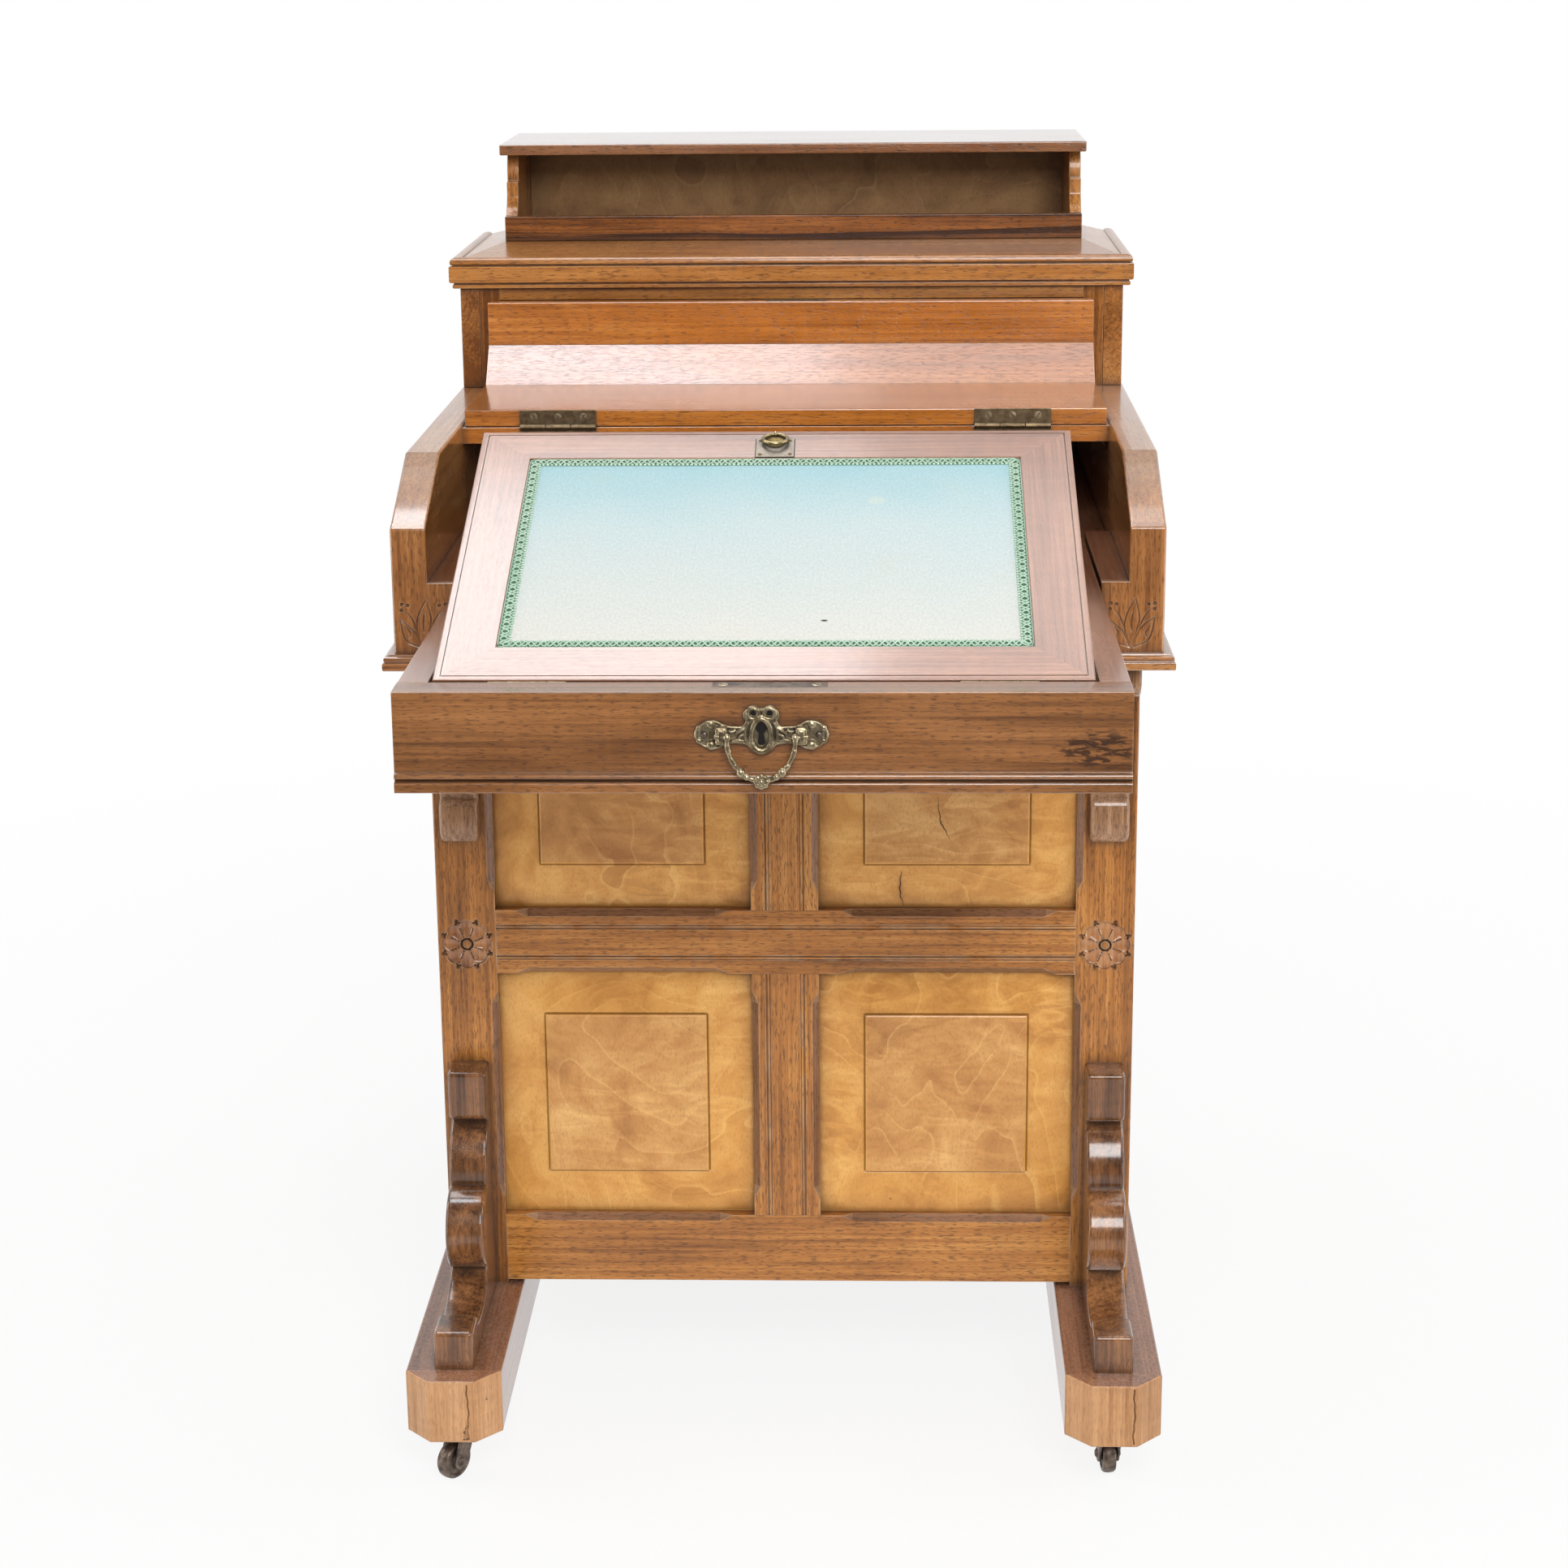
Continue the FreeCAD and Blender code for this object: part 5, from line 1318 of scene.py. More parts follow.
def slotted_screw(radius: float, turn: float) -> Solid:
    """A countersunk screw head that looks along -Y.

    Args:
        radius: its radius.
        turn: how far its slot is turned, in degrees.

    Returns:
        The head, with a closed back.
    """
    half = radius * 0.16
    solid = loft([[(radius * scale * a, y, radius * scale * b) for a, b in circle(20)]
                  for scale, y in ((1.0, 0.8), (1.0, 0.0), (0.86, -0.30))])
    for value in (-half, half):
        cut_across(solid, 2, value, [f for f in solid.faces
                                     if len(f.verts) > 4 and f.calc_center_median().y < 0])
    groove = [f for f in solid.faces
              if f.calc_center_median().y < 0 and abs(f.calc_center_median().z) < half * 0.5
              and abs(f.calc_center_median().x) < radius * 0.3]
    for face in bmesh.ops.extrude_discrete_faces(solid, faces=groove)["faces"]:
        for vert in face.verts:
            vert.co.y += 0.55
    bmesh.ops.recalc_face_normals(solid, faces=solid.faces[:])
    bmesh.ops.rotate(solid, verts=solid.verts[:], matrix=turned(turn, "Y").to_3x3())
    return solid


# ---------------------------------------------------------------- pedestal


@dataclass
class Pedestal(SubAssembly):
    """Posts, rails, panels and the sides with their drawers."""

    half: float = 272.5
    post: float = 46.0
    post_depth: float = 34.0
    depth: float = 496.0
    base: float = 99.0
    rail_base: float = 102.0
    top: float = 637.0
    sills: tuple[float, float] = (159.0, 417.0)
    heads: tuple[float, float] = (364.5, 600.0)
    muntin: float = 26.3
    frame: float = 20.0
    seam: float = 0.12
    margin: float = 36.0
    bay: float = 101.25
    board: float = 12.0
    face: float = 256.5
    rosette: float = 19.5
    rosette_height: float = 388.5
    TIMBERS = (Finish.FRAME, Finish.CHAMFER, Finish.STOP, Finish.PETAL, Finish.SHADE)
    KNOB = ((0, 7.5), (1.6, 7.5), (2.3, 7.0), (2.5, 5.2), (4.6, 4.8), (6.0, 6.0), (7.2, 8.8),
            (8.6, 10.8), (10.2, 11.0), (12.0, 9.4), (13.4, 6.0), (14.2, 2.8), (14.5, 0))
    BEAD = ((0.0, -0.5), (0.0, 0.9), (-0.8, 1.5), (-2.2, 1.5), (-3.0, 0.9), (-3.0, -0.5))
    SPLITS = (((118.7, 508), (120.7, 492), (121.6, 487), (124.5, 482), (128.3, 474)),
              ((91.0, 447), (90.0, 436), (90.4, 427), (93.2, 419)))

    @property
    def inner(self) -> float:
        """Where the posts' inner faces stand."""
        return self.half - self.post

    @property
    def openings(self) -> list[tuple[float, float]]:
        """The lower and upper edge of both rows of panels."""
        return list(zip(self.sills, self.heads))

    @property
    def levels(self) -> tuple[tuple[float, float], ...]:
        """The lower and upper edge of each rail."""
        return ((self.rail_base, self.sills[0]), (self.heads[0], self.sills[1]),
                (self.heads[1], self.top))

    def build(self) -> None:
        """Build every piece of the pedestal."""
        self.posts()
        self.front_frame()
        self.panels()
        self.back()
        self.sides()
        self.drawers()

    def petals(self, x: float, z: float) -> float:
        """The carved flower.

        Args:
            x: place across, from the flower's middle.
            z: place up.

        Returns:
            How deep the surface lies there.
        """
        away = math.hypot(x, z)
        if away < 3.7:
            return 0.1 + 0.5 * (away / 3.7) ** 3
        if away < 4.9:
            return 2.6
        angle = math.degrees(math.atan2(z, x))
        turn = math.radians((angle + 22.5) % 45.0 - 22.5)
        along, across = away * math.cos(turn), abs(away * math.sin(turn))
        tip, rounded = 0.66 * self.rosette, 0.345 * self.rosette
        wide = min(along * 0.405, rounded)
        if along >= tip:
            wide = math.sqrt(max(rounded ** 2 - (along - tip) ** 2, 0.0))
        if across < wide and along < tip + rounded:
            bowl = 1.0 - (across / wide) ** 2
            rise = smooth((along - 4.0) / 10.0)
            return 0.25 + (0.4 + 1.5 * rise) * bowl ** 0.7
        gap = math.radians((angle % 45.0) - 22.5)
        out, off = away * math.cos(gap), abs(away * math.sin(gap))
        spear = 1.0 - abs(out - 1.045 * self.rosette) / 2.6 - off / 2.6
        wings = 1.0 - abs(out - self.rosette + off * 0.8) / 1.3 - max(off - 3.4, 0.0)
        return max(2.8 * spear, 2.6 * wings if off < 3.6 and out > 0.85 * self.rosette else 0.0,
                   2.4 if out < 0.86 * self.rosette and off < 0.5 else 0.0)

    def posts(self) -> None:
        """Four posts, the front two with a carved flower and stopped chamfers."""
        mould = Mould(11)
        for side in LEFT_RIGHT:
            low, high = mirrored(side, self.inner, self.half)
            post = block((low, 0, self.base), (high, self.post_depth, self.top), 0)
            ease_edges(post, 1.4, 3, lambda edge, s=side: all(
                abs(v.co.x - s * self.half) < 0.01 for v in edge.verts)
                and abs(edge.verts[0].co.z - edge.verts[1].co.z) > 1)
            for sill, head in self.openings:
                stop_chamfer(post, 2, side * self.inner, side, sill + 14, head - 14)
            middle = side * (self.inner + self.post / 2 + 0.2)
            # In the flower, the deepest cuts take the painted-shade walnut, shallow rims the
            # painted-highlight stop walnut, and the bowls the petal walnut.
            carve(post, 0.0, (middle - 21.0, self.rosette_height - 23.0),
                  (middle + 20.6, self.rosette_height + 23.0), 0.45,
                  lambda x, z, m=middle: self.petals(x - m, z - self.rosette_height),
                  lambda deep: 4 if deep > 2.2 else 0 if deep < 0.2 else 2 + (deep > 0.7))
            mould.take(post, "z", pick=self.slot_of)
            mould.board((low, self.depth - self.post_depth, self.base),
                        (high, self.depth, self.top), 1.2, "z")
        self.put("carved_posts", mould, self.TIMBERS, "desk", ["corner_posts"])

    @staticmethod
    def slot_of(face: Face) -> int:
        """The material that a chamfer left on a face."""
        return face.material_index

    def grooved(self, low: float, high: float, *grooves: tuple[float, float, float]) -> list[Flat]:
        """A cross-section with fine grooves in its front.

        Args:
            low: its lower edge.
            high: its upper edge.
            grooves: place, half width and depth of each, from high to low.

        Returns:
            (depth, place) points.
        """
        points: list[Flat] = [(self.frame, low), (self.frame, high), (0.0, high)]
        for place, half, deep in grooves:
            points += [(0.0, place + half), (deep, place + half * 0.3),
                       (deep, place - half * 0.3), (0.0, place - half)]
        return [*points, (0.0, low)]

    def front_frame(self) -> None:
        """Rails and muntins with incised lines and stopped chamfers."""
        mould = Mould(12)
        end = self.inner - self.seam
        fine, broad = (0.4, 0.6), (0.75, 1.1)
        for number, (low, high) in enumerate(self.levels):
            lines = [] if number != 1 else [(high - 12.6, *fine), (high - 15.2, *broad),
                                            (low + 14.4, *broad), (low + 11.8, *fine)]
            rail = prism(self.grooved(low, high, *lines), "x", -end, end)
            for first, last in ((-end + 14, -self.muntin - 17), (self.muntin + 17, end - 14)):
                if number < 2:
                    stop_chamfer(rail, 0, high, -1, first, last)
                if number > 0:
                    stop_chamfer(rail, 0, low, 1, first, last)
            mould.take(rail, "x", pick=self.slot_of,
                       timber=mould.timber(rail, 0.5, float(number == 0)))
        wide = self.muntin
        section = [(place, back) for back, place in self.grooved(
            -wide, wide, (wide - 11.6, *broad), (wide - 14.2, *fine), (14.2 - wide, *fine),
            (11.6 - wide, *broad))]
        for sill, head in self.openings:
            bar = prism(section, "z", sill + self.seam, head - self.seam)
            for side in LEFT_RIGHT:
                stop_chamfer(bar, 2, side * wide, -side, sill + 14, head - 14)
            mould.take(bar, "z", pick=self.slot_of, timber=mould.timber(bar, 0.5, 0.8))
        self.put("front_rails_and_muntins", mould, self.TIMBERS, "desk", ["front_frame"])

    def panels(self) -> None:
        """Four fielded panels whose margins slope back to the frame, two with a split."""
        mould = Mould(17)
        slope = ((0.0, 15.0), (0.0, 9.6), (self.margin - 1.2, 6.4), (self.margin, 7.2),
                 (self.margin + 0.5, 5.0), (self.margin + 1.6, 4.5))
        for sill, head in self.openings:
            for side in LEFT_RIGHT:
                low, high = mirrored(side, self.muntin, self.inner)
                panel = loft([[(low + inset, deep, sill + inset),
                               (high - inset, deep, sill + inset),
                               (high - inset, deep, head - inset),
                               (low + inset, deep, head - inset)] for inset, deep in slope])
                # Tilted margin faces take the lighter veneer, painted light against the shade of their
                # slope.
                mould.take(panel, "x", pick=lambda face: int(face.normal.y > -0.9985))
        for line in self.SPLITS:
            path = smooth_line([Vector((x, 4.5 if z > 455 else 6.6, z)) for x, z in line], 4)
            for index, point in enumerate(path):
                point.x += 0.5 * math.sin(index * 2.1)
            split = tube(path, [0.1 + 0.35 * math.sin(math.pi * k / (len(path) - 1))
                                for k in range(len(path))], 6)
            # The split is a thin tube of the painted-shade walnut, dark as the shade in a crack.
            mould.take(split, "x", slot=2)
        self.put("fielded_panels", mould, (Finish.PANEL, Finish.MARGIN, Finish.SHADE), "desk",
                 ["front_panels"], Slot.FIGURED, crease=1.0)

    def back(self) -> None:
        """Plain rails, muntins and panels at the back."""
        frame, flat = Mould(13), Mould(14)
        end = self.inner - self.seam
        near = self.depth - self.frame
        for low, high in self.levels:
            frame.board((-end, near, low), (end, self.depth, high), 0.6)
        for sill, head in self.openings:
            frame.board((-30, near, sill), (30, self.depth, head), 0.6, "z")
            for side in LEFT_RIGHT:
                low, high = mirrored(side, 30, end)
                flat.board((low, self.depth - 15, sill), (high, self.depth - 7, head), 0, "z")
        self.put("back_rails_and_muntins", frame, Finish.FRAME, "desk", ["back_frame"])
        self.put("back_panel_boards", flat, Finish.DARK, "desk", ["back_panels"])

    def bay_low(self, level: int) -> float:
        """The bottom of a drawer bay."""
        return self.sills[0] + level * (self.bay + self.board)

    def sides(self) -> None:
        """Side rails, dust boards and the left side's fixed fronts."""
        rails, boards, fronts, knobs = Mould(15), Mould(16), Mould(18), Mould(19)
        near, far = self.post_depth, self.depth - self.post_depth
        floor = self.half - 18
        for side in LEFT_RIGHT:
            low, high = mirrored(side, floor, self.half)
            for base, top in (self.levels[0], self.levels[2]):
                rails.board((low, near + 0.1, base), (high, far - 0.1, top), 0.8, "y")
        boards.board((-floor, near, self.sills[0] - self.board), (floor, far, self.sills[0]), 0.3)
        for level in range(4):
            low = self.bay_low(level)
            if level:
                boards.board((-self.face, near, low - self.board), (self.face, far, low), 0.8)
            self.drawer_front(fronts, -1, (near, low), (far, low + self.bay))
            self.knob_pair(knobs, -1, level)
        self.put("side_rail_boards", rails, Finish.FRAME, "desk", ["side_rails"])
        self.put("dust_board_set", boards, Finish.DARK, "desk", ["dust_boards"])
        self.put("fixed_drawer_fronts", fronts, Finish.CASE, "desk", ["sham_drawer_fronts"],
                 Slot.FIGURED)
        self.put("fixed_front_knobs", knobs, Finish.DARK, "desk", ["sham_drawer_knobs"])

    def drawer_front(self, mould: Mould, side: int, low: Flat, high: Flat) -> None:
        """A board with a thin rounded bead all round.

        Args:
            mould: where it goes.
            side: -1 for the left, +1 for the right.
            low: its lowest depth and height.
            high: its highest.
        """
        thick, ease = (17, 0.3) if side < 0 else (18, 0.4)
        first, last = mirrored(side, self.face - thick, self.face)
        mould.board((first, *low), (last, *high), ease, "y")
        place = Matrix(((0, 0, side), (1, 0, 0), (0, 1, 0))).to_4x4()
        place.translation = Vector((side * self.face, 0, 0))
        corners = (low, (high[0], low[1]), high, (low[0], high[1]))
        for run in mitred_runs(self.BEAD, corners, closed=True):
            bmesh.ops.transform(run, matrix=place, verts=run.verts[:])
            bmesh.ops.recalc_face_normals(run, faces=run.faces[:])
            mould.take(run, "y")

    def knob_pair(self, mould: Mould, side: int, level: int) -> None:
        """Two turned knobs on one front.

        Args:
            mould: where they go.
            side: -1 for the left, +1 for the right.
            level: which drawer, from the bottom.
        """
        for sign in LEFT_RIGHT:
            place = at(side * self.face, self.depth / 2 + sign * 105,
                       self.bay_low(level) + self.bay / 2)
            mould.take(lathe(self.KNOB, 32), "x", place @ turned(90 * (1 - side), "Z"))

    def drawers(self) -> None:
        """Four drawers that open to the right, with dovetailed trays."""
        near, far = self.post_depth + 1, self.depth - self.post_depth - 1
        face = self.face - 18
        end = -self.face + 18 + 32
        for level in range(4):
            name = f"drawer_{level + 1}"
            low = self.bay_low(level) + 1
            high = low + self.bay - 2
            top = high - 12
            mould, knobs = Mould(30 + level), Mould(40 + level)
            self.drawer_front(mould, 1, (near, low), (far, high))
            for a, b in ((near, near + 9), (far - 9, far)):
                mould.board((end, a, low), (face, b, top), 0.8, slot=1)
                shown = (a - 0.12, a + 6) if a == near else (b - 6, b + 0.12)
                for tail in range(3):
                    middle = low + 14 + tail * (top - low - 28) / 2
                    shape = [(face, middle - 6), (face + 9, middle - 9),
                             (face + 9, middle + 9), (face, middle + 6)]
                    mould.take(prism(shape, "y", *shown), "x", slot=1)
            mould.board((end, near + 9, low), (end + 9, far - 9, top), 0.8, "y", 1)
            mould.board((end + 9, near + 9, low), (face, far - 9, low + 6), 0.2, "y", 1)
            self.knob_pair(knobs, 1, level)
            self.put(name + "_box", mould, (Finish.CASE, Finish.PALE), name, [name],
                     Slot.FIGURED)
            self.put(name + "_turned_knobs", knobs, Finish.DARK, name, [name + "_knobs"])


# ---------------------------------------------------------------- feet, brackets, castors


@dataclass
class Base(SubAssembly):
    """Sledge feet, scroll brackets and castors."""

    spacing: float = 250.5
    foot_half: float = 36.5
    foot_low: float = 48.0
    foot_top: float = 99.0
    front: float = -168.0
    rear: float = 508.0
    cant: float = 19.0
    bracket_half: float = 15.0
    body_base: float = 637.0
    turns: dict[str, float] = field(default_factory=lambda: {
        "front_left": 145.0, "front_right": 4.0, "rear_left": 60.0, "rear_right": -25.0})
    PLATE = ((0, 15.5), (0.4, 16.6), (1.2, 17.0), (3.0, 17.0))
    CAP = ((0, 7.5), (0.8, 9.6), (2.2, 10.8), (4.0, 11.0))
    HORN = ((-6.2, 41.5), (-7.4, 34.0), (-1.5, 20.0), (2.6, 12.0), (9.0, 8.6, 7.0, 1),
            (15.4, 14.8, 6.4, 1), (12.0, 26.0), (7.4, 36.0), (6.2, 41.5))
    AXLE = ((8.2, 2.2), (8.3, 3.6), (8.9, 3.4), (9.9, 2.2), (10.2, 0))
    TREAD = ((0, 15.0), (3.4, 14.6), (5.0, 13.4), (5.2, 11.6), (4.2, 10.8), (4.4, 5.6),
             (5.4, 5.0), (5.3, 2.4))
    LOWER = ((0, 0), (0, 192), (-26, 192), (-26, 154), (-14, 147), (-36, 102, 51, 1),
             (-70, 68, 34, 1), (-50, 37.5, 34, 1), (-115, 22, 67, -1), (-115, 29),
             (-145.4, 29), (-145.8, 9), (-147.3, 5), (-147.6, 0))
    UPPER = ((0, -160), (0, 0), (-92, 0), (-92, -16), (-84, -26), (-68, -26),
             (-15, -59, 52, -1), (-15, -111, 28.6, 1), (-9, -126), (-15, -131),
             (-15, -152.5), (-10.5, -160))

    def build(self) -> None:
        """Build the feet, the brackets and the castors."""
        for side in LEFT_RIGHT:
            self.foot(side)
        self.brackets("foot_brackets", self.LOWER, self.foot_top, 52, Finish.DARK)
        self.brackets("body_brackets", self.UPPER, self.body_base, 53, Finish.NOSE)
        self.castor_plates()
        for corner, turn in self.turns.items():
            self.castor(corner, turn)

    def foot(self, side: int) -> None:
        """A long block with canted corners and softened edges.

        Args:
            side: -1 for the left one, 1 for the right one.
        """
        mould = Mould(50 + side)
        low, high = side * self.spacing - self.foot_half, side * self.spacing + self.foot_half
        cant, joint = self.cant, self.front + self.cant
        heights = (self.foot_low, self.foot_top)
        foot = prism([(high, joint), (high, self.rear - cant), (high - cant, self.rear),
                      (low + cant, self.rear), (low, self.rear - cant), (low, joint)],
                     "z", *heights)
        ease_edges(foot, 1.8, 3, lambda edge: any(v.co.y > joint + 1 for v in edge.verts))
        mould.take(foot, "y")
        nose = prism([(low + cant, self.front), (high - cant, self.front), (high, joint),
                      (low, joint)], "z", *heights)
        ease_edges(nose, 1.8, 3, lambda edge: any(v.co.y < joint - 1 for v in edge.verts))
        crack = high - cant - (5.0 if side < 0 else 3.0)
        carve(nose, self.front, (crack - 9.0, self.foot_low + 2.5),
              (crack + 2.5, self.foot_top - 2.5), 0.35,
              lambda x, z: self.split(x - crack, z, side))
        mould.take(nose, "z", pick=lambda face: int(face.normal.y < -0.3))
        name = "foot_left" if side < 0 else "foot_right"
        self.put("sledge_" + name, mould, (Finish.FOOT, Finish.FOOT_END), "desk", [name])

    def split(self, x: float, z: float, side: int) -> float:
        """The crack in a foot's end, with a chip at the left one's lower end.

        Args:
            x: place across, from the crack's middle.
            z: height.
            side: which foot.

        Returns:
            How deep the surface lies there.
        """
        away = x - 0.5 * math.sin(z * 0.19) - 0.25 * math.sin(z * 0.61 + 1.0)
        height = (z - self.foot_low) / 17.0
        deep = max(0.0, 1.7 * (1.0 - abs(away) / 0.65))
        if side < 0 and height < 1.0:
            reach = 4.5 * (1.0 - height) ** 0.7 + 0.4 * math.sin(z * 1.9)
            if -reach < away < 0.0:
                deep = max(deep, 1.3 + 0.4 * math.sin(x * 2.1 + z * 0.7))
        return deep

    def brackets(self, name: str, corners: Sequence[Flat], base: float, seed: int,
                 finish: Finish) -> None:
        """A pair of shaped brackets.

        Args:
            name: the pair's name in the frame.
            corners: their outline, from the post's front and the height that they sit at.
            base: that height.
            seed: the seed of their timber.
            finish: their finish.
        """
        shape = [(y, base + z, *rest) for y, z, *rest in corners]

        def square(point: Flat) -> bool:
            """Whether a point lies against the post, the foot or the desk body."""
            return point[0] > -0.01 or not (self.foot_top + 0.01 < point[1]
                                            < self.body_base - 0.01)
        mould = Mould(seed)
        for side in LEFT_RIGHT:
            mould.take(rolled_board(softened(outline(shape), 4.0, square), side * self.spacing,
                                    self.bracket_half, 3.0, square), "z")
        self.put("shaped_" + name, mould, finish, "desk", [name], crease=50.0)

    def corner_place(self, corner: str) -> Matrix:
        """The swivel axis of a castor on the floor."""
        return at(self.spacing * (-1 if "left" in corner else 1),
                  self.front + 43 if "front" in corner else self.rear - 43, 0)

    def castor_plates(self) -> None:
        """Round plates screwed under the feet."""
        mould = Mould(54)
        for corner in self.turns:
            place = self.corner_place(corner)
            mould.take(lathe(self.PLATE, 36), "x", place @ at(0, 0, 45) @ turned(-90, "Y"))
            for angle in (40, 160, 280):
                away = math.radians(angle)
                screw = at(14 * math.cos(away), 14 * math.sin(away), 45.1) @ turned(90, "X")
                mould.take(slotted_screw(2.0, angle), "x", place @ screw)
        self.put("round_castor_plates", mould, Finish.IRON, "desk", ["castor_plates"],
                 Slot.CASTOR)

    def castor(self, corner: str, turn: float) -> None:
        """A horned fork with its axle, and a crowned wheel.

        Args:
            corner: which corner of the desk.
            turn: how far the castor is swivelled, in degrees.
        """
        place = self.corner_place(corner) @ turned(turn, "Z")
        hub = place @ at(0, 9, 15)
        fork, wheel = Mould(60), Mould(61)
        fork.take(lathe(self.CAP, 32), "x", place @ at(0, 0, 40.65) @ turned(-90, "Y"))
        for low, high in ((5.85, 8.35), (-8.35, -5.85)):
            fork.take(prism(outline(self.HORN), "x", low, high, 0.9, 3), "z", place)
        fork.take(block((-5.6, -5.0, 36.0), (5.6, 5.0, 41.0), 1.5, 3), "x", place)
        fork.take(lathe(self.both_ways(self.AXLE), 24), "x", hub)
        wheel.take(lathe(self.both_ways(self.TREAD), 40), "x", hub)
        self.put("horned_fork_" + corner, fork, Finish.IRON, "castor_" + corner,
                 ["castor_fork_" + corner], Slot.CASTOR)
        self.put("crowned_wheel_" + corner, wheel, Finish.IRON, "wheel_" + corner,
                 ["castor_wheel_" + corner], Slot.CASTOR)

    @staticmethod
    def both_ways(profile: Sequence[Flat]) -> list[Flat]:
        """A turning profile that is the same on both sides of its middle."""
        return [*((-x, radius) for x, radius in reversed(profile) if x), *profile]


# ---------------------------------------------------------------- desk body


@dataclass
class DeskBody(SubAssembly):
    """Cheeks with carved fronts, guides, mouldings and boards."""

    base: float = 637.0
    front: float = -98.0
    rear: float = 500.0
    outer: float = 280.0
    inner: float = 254.0
    guide: float = 234.0
    guide_top: float = 701.0
    top: float = 782.0
    front_top: float = 741.0
    slope_end: float = -12.0
    facing: float = 6.0
    LEAVES = (
        ((21.5, 2.0), (17.2, 16.0), (19.0, 27.5), (24.8, 38.5)),
        ((22.6, 3.0), (25.6, 13.0), (27.8, 24.0), (24.8, 38.5)),
        ((20.6, 2.6), (16.4, 13.0), (11.6, 17.8), (5.4, 23.2)),
        ((20.2, 2.4), (10.6, 6.4), (7.0, 13.0), (5.4, 23.2)),
        ((23.2, 2.2), (26.6, 12.0), (31.8, 19.4), (38.8, 24.2)),
        ((23.6, 1.8), (33.6, 6.6), (37.0, 13.6), (38.8, 24.2)),
        ((18.6, 10.0), (16.4, 18.0), (13.8, 24.4), (10.2, 29.2)),
        ((26.0, 12.0), (28.6, 19.0), (31.6, 25.0), (35.4, 30.2)),
        ((22.4, 14.0), (22.0, 20.0), (22.4, 24.0), (23.0, 28.0)),
        ((11.0, 9.6), (12.4, 12.6), (11.4, 15.4), (9.6, 18.0)),
        ((33.2, 9.8), (32.4, 12.4), (34.0, 15.4), (35.6, 18.4)),
    )
    BERRIES = ((6.4, 30.4), (6.8, 34.8), (11.0, 34.0), (38.6, 30.6), (38.6, 34.8),
               (34.2, 34.0))
    LIP = ((0, 637), (7.4, 637), (8.1, 637.6), (8.3, 639), (8.3, 641.6), (7.9, 642.7),
           (6.7, 643.1), (6.5, 643.5), (7.1, 644.2), (7.3, 645.4), (7.0, 646.6), (5.9, 647.4),
           (4.2, 647.5), (3.8, 648.4), (0, 648.6))

    @property
    def start(self) -> float:
        """Where the facings end and the boards begin."""
        return self.front + self.facing

    def build(self) -> None:
        """Build the desk body."""
        for side in LEFT_RIGHT:
            self.cheek(side)
        self.guides()
        self.mouldings()
        self.boards()

    def spray(self, side: int) -> Callable[[float, float], float]:
        """The incised leaf spray on one cheek's front.

        Args:
            side: which cheek.

        Returns:
            A function that gives its depth at (x, z).
        """
        cuts = [smooth_line([Vector(point) for point in leaf], 5) for leaf in self.LEAVES]

        def depth(x: float, z: float) -> float:
            """How far the surface goes in.

            Args:
                x: the place across the block.
                z: its height.

            Returns:
                The depth of the carving there.
            """
            across = (abs(x) - self.guide) if side > 0 else (self.outer - abs(x))
            point = Vector((across, z - 650.5))
            deep = 0.0
            for line in cuts:
                for k, (start, end) in enumerate(zip(line, line[1:])):
                    way = end - start
                    share = max(0.0, min(1.0, (point - start).dot(way) / way.length_squared))
                    away = (point - start - way * share).length
                    if away < 0.72:
                        taper = 0.55 + 0.45 * math.sin(math.pi * (k + share) / len(line))
                        deep = max(deep, 1.25 * taper * (1.0 - away / 0.72))
            for berry in self.BERRIES:
                away = (point - Vector(berry)).length
                if away < 1.25:
                    deep = max(deep, 1.7 * math.sqrt(1.0 - (away / 1.25) ** 2))
            return deep
        return depth

    def cheek(self, side: int) -> None:
        """One side board with its carved facing.

        Args:
            side: -1 for the left one, 1 for the right one.
        """
        mould = Mould(70 + side)
        rise = (self.top - self.front_top) / (self.slope_end - self.front) * self.facing

        def ends(edge: Edge, test: Callable[[Vector], bool]) -> bool:
            """Whether both ends of an edge pass a test."""
            return all(test(vert.co) for vert in edge.verts)
        shape = [(self.start, self.base), (self.rear, self.base), (self.rear, self.top),
                 (self.slope_end, self.top), (self.start, self.front_top + rise)]
        board = prism(shape, "x", *mirrored(side, self.inner, self.outer))
        ease_edges(board, 2.0, 3, lambda edge: (
            ends(edge, lambda co: co.z > self.front_top - 1)
            and not ends(edge, lambda co: co.y < self.start + 0.1)))
        mould.take(board, "y")
        face = [(self.guide, self.base), (self.outer, self.base), (self.outer, self.front_top),
                (self.inner, self.front_top), (self.inner, self.guide_top),
                (self.guide, self.guide_top)]
        facing = prism([(side * x, z) for x, z in face], "y", self.front, self.start)
        for vert in facing.verts:
            if vert.co.z > self.front_top - 0.1 and vert.co.y > self.start - 0.1:
                vert.co.z += rise
        ease_edges(facing, 1.6, 3, lambda edge: (
            not ends(edge, lambda co: co.y > self.front + 0.1)
            and not ends(edge, lambda co: co.z < self.base + 0.1)
            and (ends(edge, lambda co: co.y < self.front + 0.1)
                 or abs(edge.verts[0].co.x) > self.outer - 0.1
                 or edge.verts[0].co.z > self.front_top - 0.1)))
        low, high = mirrored(side, self.guide + 2.0, self.outer - 2.0)
        carve(facing, self.front, (low, 650.6), (high, 692.5), 0.42, self.spray(side))
        mould.take(facing, "z")
        name = "cheek_left" if side < 0 else "cheek_right"
        self.put("carved_" + name, mould, Finish.CHEEK, "desk", [name])

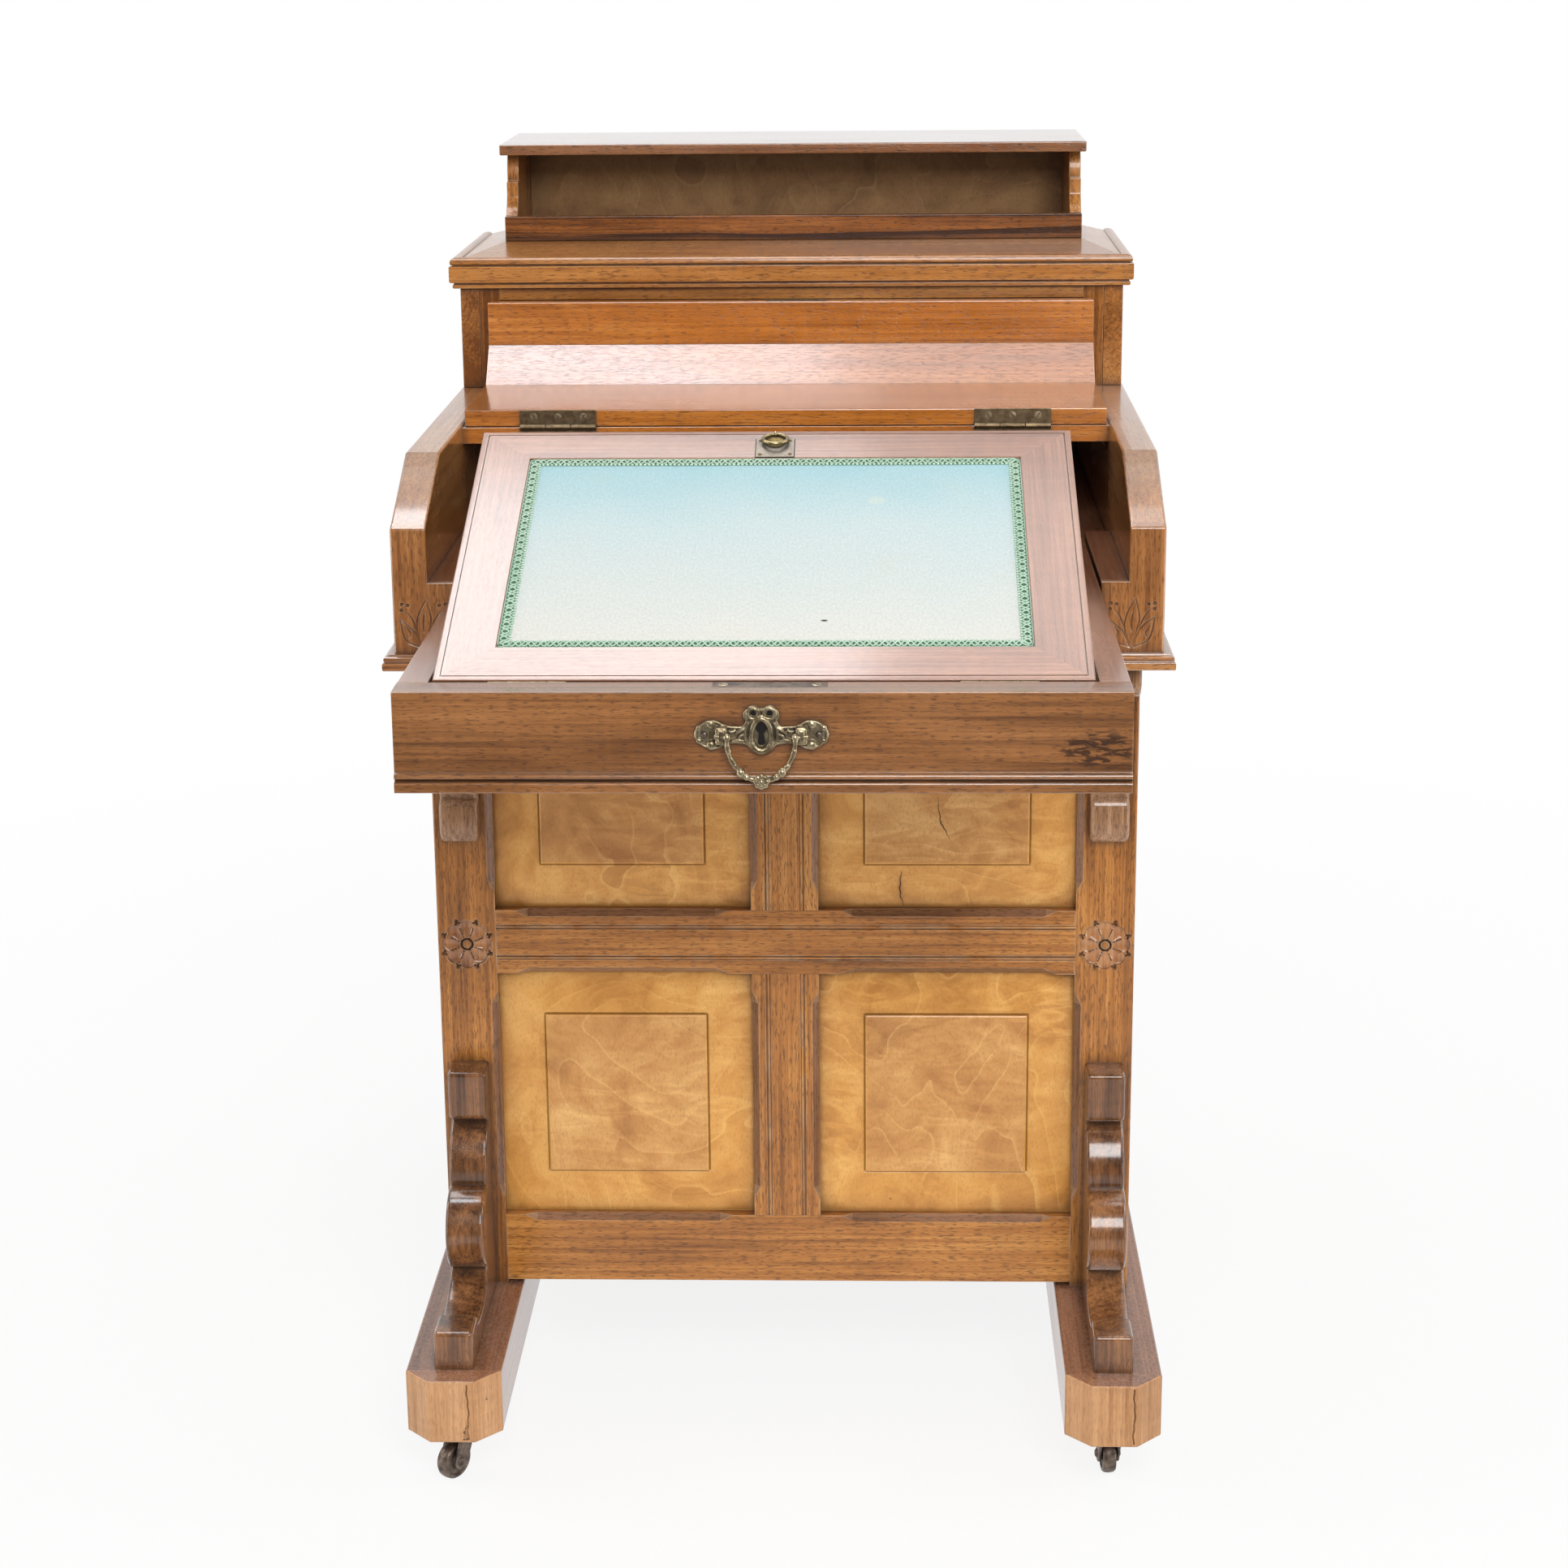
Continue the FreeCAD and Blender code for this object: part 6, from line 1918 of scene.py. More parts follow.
    def guides(self) -> None:
        """Blocks and runners inside the cheeks."""
        mould = Mould(73)
        shape = [(self.start, self.base), (-40, self.base), (-40, 649), (488, 649), (488, 691),
                 (83, 691), (83, self.guide_top), (self.start, self.guide_top)]
        for side in LEFT_RIGHT:
            mould.take(prism(shape, "x", *mirrored(side, self.guide, self.inner - 0.05), 0.5), "y")
        self.put("box_guide_boards", mould, Finish.RED, "desk", ["box_guides"])

    def mouldings(self) -> None:
        """A lip with a bead above it round the front and outer side of each cheek."""
        mould = Mould(74)
        for side in LEFT_RIGHT:
            path = [(side * self.guide, self.front), (side * self.outer, self.front),
                    (side * self.outer, self.rear)]
            for run, grain in zip(mitred_runs(self.LIP, path[::side]), "xy"[::side]):
                mould.take(run, grain)
        self.put("body_base_moulding", mould, Finish.CHEEK, "desk", ["base_moulding"])

    def boards(self) -> None:
        """Bottom, back and the fixed board of the top."""
        bottom, back, fixed = Mould(75), Mould(76), Mould(77)
        bottom.board((-self.inner, -40, self.base), (self.inner, self.rear, 649), 0.6)
        back.board((-self.inner, 488, 649), (self.inner, self.rear, self.top), 0.6)
        shape = [(488, 766), (488, 779), (114.4, 779), (114, 778.6), (114, 766.4), (114.4, 766)]
        notched = [*shape[:2], (115.4, 779), (115.0, 777.6), (114, 776.9), *shape[4:]]
        Lid.hinged_board(fixed, self.inner, shape, notched)
        self.put("body_bottom_board", bottom, Finish.DARK, "desk", ["body_bottom"])
        self.put("body_back_board", back, Finish.DARK, "desk", ["body_back"])
        self.put("fixed_top_board", fixed, Finish.LID, "desk", ["rear_lid_board"])


# ---------------------------------------------------------------- lid


@dataclass
class Lid(SubAssembly):
    """The folded lid, its hinges and the lock's keeper."""

    line: float = 114.0
    axis_y: float = 112.4
    axis_z: float = 779.25
    low: float = 779.5
    thick: float = 13.0
    bend: float = 244.0
    apron: float = 272.0
    rise: float = 821.5
    edge: float = 856.9
    mitre: float = 5.5
    half: float = 252.0
    hinges: tuple[float, float] = (-178.5, 178.5)
    plate: float = 60.0
    top_axis: tuple[float, float] = (502.6, 866.0)
    METALS = (Finish.HINGE, Finish.SCREW)

    @staticmethod
    def hinged_board(mould: Mould, half: float, shape: Sequence[Flat],
                     notched: Sequence[Flat]) -> None:
        """A board in lengths of one plank, some of them notched round a hinge.

        Args:
            mould: where it goes.
            half: half its length.
            shape: its section.
            notched: its section beside a hinge.
        """
        marks = (-half, -208.9, -148.1, 148.1, 208.9, half)
        timber = None
        for number, span in enumerate(zip(marks, marks[1:])):
            solid = prism(notched if number % 2 else shape, "x", *span)
            timber = timber or mould.timber(solid)
            mould.take(solid, "x", timber=timber)

    def build(self) -> None:
        """Build the lid."""
        self.boards()
        self.hinge_set()
        self.keeper()

    def boards(self) -> None:
        """Flat, slope and apron, mitred together."""
        mould = Mould(80)
        line, low, top = self.line, self.low, self.low + self.thick
        shape = [(line + 0.7, low), (self.bend + self.mitre, low), (self.bend, top),
                 (line + 1.2, top), (line + 0.3, top - 0.35), (line, top - 1.1),
                 (line, low + 0.7)]
        notched = [(line, low + 2.2), (line + 1.0, low + 1.4), (line + 1.4, low), *shape[1:-1]]
        self.hinged_board(mould, self.half, shape, notched)
        outer = self.apron + self.thick
        slope = [(self.bend + self.mitre + 0.1, low), (outer, self.rise - self.mitre),
                 (self.apron, self.rise - 0.1), (self.bend + 0.1, top)]
        front = [(outer, self.rise - self.mitre + 0.15), (outer, self.edge),
                 (self.apron, self.edge), (self.apron, self.rise + 0.12)]
        # The slope's upper face takes the darker painted-shade copy of the lid's walnut.
        mould.take(prism(slope, "x", -self.half, self.half), "x",
                   pick=lambda face: int(face.normal.z > 0.3))
        apron = prism(front, "x", -self.half, self.half)
        ease_edges(apron, 1.2, 3, lambda edge: all(v.co.z > self.edge - 1 for v in edge.verts))
        mould.take(apron, "x")
        self.put("folded_lid", mould, (Finish.LID, Finish.SLOPE), "lid", ["lid_flap"])

    def knuckle(self, mould: Mould, x: float, length: float, axis: Flat) -> None:
        """One length of a hinge's barrel, from its left end x, round a pin at (depth, height)."""
        profile = [(0, 2.1), (0.35, 2.5), (length - 0.35, 2.5), (length, 2.1)]
        mould.take(lathe(profile, 20), "x", at(x, *axis))

    def hinge_set(self) -> None:
        """The lid's leaves, and the fixed leaves of both pairs of hinges."""
        moving, fixed, lifting = Mould(81), Mould(82), Mould(83)
        axis = (self.axis_y, self.axis_z)
        level = self.top_axis[1]
        for centre in self.hinges:
            start, end = centre - self.plate / 2, centre + self.plate / 2

            def leaf(mould: Mould, near: float, far: float, low: float, high: float) -> None:
                """A flat leaf between two depths and two heights."""
                mould.board((start, near, low), (end, far, high), 0.3)
            leaf(moving, axis[0] + 0.1, axis[0] + 1.6, axis[1] + 1.5, self.low + self.thick + 0.2)
            self.knuckle(moving, start + 20.2, 19.6, axis)
            for offset, turn in ((-19, 62), (0, 48), (20, 118)):
                moving.take(slotted_screw(3.1, turn), "x",
                            at(centre + offset, axis[0] + 0.3, 787.4), slot=1)
            leaf(fixed, axis[0] + 0.1, axis[0] + 1.6, 766, axis[1] - 1.5)
            for pin in (axis, self.top_axis):
                for offset in (0.0, 40.0):
                    self.knuckle(fixed, start + offset, 20, pin)
            self.knuckle(lifting, start + 20.2, 19.6, self.top_axis)
            leaf(fixed, 500, 501.5, level - 15.5, level - 1.5)
            leaf(lifting, 500, 501.5, level + 1.5, level + 15.5)
            for offset, turn in ((-20, 35), (0, 80), (20, 140)):
                for mould, high in ((fixed, level - 8.6), (lifting, level + 8.6)):
                    mould.take(slotted_screw(2.6, turn), "x",
                               at(centre + offset, 501.4, high) @ turned(180, "Z"), slot=1)
        for name, mould, body, node in (
                ("lid_hinge_plates", moving, "lid", "lid_hinge_leaves"),
                ("fixed_hinge_plates", fixed, "desk", "fixed_hinge_leaves"),
                ("top_hinge_plates", lifting, "moulded_top", "top_hinge_leaves")):
            self.put(name, mould, self.METALS, body, [node], Slot.OLD_BRASS)

    def keeper(self) -> None:
        """The lock's keeper: a thin plate with two slots."""
        mould = Mould(84)
        y, z = self.apron + 2.0, self.edge
        cells = [(*span, 0, 9) for span in ((-20.5, -13), (-8, 18), (23, 30.5))]
        cells += [(left - 0.05, right + 0.05, *depth) for left, right in ((-13, -8), (18, 23))
                  for depth in ((0, 3), (6, 9))]
        for left, right, near, far in cells:
            mould.board((left, y + near, z), (right, y + far, z + 0.45), 0.1)
        self.put("lock_keeper", mould, Finish.HINGE, "lid", ["strike_plate"], Slot.OLD_BRASS)


# ---------------------------------------------------------------- writing box


@dataclass
class WritingBox(SubAssembly):
    """The sliding box with its lock and its cast handle."""

    half: float = 232.5
    face: float = -399.0
    thick: float = 25.0
    low: float = 637.0
    lip: float = 633.5
    top: float = 699.0
    floor: float = 651.0
    length: float = 467.0
    handle: float = 672.0
    BEAD = ((0.0, 13.4), (-0.2, 12.9), (-1.4, 12.4), (-2.2, 11.4), (-2.5, 10.2), (-2.1, 9.2),
            (-1.0, 8.7), (0.6, 8.5), (0.7, 7.7), (-1.6, 7.4), (-2.6, 6.6), (-3.0, 5.4),
            (-3.0, 1.0), (-2.6, 0.3), (-2.0, 0.0))
    PLATE = ((0, -13.8), (6.4, -10.6, 9, 1), (9.8, -6.4, 9, -1), (17, -5.2), (22, -5.8),
             (27.2, -8.4, 9, -1), (33, -9.0, 7, 1), (39.0, -6.2, 7.5, 1), (42.5, 0, 7.5, 1),
             (39.0, 6.2, 7.5, 1), (33, 8.8, 7, 1), (27.6, 8.0, 7, 1), (20, 4.9, 16, -1),
             (13.7, 4.7), (10.2, 7.0, 5, -1), (9.4, 9.6), (9.6, 16.6, 4.8, 1),
             (3.2, 18.3, 5.4, 1), (0, 16.6))
    FOLDS = (((7.6, 8.0), (9.9, 3.0), (9.6, -3.2), (6.6, -9.0)),
             ((9.6, 4.6), (12.6, 3.0), (16.4, 0.2)), ((10.6, 0.6), (13.4, -0.8), (15.0, -3.0)),
             ((11.0, -4.0), (14.5, -3.4), (19.0, -3.8)), ((16.0, 3.0), (19.0, 1.8), (20.8, 2.6)))
    KEYHOLE = ((1.2, -6.1), (2.2, -5.2), (2.1, -4.0), (1.5, 1.2))
    BAIL = ((21.4, -1.0), (21.2, -6.0), (19.8, -12.0), (16.6, -18.2), (12.2, -23.4),
            (6.6, -27.0), (0.0, -28.4))
    KNOTS = ((21.3, -0.4, -0.4, 2.5), (20.6, -1.0, -9.0, 2.0), (13.0, -1.4, -22.6, 2.9),
             (9.4, -1.4, -25.6, 2.1), (16.4, -1.2, -18.6, 1.9))

    def build(self) -> None:
        """Build the writing box."""
        self.front()
        self.tray()
        self.lock()
        self.backplate()
        self.keyhole()
        self.bail()

    def front(self) -> None:
        """The front board: lip, bead and a long flat face."""
        mould = Mould(90)
        back, top = self.thick, self.top - self.lip
        shape = [(back, 0.0), (back, top - 0.6), (back - 0.6, top), (1.0, top),
                 (0.3, top - 0.3), (0.0, top - 1.0), *self.BEAD]
        board = prism([(self.face + y, self.lip + z) for y, z in shape], "x",
                      -self.half, self.half)
        plank = (Vector((0, self.face, (self.low + self.top) / 2)), Vector((0.0, 0.05, 0.08)), 0.0)
        mould.take(board, "x", timber=plank)
        self.put("box_front_board", mould, Finish.FRONT, "box", ["box_front"], crease=50.0)

    def tray(self) -> None:
        """Sides, back, floor, divider and the ratchet under the flap."""
        mould = Mould(91)
        start = self.face + self.thick
        back = self.face + self.length - 14
        inner, floor = self.half - 20, self.floor
        divider = start + 317.25
        for side in LEFT_RIGHT:
            low, high = mirrored(side, inner, self.half)
            mould.board((low, start + 0.1, floor), (high, back + 14, self.top), 0.9, "y")
        mould.board((-inner, back, floor), (inner, back + 14, self.top), 0.8)
        mould.board((-inner, start, floor), (inner, back, floor + 6), 0.2, slot=1)
        mould.board((-inner, divider, floor + 6), (inner, divider + 9, 681), 1.2, slot=1)
        teeth = [(-312.25, 657), (-192.25, 657), (-192.25, 661)]
        for k in range(10):
            y = -192.25 - 12 * k
            teeth += [(y - 3.0, 661.0), (y - 11.0, 658.6), (y - 12.0, 661.0)]
        mould.take(prism(teeth, "x", -15, 15), "y", slot=1)
        self.put("box_tray_boards", mould, (Finish.RED, Finish.PALE), "box", ["box_tray"])

    def lock(self) -> None:
        """The lock's top plate with its bolt and two screws."""
        mould = Mould(92)
        y, z = self.face + 12, self.top
        low, high = -31.5, 41.5
        for left, right, near, far, top, ease in (
                (low, -8, 0, 12, 0.12, 0.15), (18, high, 0, 12, 0.12, 0.15),
                (-8.1, 18.1, 0, 3.4, 0.12, 0.1), (-8.1, 18.1, 8.6, 12, 0.12, 0.1),
                (-7.6, 17.6, 3.8, 8.2, 0.05, 0.1)):
            mould.board((left, y + near, z - 1), (right, y + far, z + top), ease)
        for x, turn in ((low + 7, 25), (high - 7, 30)):
            mould.take(slotted_screw(3.0, turn), "x", at(x, y + 6, z + 0.1) @ turned(-90, "X"),
                       slot=1)
        self.put("lock_top_plate", mould, (Finish.IRON, Finish.SCREW), "box", ["box_lock"],
                 Slot.OLD_BRASS)

    @staticmethod
    def cast(solids: Sequence[Solid], rounds: int) -> Solid:
        """Melt overlapping solids into one cast surface.

        Args:
            solids: the solids, in millimetres; they are freed.
            rounds: how often the surface is smoothed.

        Returns:
            The joined solid.
        """
        mesh = bpy.data.meshes.new("casting")
        whole, result = bmesh.new(), bmesh.new()
        for solid in solids:
            solid.to_mesh(mesh)
            solid.free()
            whole.from_mesh(mesh)
        whole.to_mesh(mesh)
        whole.free()
        holder = bpy.data.objects.new("casting", mesh)
        bpy.context.scene.collection.objects.link(holder)
        melt = holder.modifiers.new("melt", "REMESH")
        melt.mode, melt.voxel_size = "VOXEL", 0.34
        soften = holder.modifiers.new("soften", "SMOOTH")
        soften.factor, soften.iterations = 0.5, rounds
        result.from_object(holder, bpy.context.evaluated_depsgraph_get())
        bpy.data.objects.remove(holder)
        bpy.data.meshes.remove(mesh)
        return result

    @property
    def where(self) -> Matrix:
        """The middle of the handle, on the box's face."""
        return at(0, self.face, self.handle)

    def backplate(self) -> None:
        """A cast backplate: keyhole shield, two loops, folded leaves, bosses and nails."""
        right = outline(self.PLATE)
        body = right + [(-x, z) for x, z in reversed(right[1:-1])]
        border = [Vector((x * 0.968, -2.3, z * 0.93 + 0.1)) for x, z in body]
        shield = ring_path((0, -3.1, 0.0), (6.4, 0, 0), (0, 0, 10.4), 32)
        for point in shield:
            point.x *= 1.0 - 0.012 * point.z
        parts = [prism(body, "y", -2.0, 0.0), tube(border, 0.9, 8, True),
                 tube(shield, [1.75 + max(0.0, -4.0 - p.z) * 0.14 for p in shield], 12, True)]
        for side in LEFT_RIGHT:
            loop = ring_path((side * 5.2, -2.6, 13.7), (3.5, 0, 0), (0, 0, 3.4), 22)
            parts.append(tube(loop, 1.25, 8, True))
            for fold in self.FOLDS:
                path = smooth_line([Vector((side * x, -2.9, z)) for x, z in fold], 5)
                parts.append(tube(path, [1.15 - 0.45 * abs(2 * k / len(path) - 1)
                                         for k in range(len(path))], 8))
            for inner, outer, low, high, ease, steps in (
                    (21.4, 28.8, (-8.6, -5.6), (-1.0, 5.8), 1.5, 3),
                    (23.2, 27.0, (-9.6, -3.4), (-8.0, 4.4), 0.9, 2)):
                left, far = mirrored(side, inner, outer)
                parts.append(block((left, *low), (far, *high), ease, steps))
            for x, z, wide, deep in ((31.6, 6.3, 3.0, 3.6), (31.4, -6.9, 3.5, 4.4),
                                     (39.0, 4.2, 2.2, 3.0), (39.0, -4.2, 2.2, 3.0)):
                parts.append(ball((side * x, -1.6, z), (wide, deep * 0.6, wide)))
        parts += [ball((0, -2.6, 11.4), (1.7, 1.6, 2.0)), ball((0, -2.6, 16.2), (1.5, 1.3, 1.2))]
        mould = Mould(93)
        mould.take(self.cast(parts, 1), "x", self.where)
        for side in LEFT_RIGHT:
            mould.take(ball((side * 36.0, -2.6, 0), (2.3, 1.5, 2.3)), "x", self.where, slot=1)
        self.put("cast_backplate", mould, (Finish.CAST, Finish.IRON), "box", ["handle_plate"],
                 Slot.OLD_BRASS, crease=80.0)

    def keyhole(self) -> None:
        """Painted shadow: dark fills inside the keyhole and the two loops."""
        mould = Mould(94)
        arch = [(3.3 * math.sin(math.radians(a)), 4.4 - 3.3 * math.cos(math.radians(a)))
                for a in range(30, 331, 20)]
        hole = [(-1.2, -6.1), *self.KEYHOLE, *arch,
                *((-x, z) for x, z in reversed(self.KEYHOLE[1:]))]
        mould.take(prism(hole, "y", -3.0, -1.0), "x", self.where)
        for side in LEFT_RIGHT:
            mould.take(ball((side * 5.2, -1.4, 13.7), (1.9, 1.4, 1.8)), "x", self.where)
        self.put("keyhole", mould, Finish.VOID, "box", slot=Slot.OLD_BRASS)

    def bail(self) -> None:
        """The hanging bail with its knots and a flower at the bottom."""
        bend = [*self.BAIL, *((-x, z) for x, z in self.BAIL[-2::-1])]
        path = smooth_line([Vector((x, -1.0, z)) for x, z in bend], 6)
        parts = [tube(path, [1.7 + 0.25 * math.sin(k * 0.7) for k in range(len(path))], 12)]
        for side in LEFT_RIGHT:
            pin = [Vector((side * x, 0, 0)) for x in (20.0, 25.0, 29.5)]
            parts.append(tube(pin, [1.9, 1.7, 1.5], 12))
            for x, y, z, size in self.KNOTS:
                parts.append(ball((side * x, y, z), (size, size, size * 1.1)))
        for across, up in circle(8):
            parts.append(ball((3.4 * across, -2.6, -28.4 + 3.4 * up), (1.8, 1.3, 1.8), 7))
        for y, z, radii in ((-3.8, -28.4, (1.8, 1.4, 1.8)), (-1.8, -28.4, (4.8, 1.8, 4.4)),
                            (-1.8, -32.0, (1.8, 1.5, 1.8))):
            parts.append(ball((0, y, z), radii))
        mould = Mould(95)
        mould.take(self.cast(parts, 2), "x", self.where @ at(0, -8.0, 0))
        self.put("cast_bail", mould, Finish.CAST, "bail", ["bail_handle"], Slot.OLD_BRASS,
                 crease=80.0)


# ---------------------------------------------------------------- writing flap


@dataclass
class WritingFlap(SubAssembly):
    """The raised slope: mitred frame, cloth, braid, ring pull and prop."""

    angle: float = 21.0
    line: float = -372.25
    level: float = 697.55
    half: float = 210.5
    near: float = 1.75
    length: float = 307.0
    border: float = 37.0
    top: float = 1.45
    thick: float = 14.0
    cloth_size: tuple[float, float] = (347.0, 233.0)
    PLATE = ((-13.6, -19.2), (13.6, -19.2), (13.6, 5.2), (10.4, 6.4), (3.4, 12.4, 14, -1),
             (-3.4, 12.4, 8, 1), (-10.4, 6.4, 14, -1), (-13.6, 5.2))
    CUP = ((0.5, 7.2), (1.5, 6.9), (1.6, 6.3), (1.1, 5.6), (0.7, 3.8), (0.6, 0))

    def build(self) -> None:
        """Build the flap."""
        self.frame()
        self.cloth()
        self.hinges()
        self.ring_pull()
        self.prop()

    @property
    def where(self) -> Matrix:
        """From the flap's own frame to the desk."""
        return at(0, self.line, self.level) @ turned(self.angle, "X")

    def round_runs(self, mould: Mould, profile: Sequence[Flat], corners: Sequence[Flat],
                   slot: int = 0) -> None:
        """Four mitred lengths round a rectangle.

        Args:
            mould: where they go.
            profile: their section.
            corners: the rectangle's lowest and highest corner.
            slot: which of the piece's materials they have.
        """
        (x0, y0), (x1, y1) = corners
        path = ((x0, y0), (x1, y0), (x1, y1), (x0, y1))
        for run, grain in zip(mitred_runs(profile, path, closed=True), "xyxy"):
            mould.take(run, grain, self.where, slot)

    def frame(self) -> None:
        """Four mitred borders with a thin line near the outer edge, and the core."""
        mould, core = Mould(100), Mould(101)
        far = self.near + self.length
        base, top, wide = self.top - self.thick, self.top, self.border
        profile = [(-wide, base), (0, base), (0, top - 0.9), (-0.3, top - 0.3), (-0.9, top),
                   (-4.2, top), (-4.5, top - 0.9), (-4.9, top - 0.9), (-5.2, top),
                   (-wide + 0.6, top), (-wide, top - 0.5)]
        self.round_runs(mould, profile, ((-self.half, self.near), (self.half, far)))
        self.put("mitred_flap_frame", mould, Finish.RED, "flap", ["flap_frame"])
        inner = self.half - wide
        core.take(block((-inner, self.near + wide, base + 2.5),
                        (inner, far - wide, top - 2.5), 0.2), "x", self.where)
        self.put("flap_core_board", core, Finish.PALE, "flap", ["flap_panel"], Slot.PALE)

    def cloth(self) -> None:
        """The laid cloth and the braid that edges it."""
        mould, braid = Mould(102), Mould(103)
        wide, tall = self.cloth_size
        columns, rows = 70, 48
        low, level = self.near + self.border, self.top - 1.5

        def point(i: int, j: int) -> Flat:
            """A corner of the cloth's grid, with a slight wave inside its edges.

            Args:
                i: its column.
                j: its row.

            Returns:
                Its place.
            """
            x, y = wide * (i / columns - 0.5), tall * j / rows
            lift = 0.10 * math.sin(x * 0.045 + 1.3) * math.sin(y * 0.06 + 0.4)
            edge = i in (0, columns) or j in (0, rows)
            return x, low + y, level + (0.0 if edge else lift)
        sheet = bmesh.new()
        height_field(sheet, columns, rows, point)
        mould.take(sheet, "x", self.where,
                   timber=(Vector((0, low + tall / 2, 0)), Vector((0, 0, 0)), 0.0))
        cloth = self.put("baize_sheet", mould, Finish.BAIZE, "flap", ["writing_cloth"],
                         Slot.CLOTH)
        corners = ((-wide / 2, low), (wide / 2, low + tall))
        tape = [(-0.2, level), (-0.2, level + 0.35), (-7.8, level + 0.35), (-7.8, level)]
        self.round_runs(braid, tape, corners, 1)
        line = self.closed_line(corners, 4.0, 0.5)
        total = len(line) * 0.5

        def cord(radius: float, sides: int, period: float, *swing: float) -> None:
            """Lay one cord that swings about once in a period."""
            path = self.weave(line, total / round(total / period), *swing)
            braid.take(tube(path, radius, sides, True), "x", self.where)
        cord(0.6, 6, 8.2, 0.0, 2.5, 0.42, level + 0.85)
        cord(0.6, 6, 8.2, math.pi, 2.5, 0.42, level + 0.85)
        cord(0.4, 5, 2.4, 1.0, 0.3, 0.2, level + 0.7, 3.6)
        for centre in self.weave(line, total, 0.0, 0.0, 0.0, level + 0.6, -3.5)[::3]:
            braid.take(ball(centre, (1.15, 1.15, 0.8), 5), "x", self.where)
        trim = self.put("woven_braid", braid, (Finish.BRAID, Finish.TAPE), "flap",
                        ["cloth_braid"], Slot.BRAID, crease=70.0)

    @staticmethod
    def closed_line(corners: Sequence[Flat], inset: float, step: float) -> list[Flat]:
        """A line round a rectangle, inside its edges.

        Args:
            corners: the rectangle's lowest and highest corner.
            inset: how far inside the line runs.
            step: how far apart its points are.

        Returns:
            (x, y, out x, out y) for each point.
        """
        (x0, y0), (x1, y1) = corners
        x0, y0, x1, y1 = x0 + inset, y0 + inset, x1 - inset, y1 - inset
        sides = (((x0, y0), (1, 0), x1 - x0), ((x1, y0), (0, 1), y1 - y0),
                 ((x1, y1), (-1, 0), x1 - x0), ((x0, y1), (0, -1), y1 - y0))
        line = []
        for start, (dx, dy), size in sides:
            count = round(size / step)
            for k in range(count):
                bend = max(0.0, 1.0 - min(k, count - k) / 8.0)
                turn = math.radians(45 * bend) * (-1 if k < count / 2 else 1)
                out = Matrix.Rotation(turn, 2) @ Vector((dy, -dx))
                line.append((start[0] + dx * size * k / count, start[1] + dy * size * k / count,
                             *out))
        return line

    @staticmethod
    def weave(loop: Sequence[Flat], period: float, phase: float, swing: float, lift: float,
              level: float, offset: float = 0.0) -> list[Vector]:
        """A cord that swings from side to side along the braid.

        Args:
            loop: points and outward directions, half a millimetre apart.
            period: the length of one swing.
            phase: where the swing starts.
            swing: how far it goes to each side.
            lift: how far it goes over and under.
            level: the height of its middle.
            offset: its distance outward from the braid's middle.

        Returns:
            The cord's points.
        """
        path = []
        for index, (x, y, out_x, out_y) in enumerate(loop[::2]):
            turn = math.tau * index / period + phase
            away = offset + swing * math.sin(turn)
            path.append(Vector((x + out_x * away, y + out_y * away,
                                level + lift * math.cos(turn + phase))))
        return path

    def hinges(self) -> None:
        """Two slim brass hinges on the front edge."""
        mould = Mould(104)
        for centre in (-150, 150):
            for offset, length in ((-25, 12), (-12.8, 25.6), (13, 12)):
                barrel = lathe([(0, 1.2), (0.2, 1.45), (length - 0.2, 1.45), (length, 1.2)],
                               16)
                mould.take(barrel, "x", self.where @ at(centre + offset, 0, 0))
        self.put("flap_hinge_barrels", mould, Finish.HINGE, "flap", ["flap_hinges"],
                 Slot.OLD_BRASS)

    def ring_pull(self) -> None:
        """A shaped plate with a dished cup, and the ring that lifts from it."""
        mould, ring = Mould(105), Mould(106)
        place = self.where @ at(0, self.near + self.length - 17, self.top)
        shape = outline(self.PLATE)
        # A dark slab just wider than the plate, under it: a painted shadow round the plate's edge.
        seam = [(x + math.copysign(0.5, x), y + math.copysign(0.45, y + 3.0))
                for x, y in shape]
        mould.take(prism(seam, "z", -0.2, 0.12), "x", place, slot=1)
        plate = prism(shape, "z", -0.2, 0.55)
        ease_edges(plate, 0.25, 2, lambda edge: all(v.co.z > 0.5 for v in edge.verts))
        mould.take(plate, "x", place)
        mould.take(lathe(self.CUP, 40), "x", place @ turned(-90, "Y"), slot=2)
        for x, y, turn in ((-10.6, -16, 20), (10.6, -16, 70), (-10.4, 2.6, 110), (10.4, 2.6, 40)):
            mould.take(slotted_screw(1.5, turn), "x",
                       place @ at(x, y, 0.55) @ turned(-90, "X"), slot=2)
        mould.take(block((-3.0, 6.6, 0.4), (3.0, 11.4, 0.85), 0.1), "x", place)
        staple = ring_path((0, 8.5, 2.06), (0, 2.0, 0), (0, 0, 2.0), 12, 0.5)
        mould.take(tube(staple, 0.6, 8), "x", place, slot=3)
        self.put("ring_pull_plate", mould,
                 (Finish.PLATE, Finish.VOID, Finish.CUP, Finish.RING), "flap",
                 ["flap_ring_plate"], Slot.BRASS)
        path = ring_path((0, -8.5, 0), (8.5, 0, 0), (0, 8.5, 0), 48)
        ring.take(tube(path, 1.25, 12, True), "x", place @ at(0, 8.5, 2.07) @ turned(-9.0, "X"))
        self.put("ring_pull", ring, Finish.RING, "ring", ["flap_ring"], Slot.BRASS)

    def prop(self) -> None:
        """The strut under the flap."""
        mould = Mould(107)
        place = self.where @ at(0, 200, self.top - self.thick - 4.35) @ turned(34, "X")
        mould.take(block((-7, -107.9, -3), (7, -1, 3), 1.0, 3), "y", place)
        mould.take(lathe([(-7, 3.0), (-6.4, 3.9), (6.4, 3.9), (7, 3.0)], 24), "x", place)
        self.put("prop_strut", mould, Finish.DARK, "prop", ["flap_prop"])


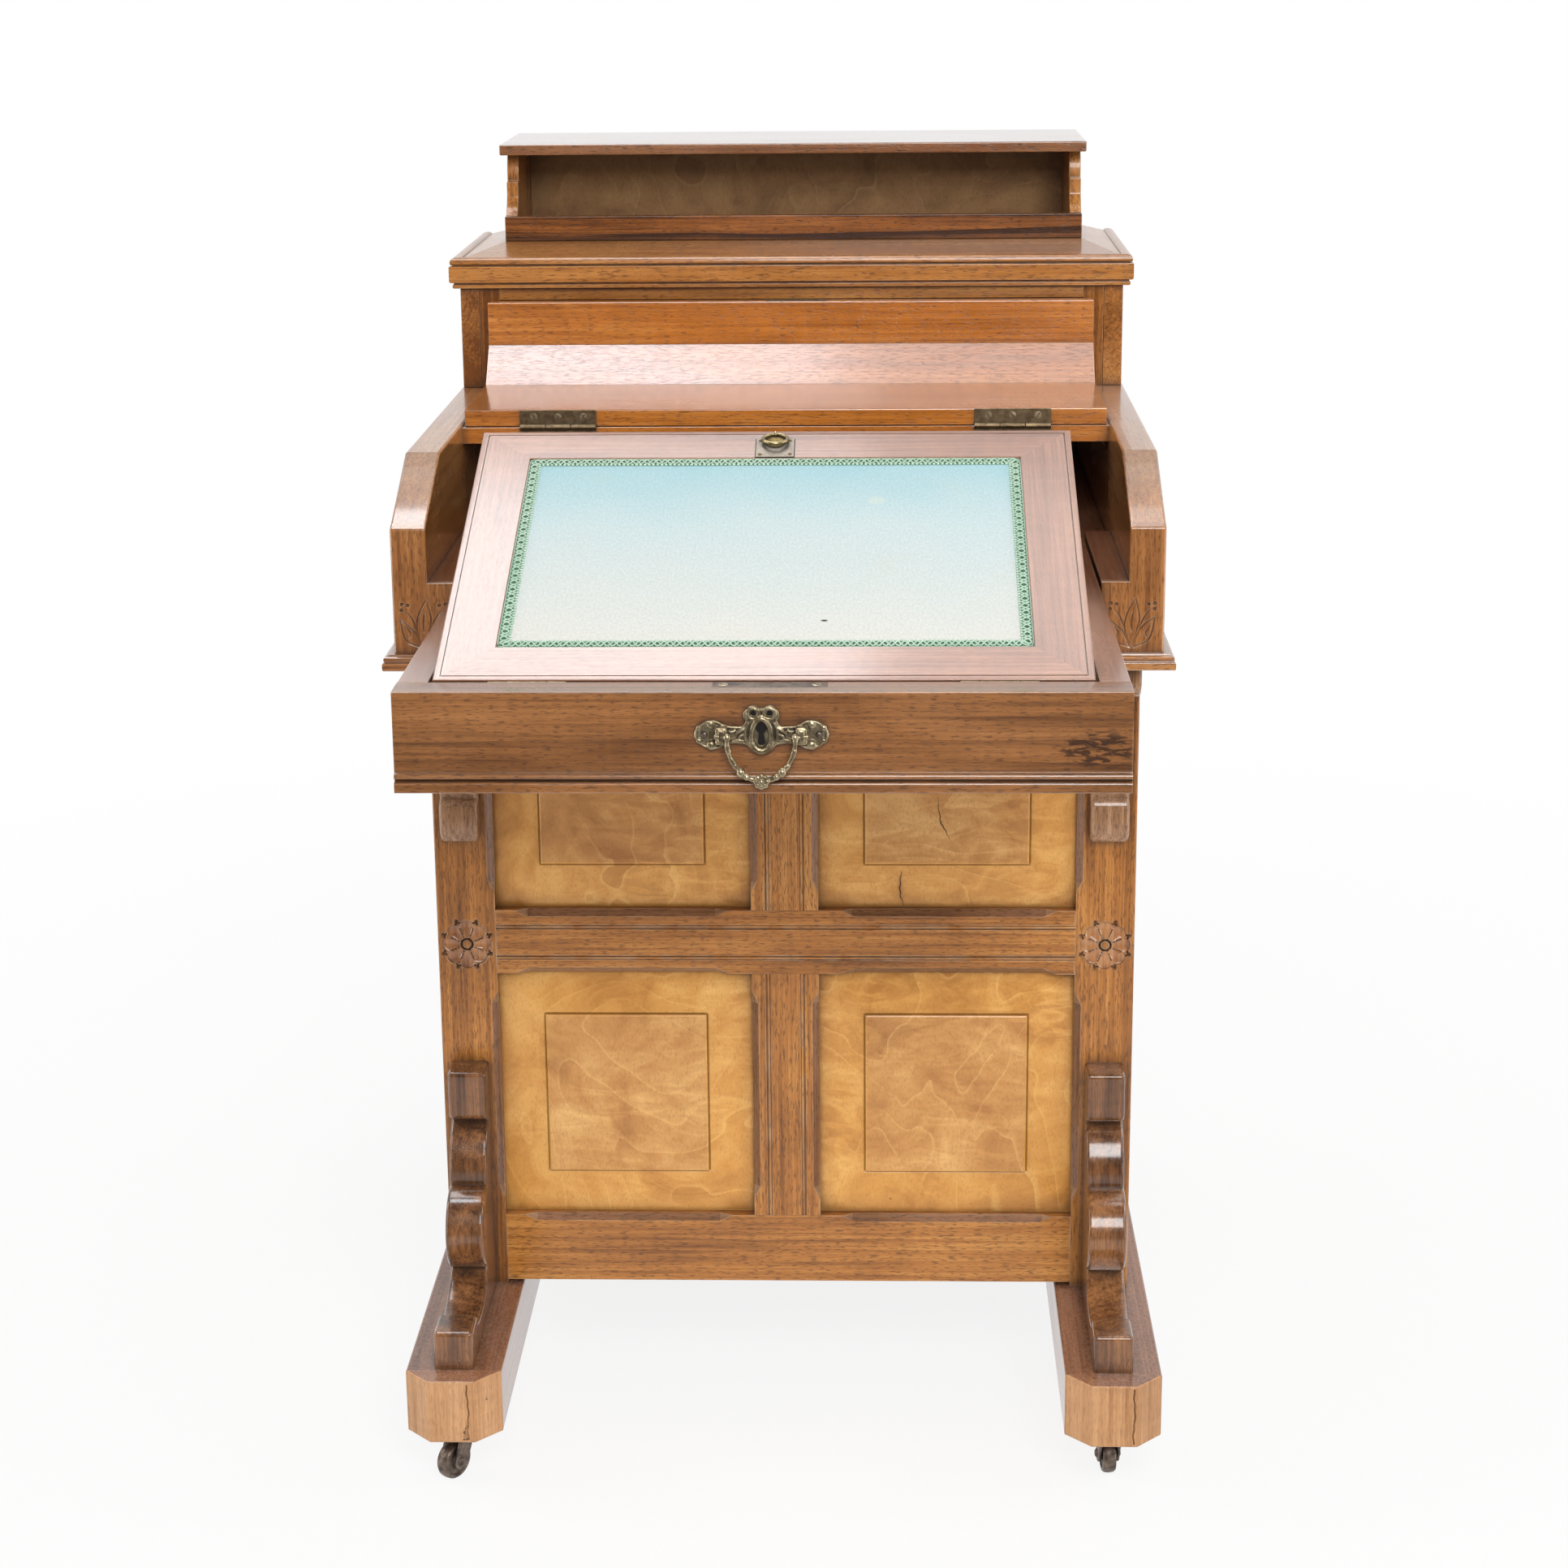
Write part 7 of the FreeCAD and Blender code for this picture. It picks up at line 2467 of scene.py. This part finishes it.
# ---------------------------------------------------------------- stationery case


@dataclass
class StationeryCase(SubAssembly):
    """The upper case, its moulded top and the gallery."""

    half: float = 278.0
    front: float = 296.5
    rear: float = 500.0
    base: float = 782.0
    top: float = 866.0
    wall: float = 16.0
    stile: float = 33.0
    inside: float = 488.0
    bevel: float = 890.0
    peak: float = 897.0
    shelf_low: float = 970.0
    LOWER_BEAD = ((24, 0), (3.6, 0), (2.7, 0.5), (2.4, 1.8), (2.7, 3.2), (3.5, 3.9),
                  (3.6, 4.6), (1.2, 4.9), (0.3, 5.5), (0, 6.6))
    UPPER_BEAD = ((0, -5.8), (0.3, -5.1), (1.0, -4.8), (3.0, -4.7), (3.1, -3.9), (1.7, -3.7),
                  (0.9, -2.8), (0.8, -1.2), (1.6, 0.6), (3.4, 1.8), (5.8, 2.3), (8.2, 2.1),
                  (9.6, 1.4), (10.0, 0.7), (24, 0.7), (24, -2))

    def build(self) -> None:
        """Build the case."""
        self.shell()
        self.face()
        self.moulded_top()
        self.gallery()
        self.shelf()

    def upright(self, mould: Mould, side: int, inner: float, outer: float, rear: float,
                ease: float, grain: str) -> None:
        """A board at one side of the case, the left one painted darker as shade.

        Args:
            mould: where it goes.
            side: -1 for the left, +1 for the right.
            inner: where its inner face stands.
            outer: where its outer face stands.
            rear: where it ends.
            ease: how far its edges are rounded.
            grain: the axis that its grain runs along.
        """
        low, high = mirrored(side, inner, outer)
        board = block((low, self.front, self.base), (high, rear, self.top), ease)
        # The negative lift on the left side is painted shade.
        mould.take(board, grain, timber=mould.timber(board, lift=1.5 * side - 1.5))

    def shell(self) -> None:
        """Sides, back, floor and dividers."""
        mould = Mould(110)
        inner = self.half - self.wall
        floor, start, back = self.base + 8, self.front + 16, self.inside
        for side in LEFT_RIGHT:
            self.upright(mould, side, inner, self.half, self.rear, 0.9, "y")
        mould.board((-inner, back, self.base), (inner, self.rear, self.top), 0.6)
        mould.board((-inner, start, self.base), (inner, back, floor), 0.2, slot=1)
        for side in LEFT_RIGHT:
            x = side * inner / 3
            mould.board((x - 3, start, floor), (x + 3, back, self.top - 14), 0.8, "y", 1)
        self.put("case_boards", mould, (Finish.CASE, Finish.PALE), "desk", ["case_shell"])

    def face(self) -> None:
        """Stiles, rail, sill and the sunk panel."""
        mould = Mould(111)
        end, front, back = self.half - self.stile, self.front, self.front + 16
        for side in LEFT_RIGHT:
            self.upright(mould, side, end, self.half - self.wall - 0.05, back, 0.25, "z")
        mould.board((-end, front, self.top - 10), (end, back, self.top), 0.5)
        mould.board((-end, front, self.base), (end, back, self.base + 22), 0.5)
        mould.board((-end, front + 5, self.base + 22), (end, front + 13, self.top - 10), 0.1)
        self.put("case_front_boards", mould, Finish.CASE, "desk", ["case_front"])

    def moulded_top(self) -> None:
        """Bead, band and bead round three sides, then a broad hipped bevel."""
        mould = Mould(112)
        out, front, rear = self.half + 8, self.front - 8, self.rear
        low, high = self.top + 0.35, self.bevel
        profile = [*((x, low + z) for x, z in self.LOWER_BEAD),
                   *((x, high + z) for x, z in self.UPPER_BEAD)]
        path = [(out, rear), (out, front), (-out, front), (-out, rear)]
        for run, grain in zip(mitred_runs(profile, path), "yxy"):
            mould.take(run, grain, timber=mould.timber(run, 0.5, 0.8))
        a, b, brim = out - 10.2, front + 10.2, high + 0.75
        c, d, peak = 248.0, 373.5, self.peak
        for grain, *corners in (
                ("x", (-a, b, brim), (a, b, brim), (c, d, peak), (-c, d, peak)),
                ("y", (a, b, brim), (a, rear, brim), (c, rear, peak), (c, d, peak)),
                ("y", (-a, rear, brim), (-a, b, brim), (-c, d, peak), (-c, rear, peak)),
                ("x", (-c, d, peak), (c, d, peak), (c, rear, peak), (-c, rear, peak))):
            board = loft([corners, [(x, y, high - 4) for x, y, _ in corners]])
            mould.take(board, grain, timber=mould.timber(board, 0.5, 2.0))
        mould.board((-out + 20, front + 20, low), (out - 20, rear - 0.2, high - 4.2), 0)
        self.put("moulded_case_top", mould, Finish.CASE, "moulded_top", ["case_lid"],
                 crease=30.0)

    def gallery(self) -> None:
        """Fretted ends, a striped rail in front and a plain back."""
        mould = Mould(113)
        base, top, rear = self.peak, self.shelf_low, 498.0
        head, step, behind = 406.0, 12.0, 382.5
        shape = outline([(behind, base), (rear, base), (rear, top), (head, top),
                         (head - step / 2, top - 2 * step, step * 3, 1),
                         (head - step, top - 2 * step), (head - step, top - 3 * step),
                         (behind, base + 21, step * 4, -1)])
        for side in LEFT_RIGHT:
            mould.take(prism(shape, "x", *mirrored(side, 238, 248), 0.8), "z", slot=1)
        mould.take(block((-248, 373.5, base), (248, behind, base + 21), 0.9, 3), "x")
        mould.board((-238, rear - 7, base), (238, rear, top), 0.3, slot=2)
        self.put("gallery_boards", mould, (Finish.RAIL, Finish.FRAME, Finish.OLIVE),
                 "moulded_top", ["gallery_frame"])

    def shelf(self) -> None:
        """The thin top board with a softened edge."""
        mould = Mould(114)
        mould.take(block((-251, 373.5, self.shelf_low), (251, 515, 979), 1.3, 3), "x")
        self.put("gallery_shelf_board", mould, Finish.SHELF, "moulded_top", ["gallery_shelf"])


# ---------------------------------------------------------------- studio


@dataclass
class Studio:
    """White floor, soft lamps and the camera."""

    fill: float = 0.52
    room: float = 0.14
    focal: float = 3632.0 / 1932.0
    eye: tuple[float, float, float] = (0.073, -2.22925, 1.170)
    angles: tuple[float, float, float] = (14.79, 1.89, -0.54)

    def build(self) -> None:
        """Set up the floor, the world, the lamps and the camera."""
        self.floor()
        self.world()
        self.lamps()
        self.camera()

    def rays(self, graph: Graph) -> tuple[Value, Value]:
        """Masks for the kinds of ray that see a surface.

        Args:
            graph: the graph that they are for.

        Returns:
            The mask of the camera's own rays, and that of mirrored or passing ones.
        """
        light = graph.outputs(graph.add("ShaderNodeLightPath"))
        return light["Is Camera Ray"], graph.maths("ADD", light["Is Glossy Ray"],
                                                   light["Is Transmission Ray"], True)

    def floor(self) -> None:
        """A round pale floor that fades into white, but keeps the desk's shadow."""
        mesh = bpy.data.meshes.new("floor")
        disc = bmesh.new()
        bmesh.ops.create_circle(disc, cap_ends=True, segments=96, radius=14.0)
        disc.to_mesh(mesh)
        disc.free()
        floor = bpy.data.objects.new("floor", mesh)
        bpy.context.scene.collection.objects.link(floor)
        material = bpy.data.materials.new("pale_floor")
        material.use_nodes = True
        mesh.materials.append(material)
        graph = Graph(material.node_tree)
        nodes = graph.tree.nodes
        place = graph.outputs(graph.add("ShaderNodeTexCoord"))["Object"]
        speckle = graph.noise(place, 60.0, 4.0).span(0.3, 0.7, 0.97, 1.0)
        graph.feed(nodes["Principled BSDF"], Roughness=0.8, Specular_IOR_Level=0.1,
                   Base_Color=graph.tinted((0.90, 0.90, 0.90, 1.0), speckle))
        length = graph.outputs(graph.add("ShaderNodeVectorMath", place, operation="LENGTH"))
        seen, mirrored_rays = self.rays(graph)
        behind = graph.axes(place)["Y"].span(-1.9, -0.7, self.room, 1.0)
        glow = graph.value("ShaderNodeEmission", Strength=graph.maths("ADD", seen, behind, True))
        share = (graph.maths("ADD", seen, mirrored_rays, True)
                 * length["Value"].span(0.5, 2.0, 0.86, 1.0))
        plain = Value(graph, nodes["Principled BSDF"].outputs[0])
        graph.feed(nodes["Material Output"],
                   Surface=graph.value("ShaderNodeMixShader", share, plain, glow))
        LOG.info("floor: stage")

    def world(self) -> None:
        """White behind the desk, a dimmer room in front of it, and a soft fill."""
        world = bpy.data.worlds.new("studio")
        bpy.context.scene.world = world
        world.use_nodes = True
        graph = Graph(world.node_tree)
        place = graph.outputs(graph.add("ShaderNodeTexCoord"))["Generated"]
        seen, mirrored_rays = self.rays(graph)
        room = graph.axes(place)["Y"].span(-0.3, 0.2, self.room - self.fill, 1.0 - self.fill)
        strength = seen * (1.0 - self.fill) + self.fill + mirrored_rays * room
        graph.feed(world.node_tree.nodes["Background"], Color=(1.0, 1.0, 1.0, 1.0),
                   Strength=strength)

    def lamp(self, name: str, place: Flat, aim: Flat, size: tuple[float, float], level: float,
             shine_only: bool = False, cool: float = 0.0) -> None:
        """A soft lamp.

        Args:
            name: its name.
            place: where it hangs.
            aim: the point that it looks at.
            size: its width and length.
            level: how bright its face is.
            shine_only: whether it shows in polished surfaces only and lights nothing else.
            cool: how far its white leans towards blue.
        """
        data = bpy.data.lights.new(name, "AREA")
        data.shape = "RECTANGLE"
        data.size, data.size_y = size
        data.energy = level * math.pi * size[0] * size[1]
        data.color = (1.0 - cool, 1.0 - cool * 0.5, 1.0)
        lamp = bpy.data.objects.new(name, data)
        lamp.location = place
        lamp.rotation_euler = (Vector(aim) - Vector(place)).to_track_quat("-Z", "Y").to_euler()
        lamp.visible_diffuse = not shine_only
        bpy.context.scene.collection.objects.link(lamp)

    def lamps(self) -> None:
        """A soft box in front and one at each side, and panels and strips that only shine."""
        for name, x, y, size, level, cool in (
                ("rear_panel", -0.60, 0.89, (1.32, 1.10), 6.0, 0.06),
                ("rear_panel_dim", 0.50, 0.89, (0.88, 1.10), 2.1, 0.0),
                ("top_panel", -0.44, -0.15, (0.88, 0.44), 13.0, 0.14),
                ("top_panel_dim", 0.35, -0.15, (0.70, 0.44), 5.0, 0.0)):
            self.lamp(name, (x, y, 2.9), (x, y - 0.01, 0.0), size, level, True, cool)
        for name, side in (("left_strip", -1), ("right_strip", 1)):
            self.lamp(name, (side * 1.5, -0.75, 0.75), (0.0, -0.1, 0.55), (0.30, 1.5), 5.5, True)
        for name, place, wide, level in (("front", (0.5, -3.0, 2.35), 1.5, 11.5),
                                         ("left", (-2.9, 0.2, 1.8), 1.0, 6.0),
                                         ("right", (2.9, 0.2, 1.8), 1.0, 6.0)):
            self.lamp(name, place, (0.0, 0.0, 0.5), (wide, wide), level)

    def camera(self) -> None:
        """The camera, looking slightly down at the desk's front."""
        data = bpy.data.cameras.new("view")
        data.lens = self.focal * data.sensor_width
        data.shift_y = -0.06
        camera = bpy.data.objects.new("view", data)
        pitch, yaw, roll = self.angles
        camera.matrix_world = (at(*self.eye) @ turned(yaw, "Z") @ turned(90 - pitch, "X")
                               @ turned(roll, "Z"))
        bpy.context.scene.collection.objects.link(camera)
        bpy.context.scene.camera = camera
        bpy.context.scene.view_settings.view_transform = "Standard"


def main() -> None:
    """Load the frame, build every sub-assembly, then the studio."""
    logging.basicConfig(level=logging.INFO, format="%(message)s")
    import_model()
    shared = SharedGroups()
    finishes = {finish: finish.value.material(shared) for finish in Finish}
    for part in (Pedestal, Base, DeskBody, Lid, WritingBox, WritingFlap, StationeryCase):
        part(finishes).build()
    Studio().build()


if __name__ == "__main__":
    main()
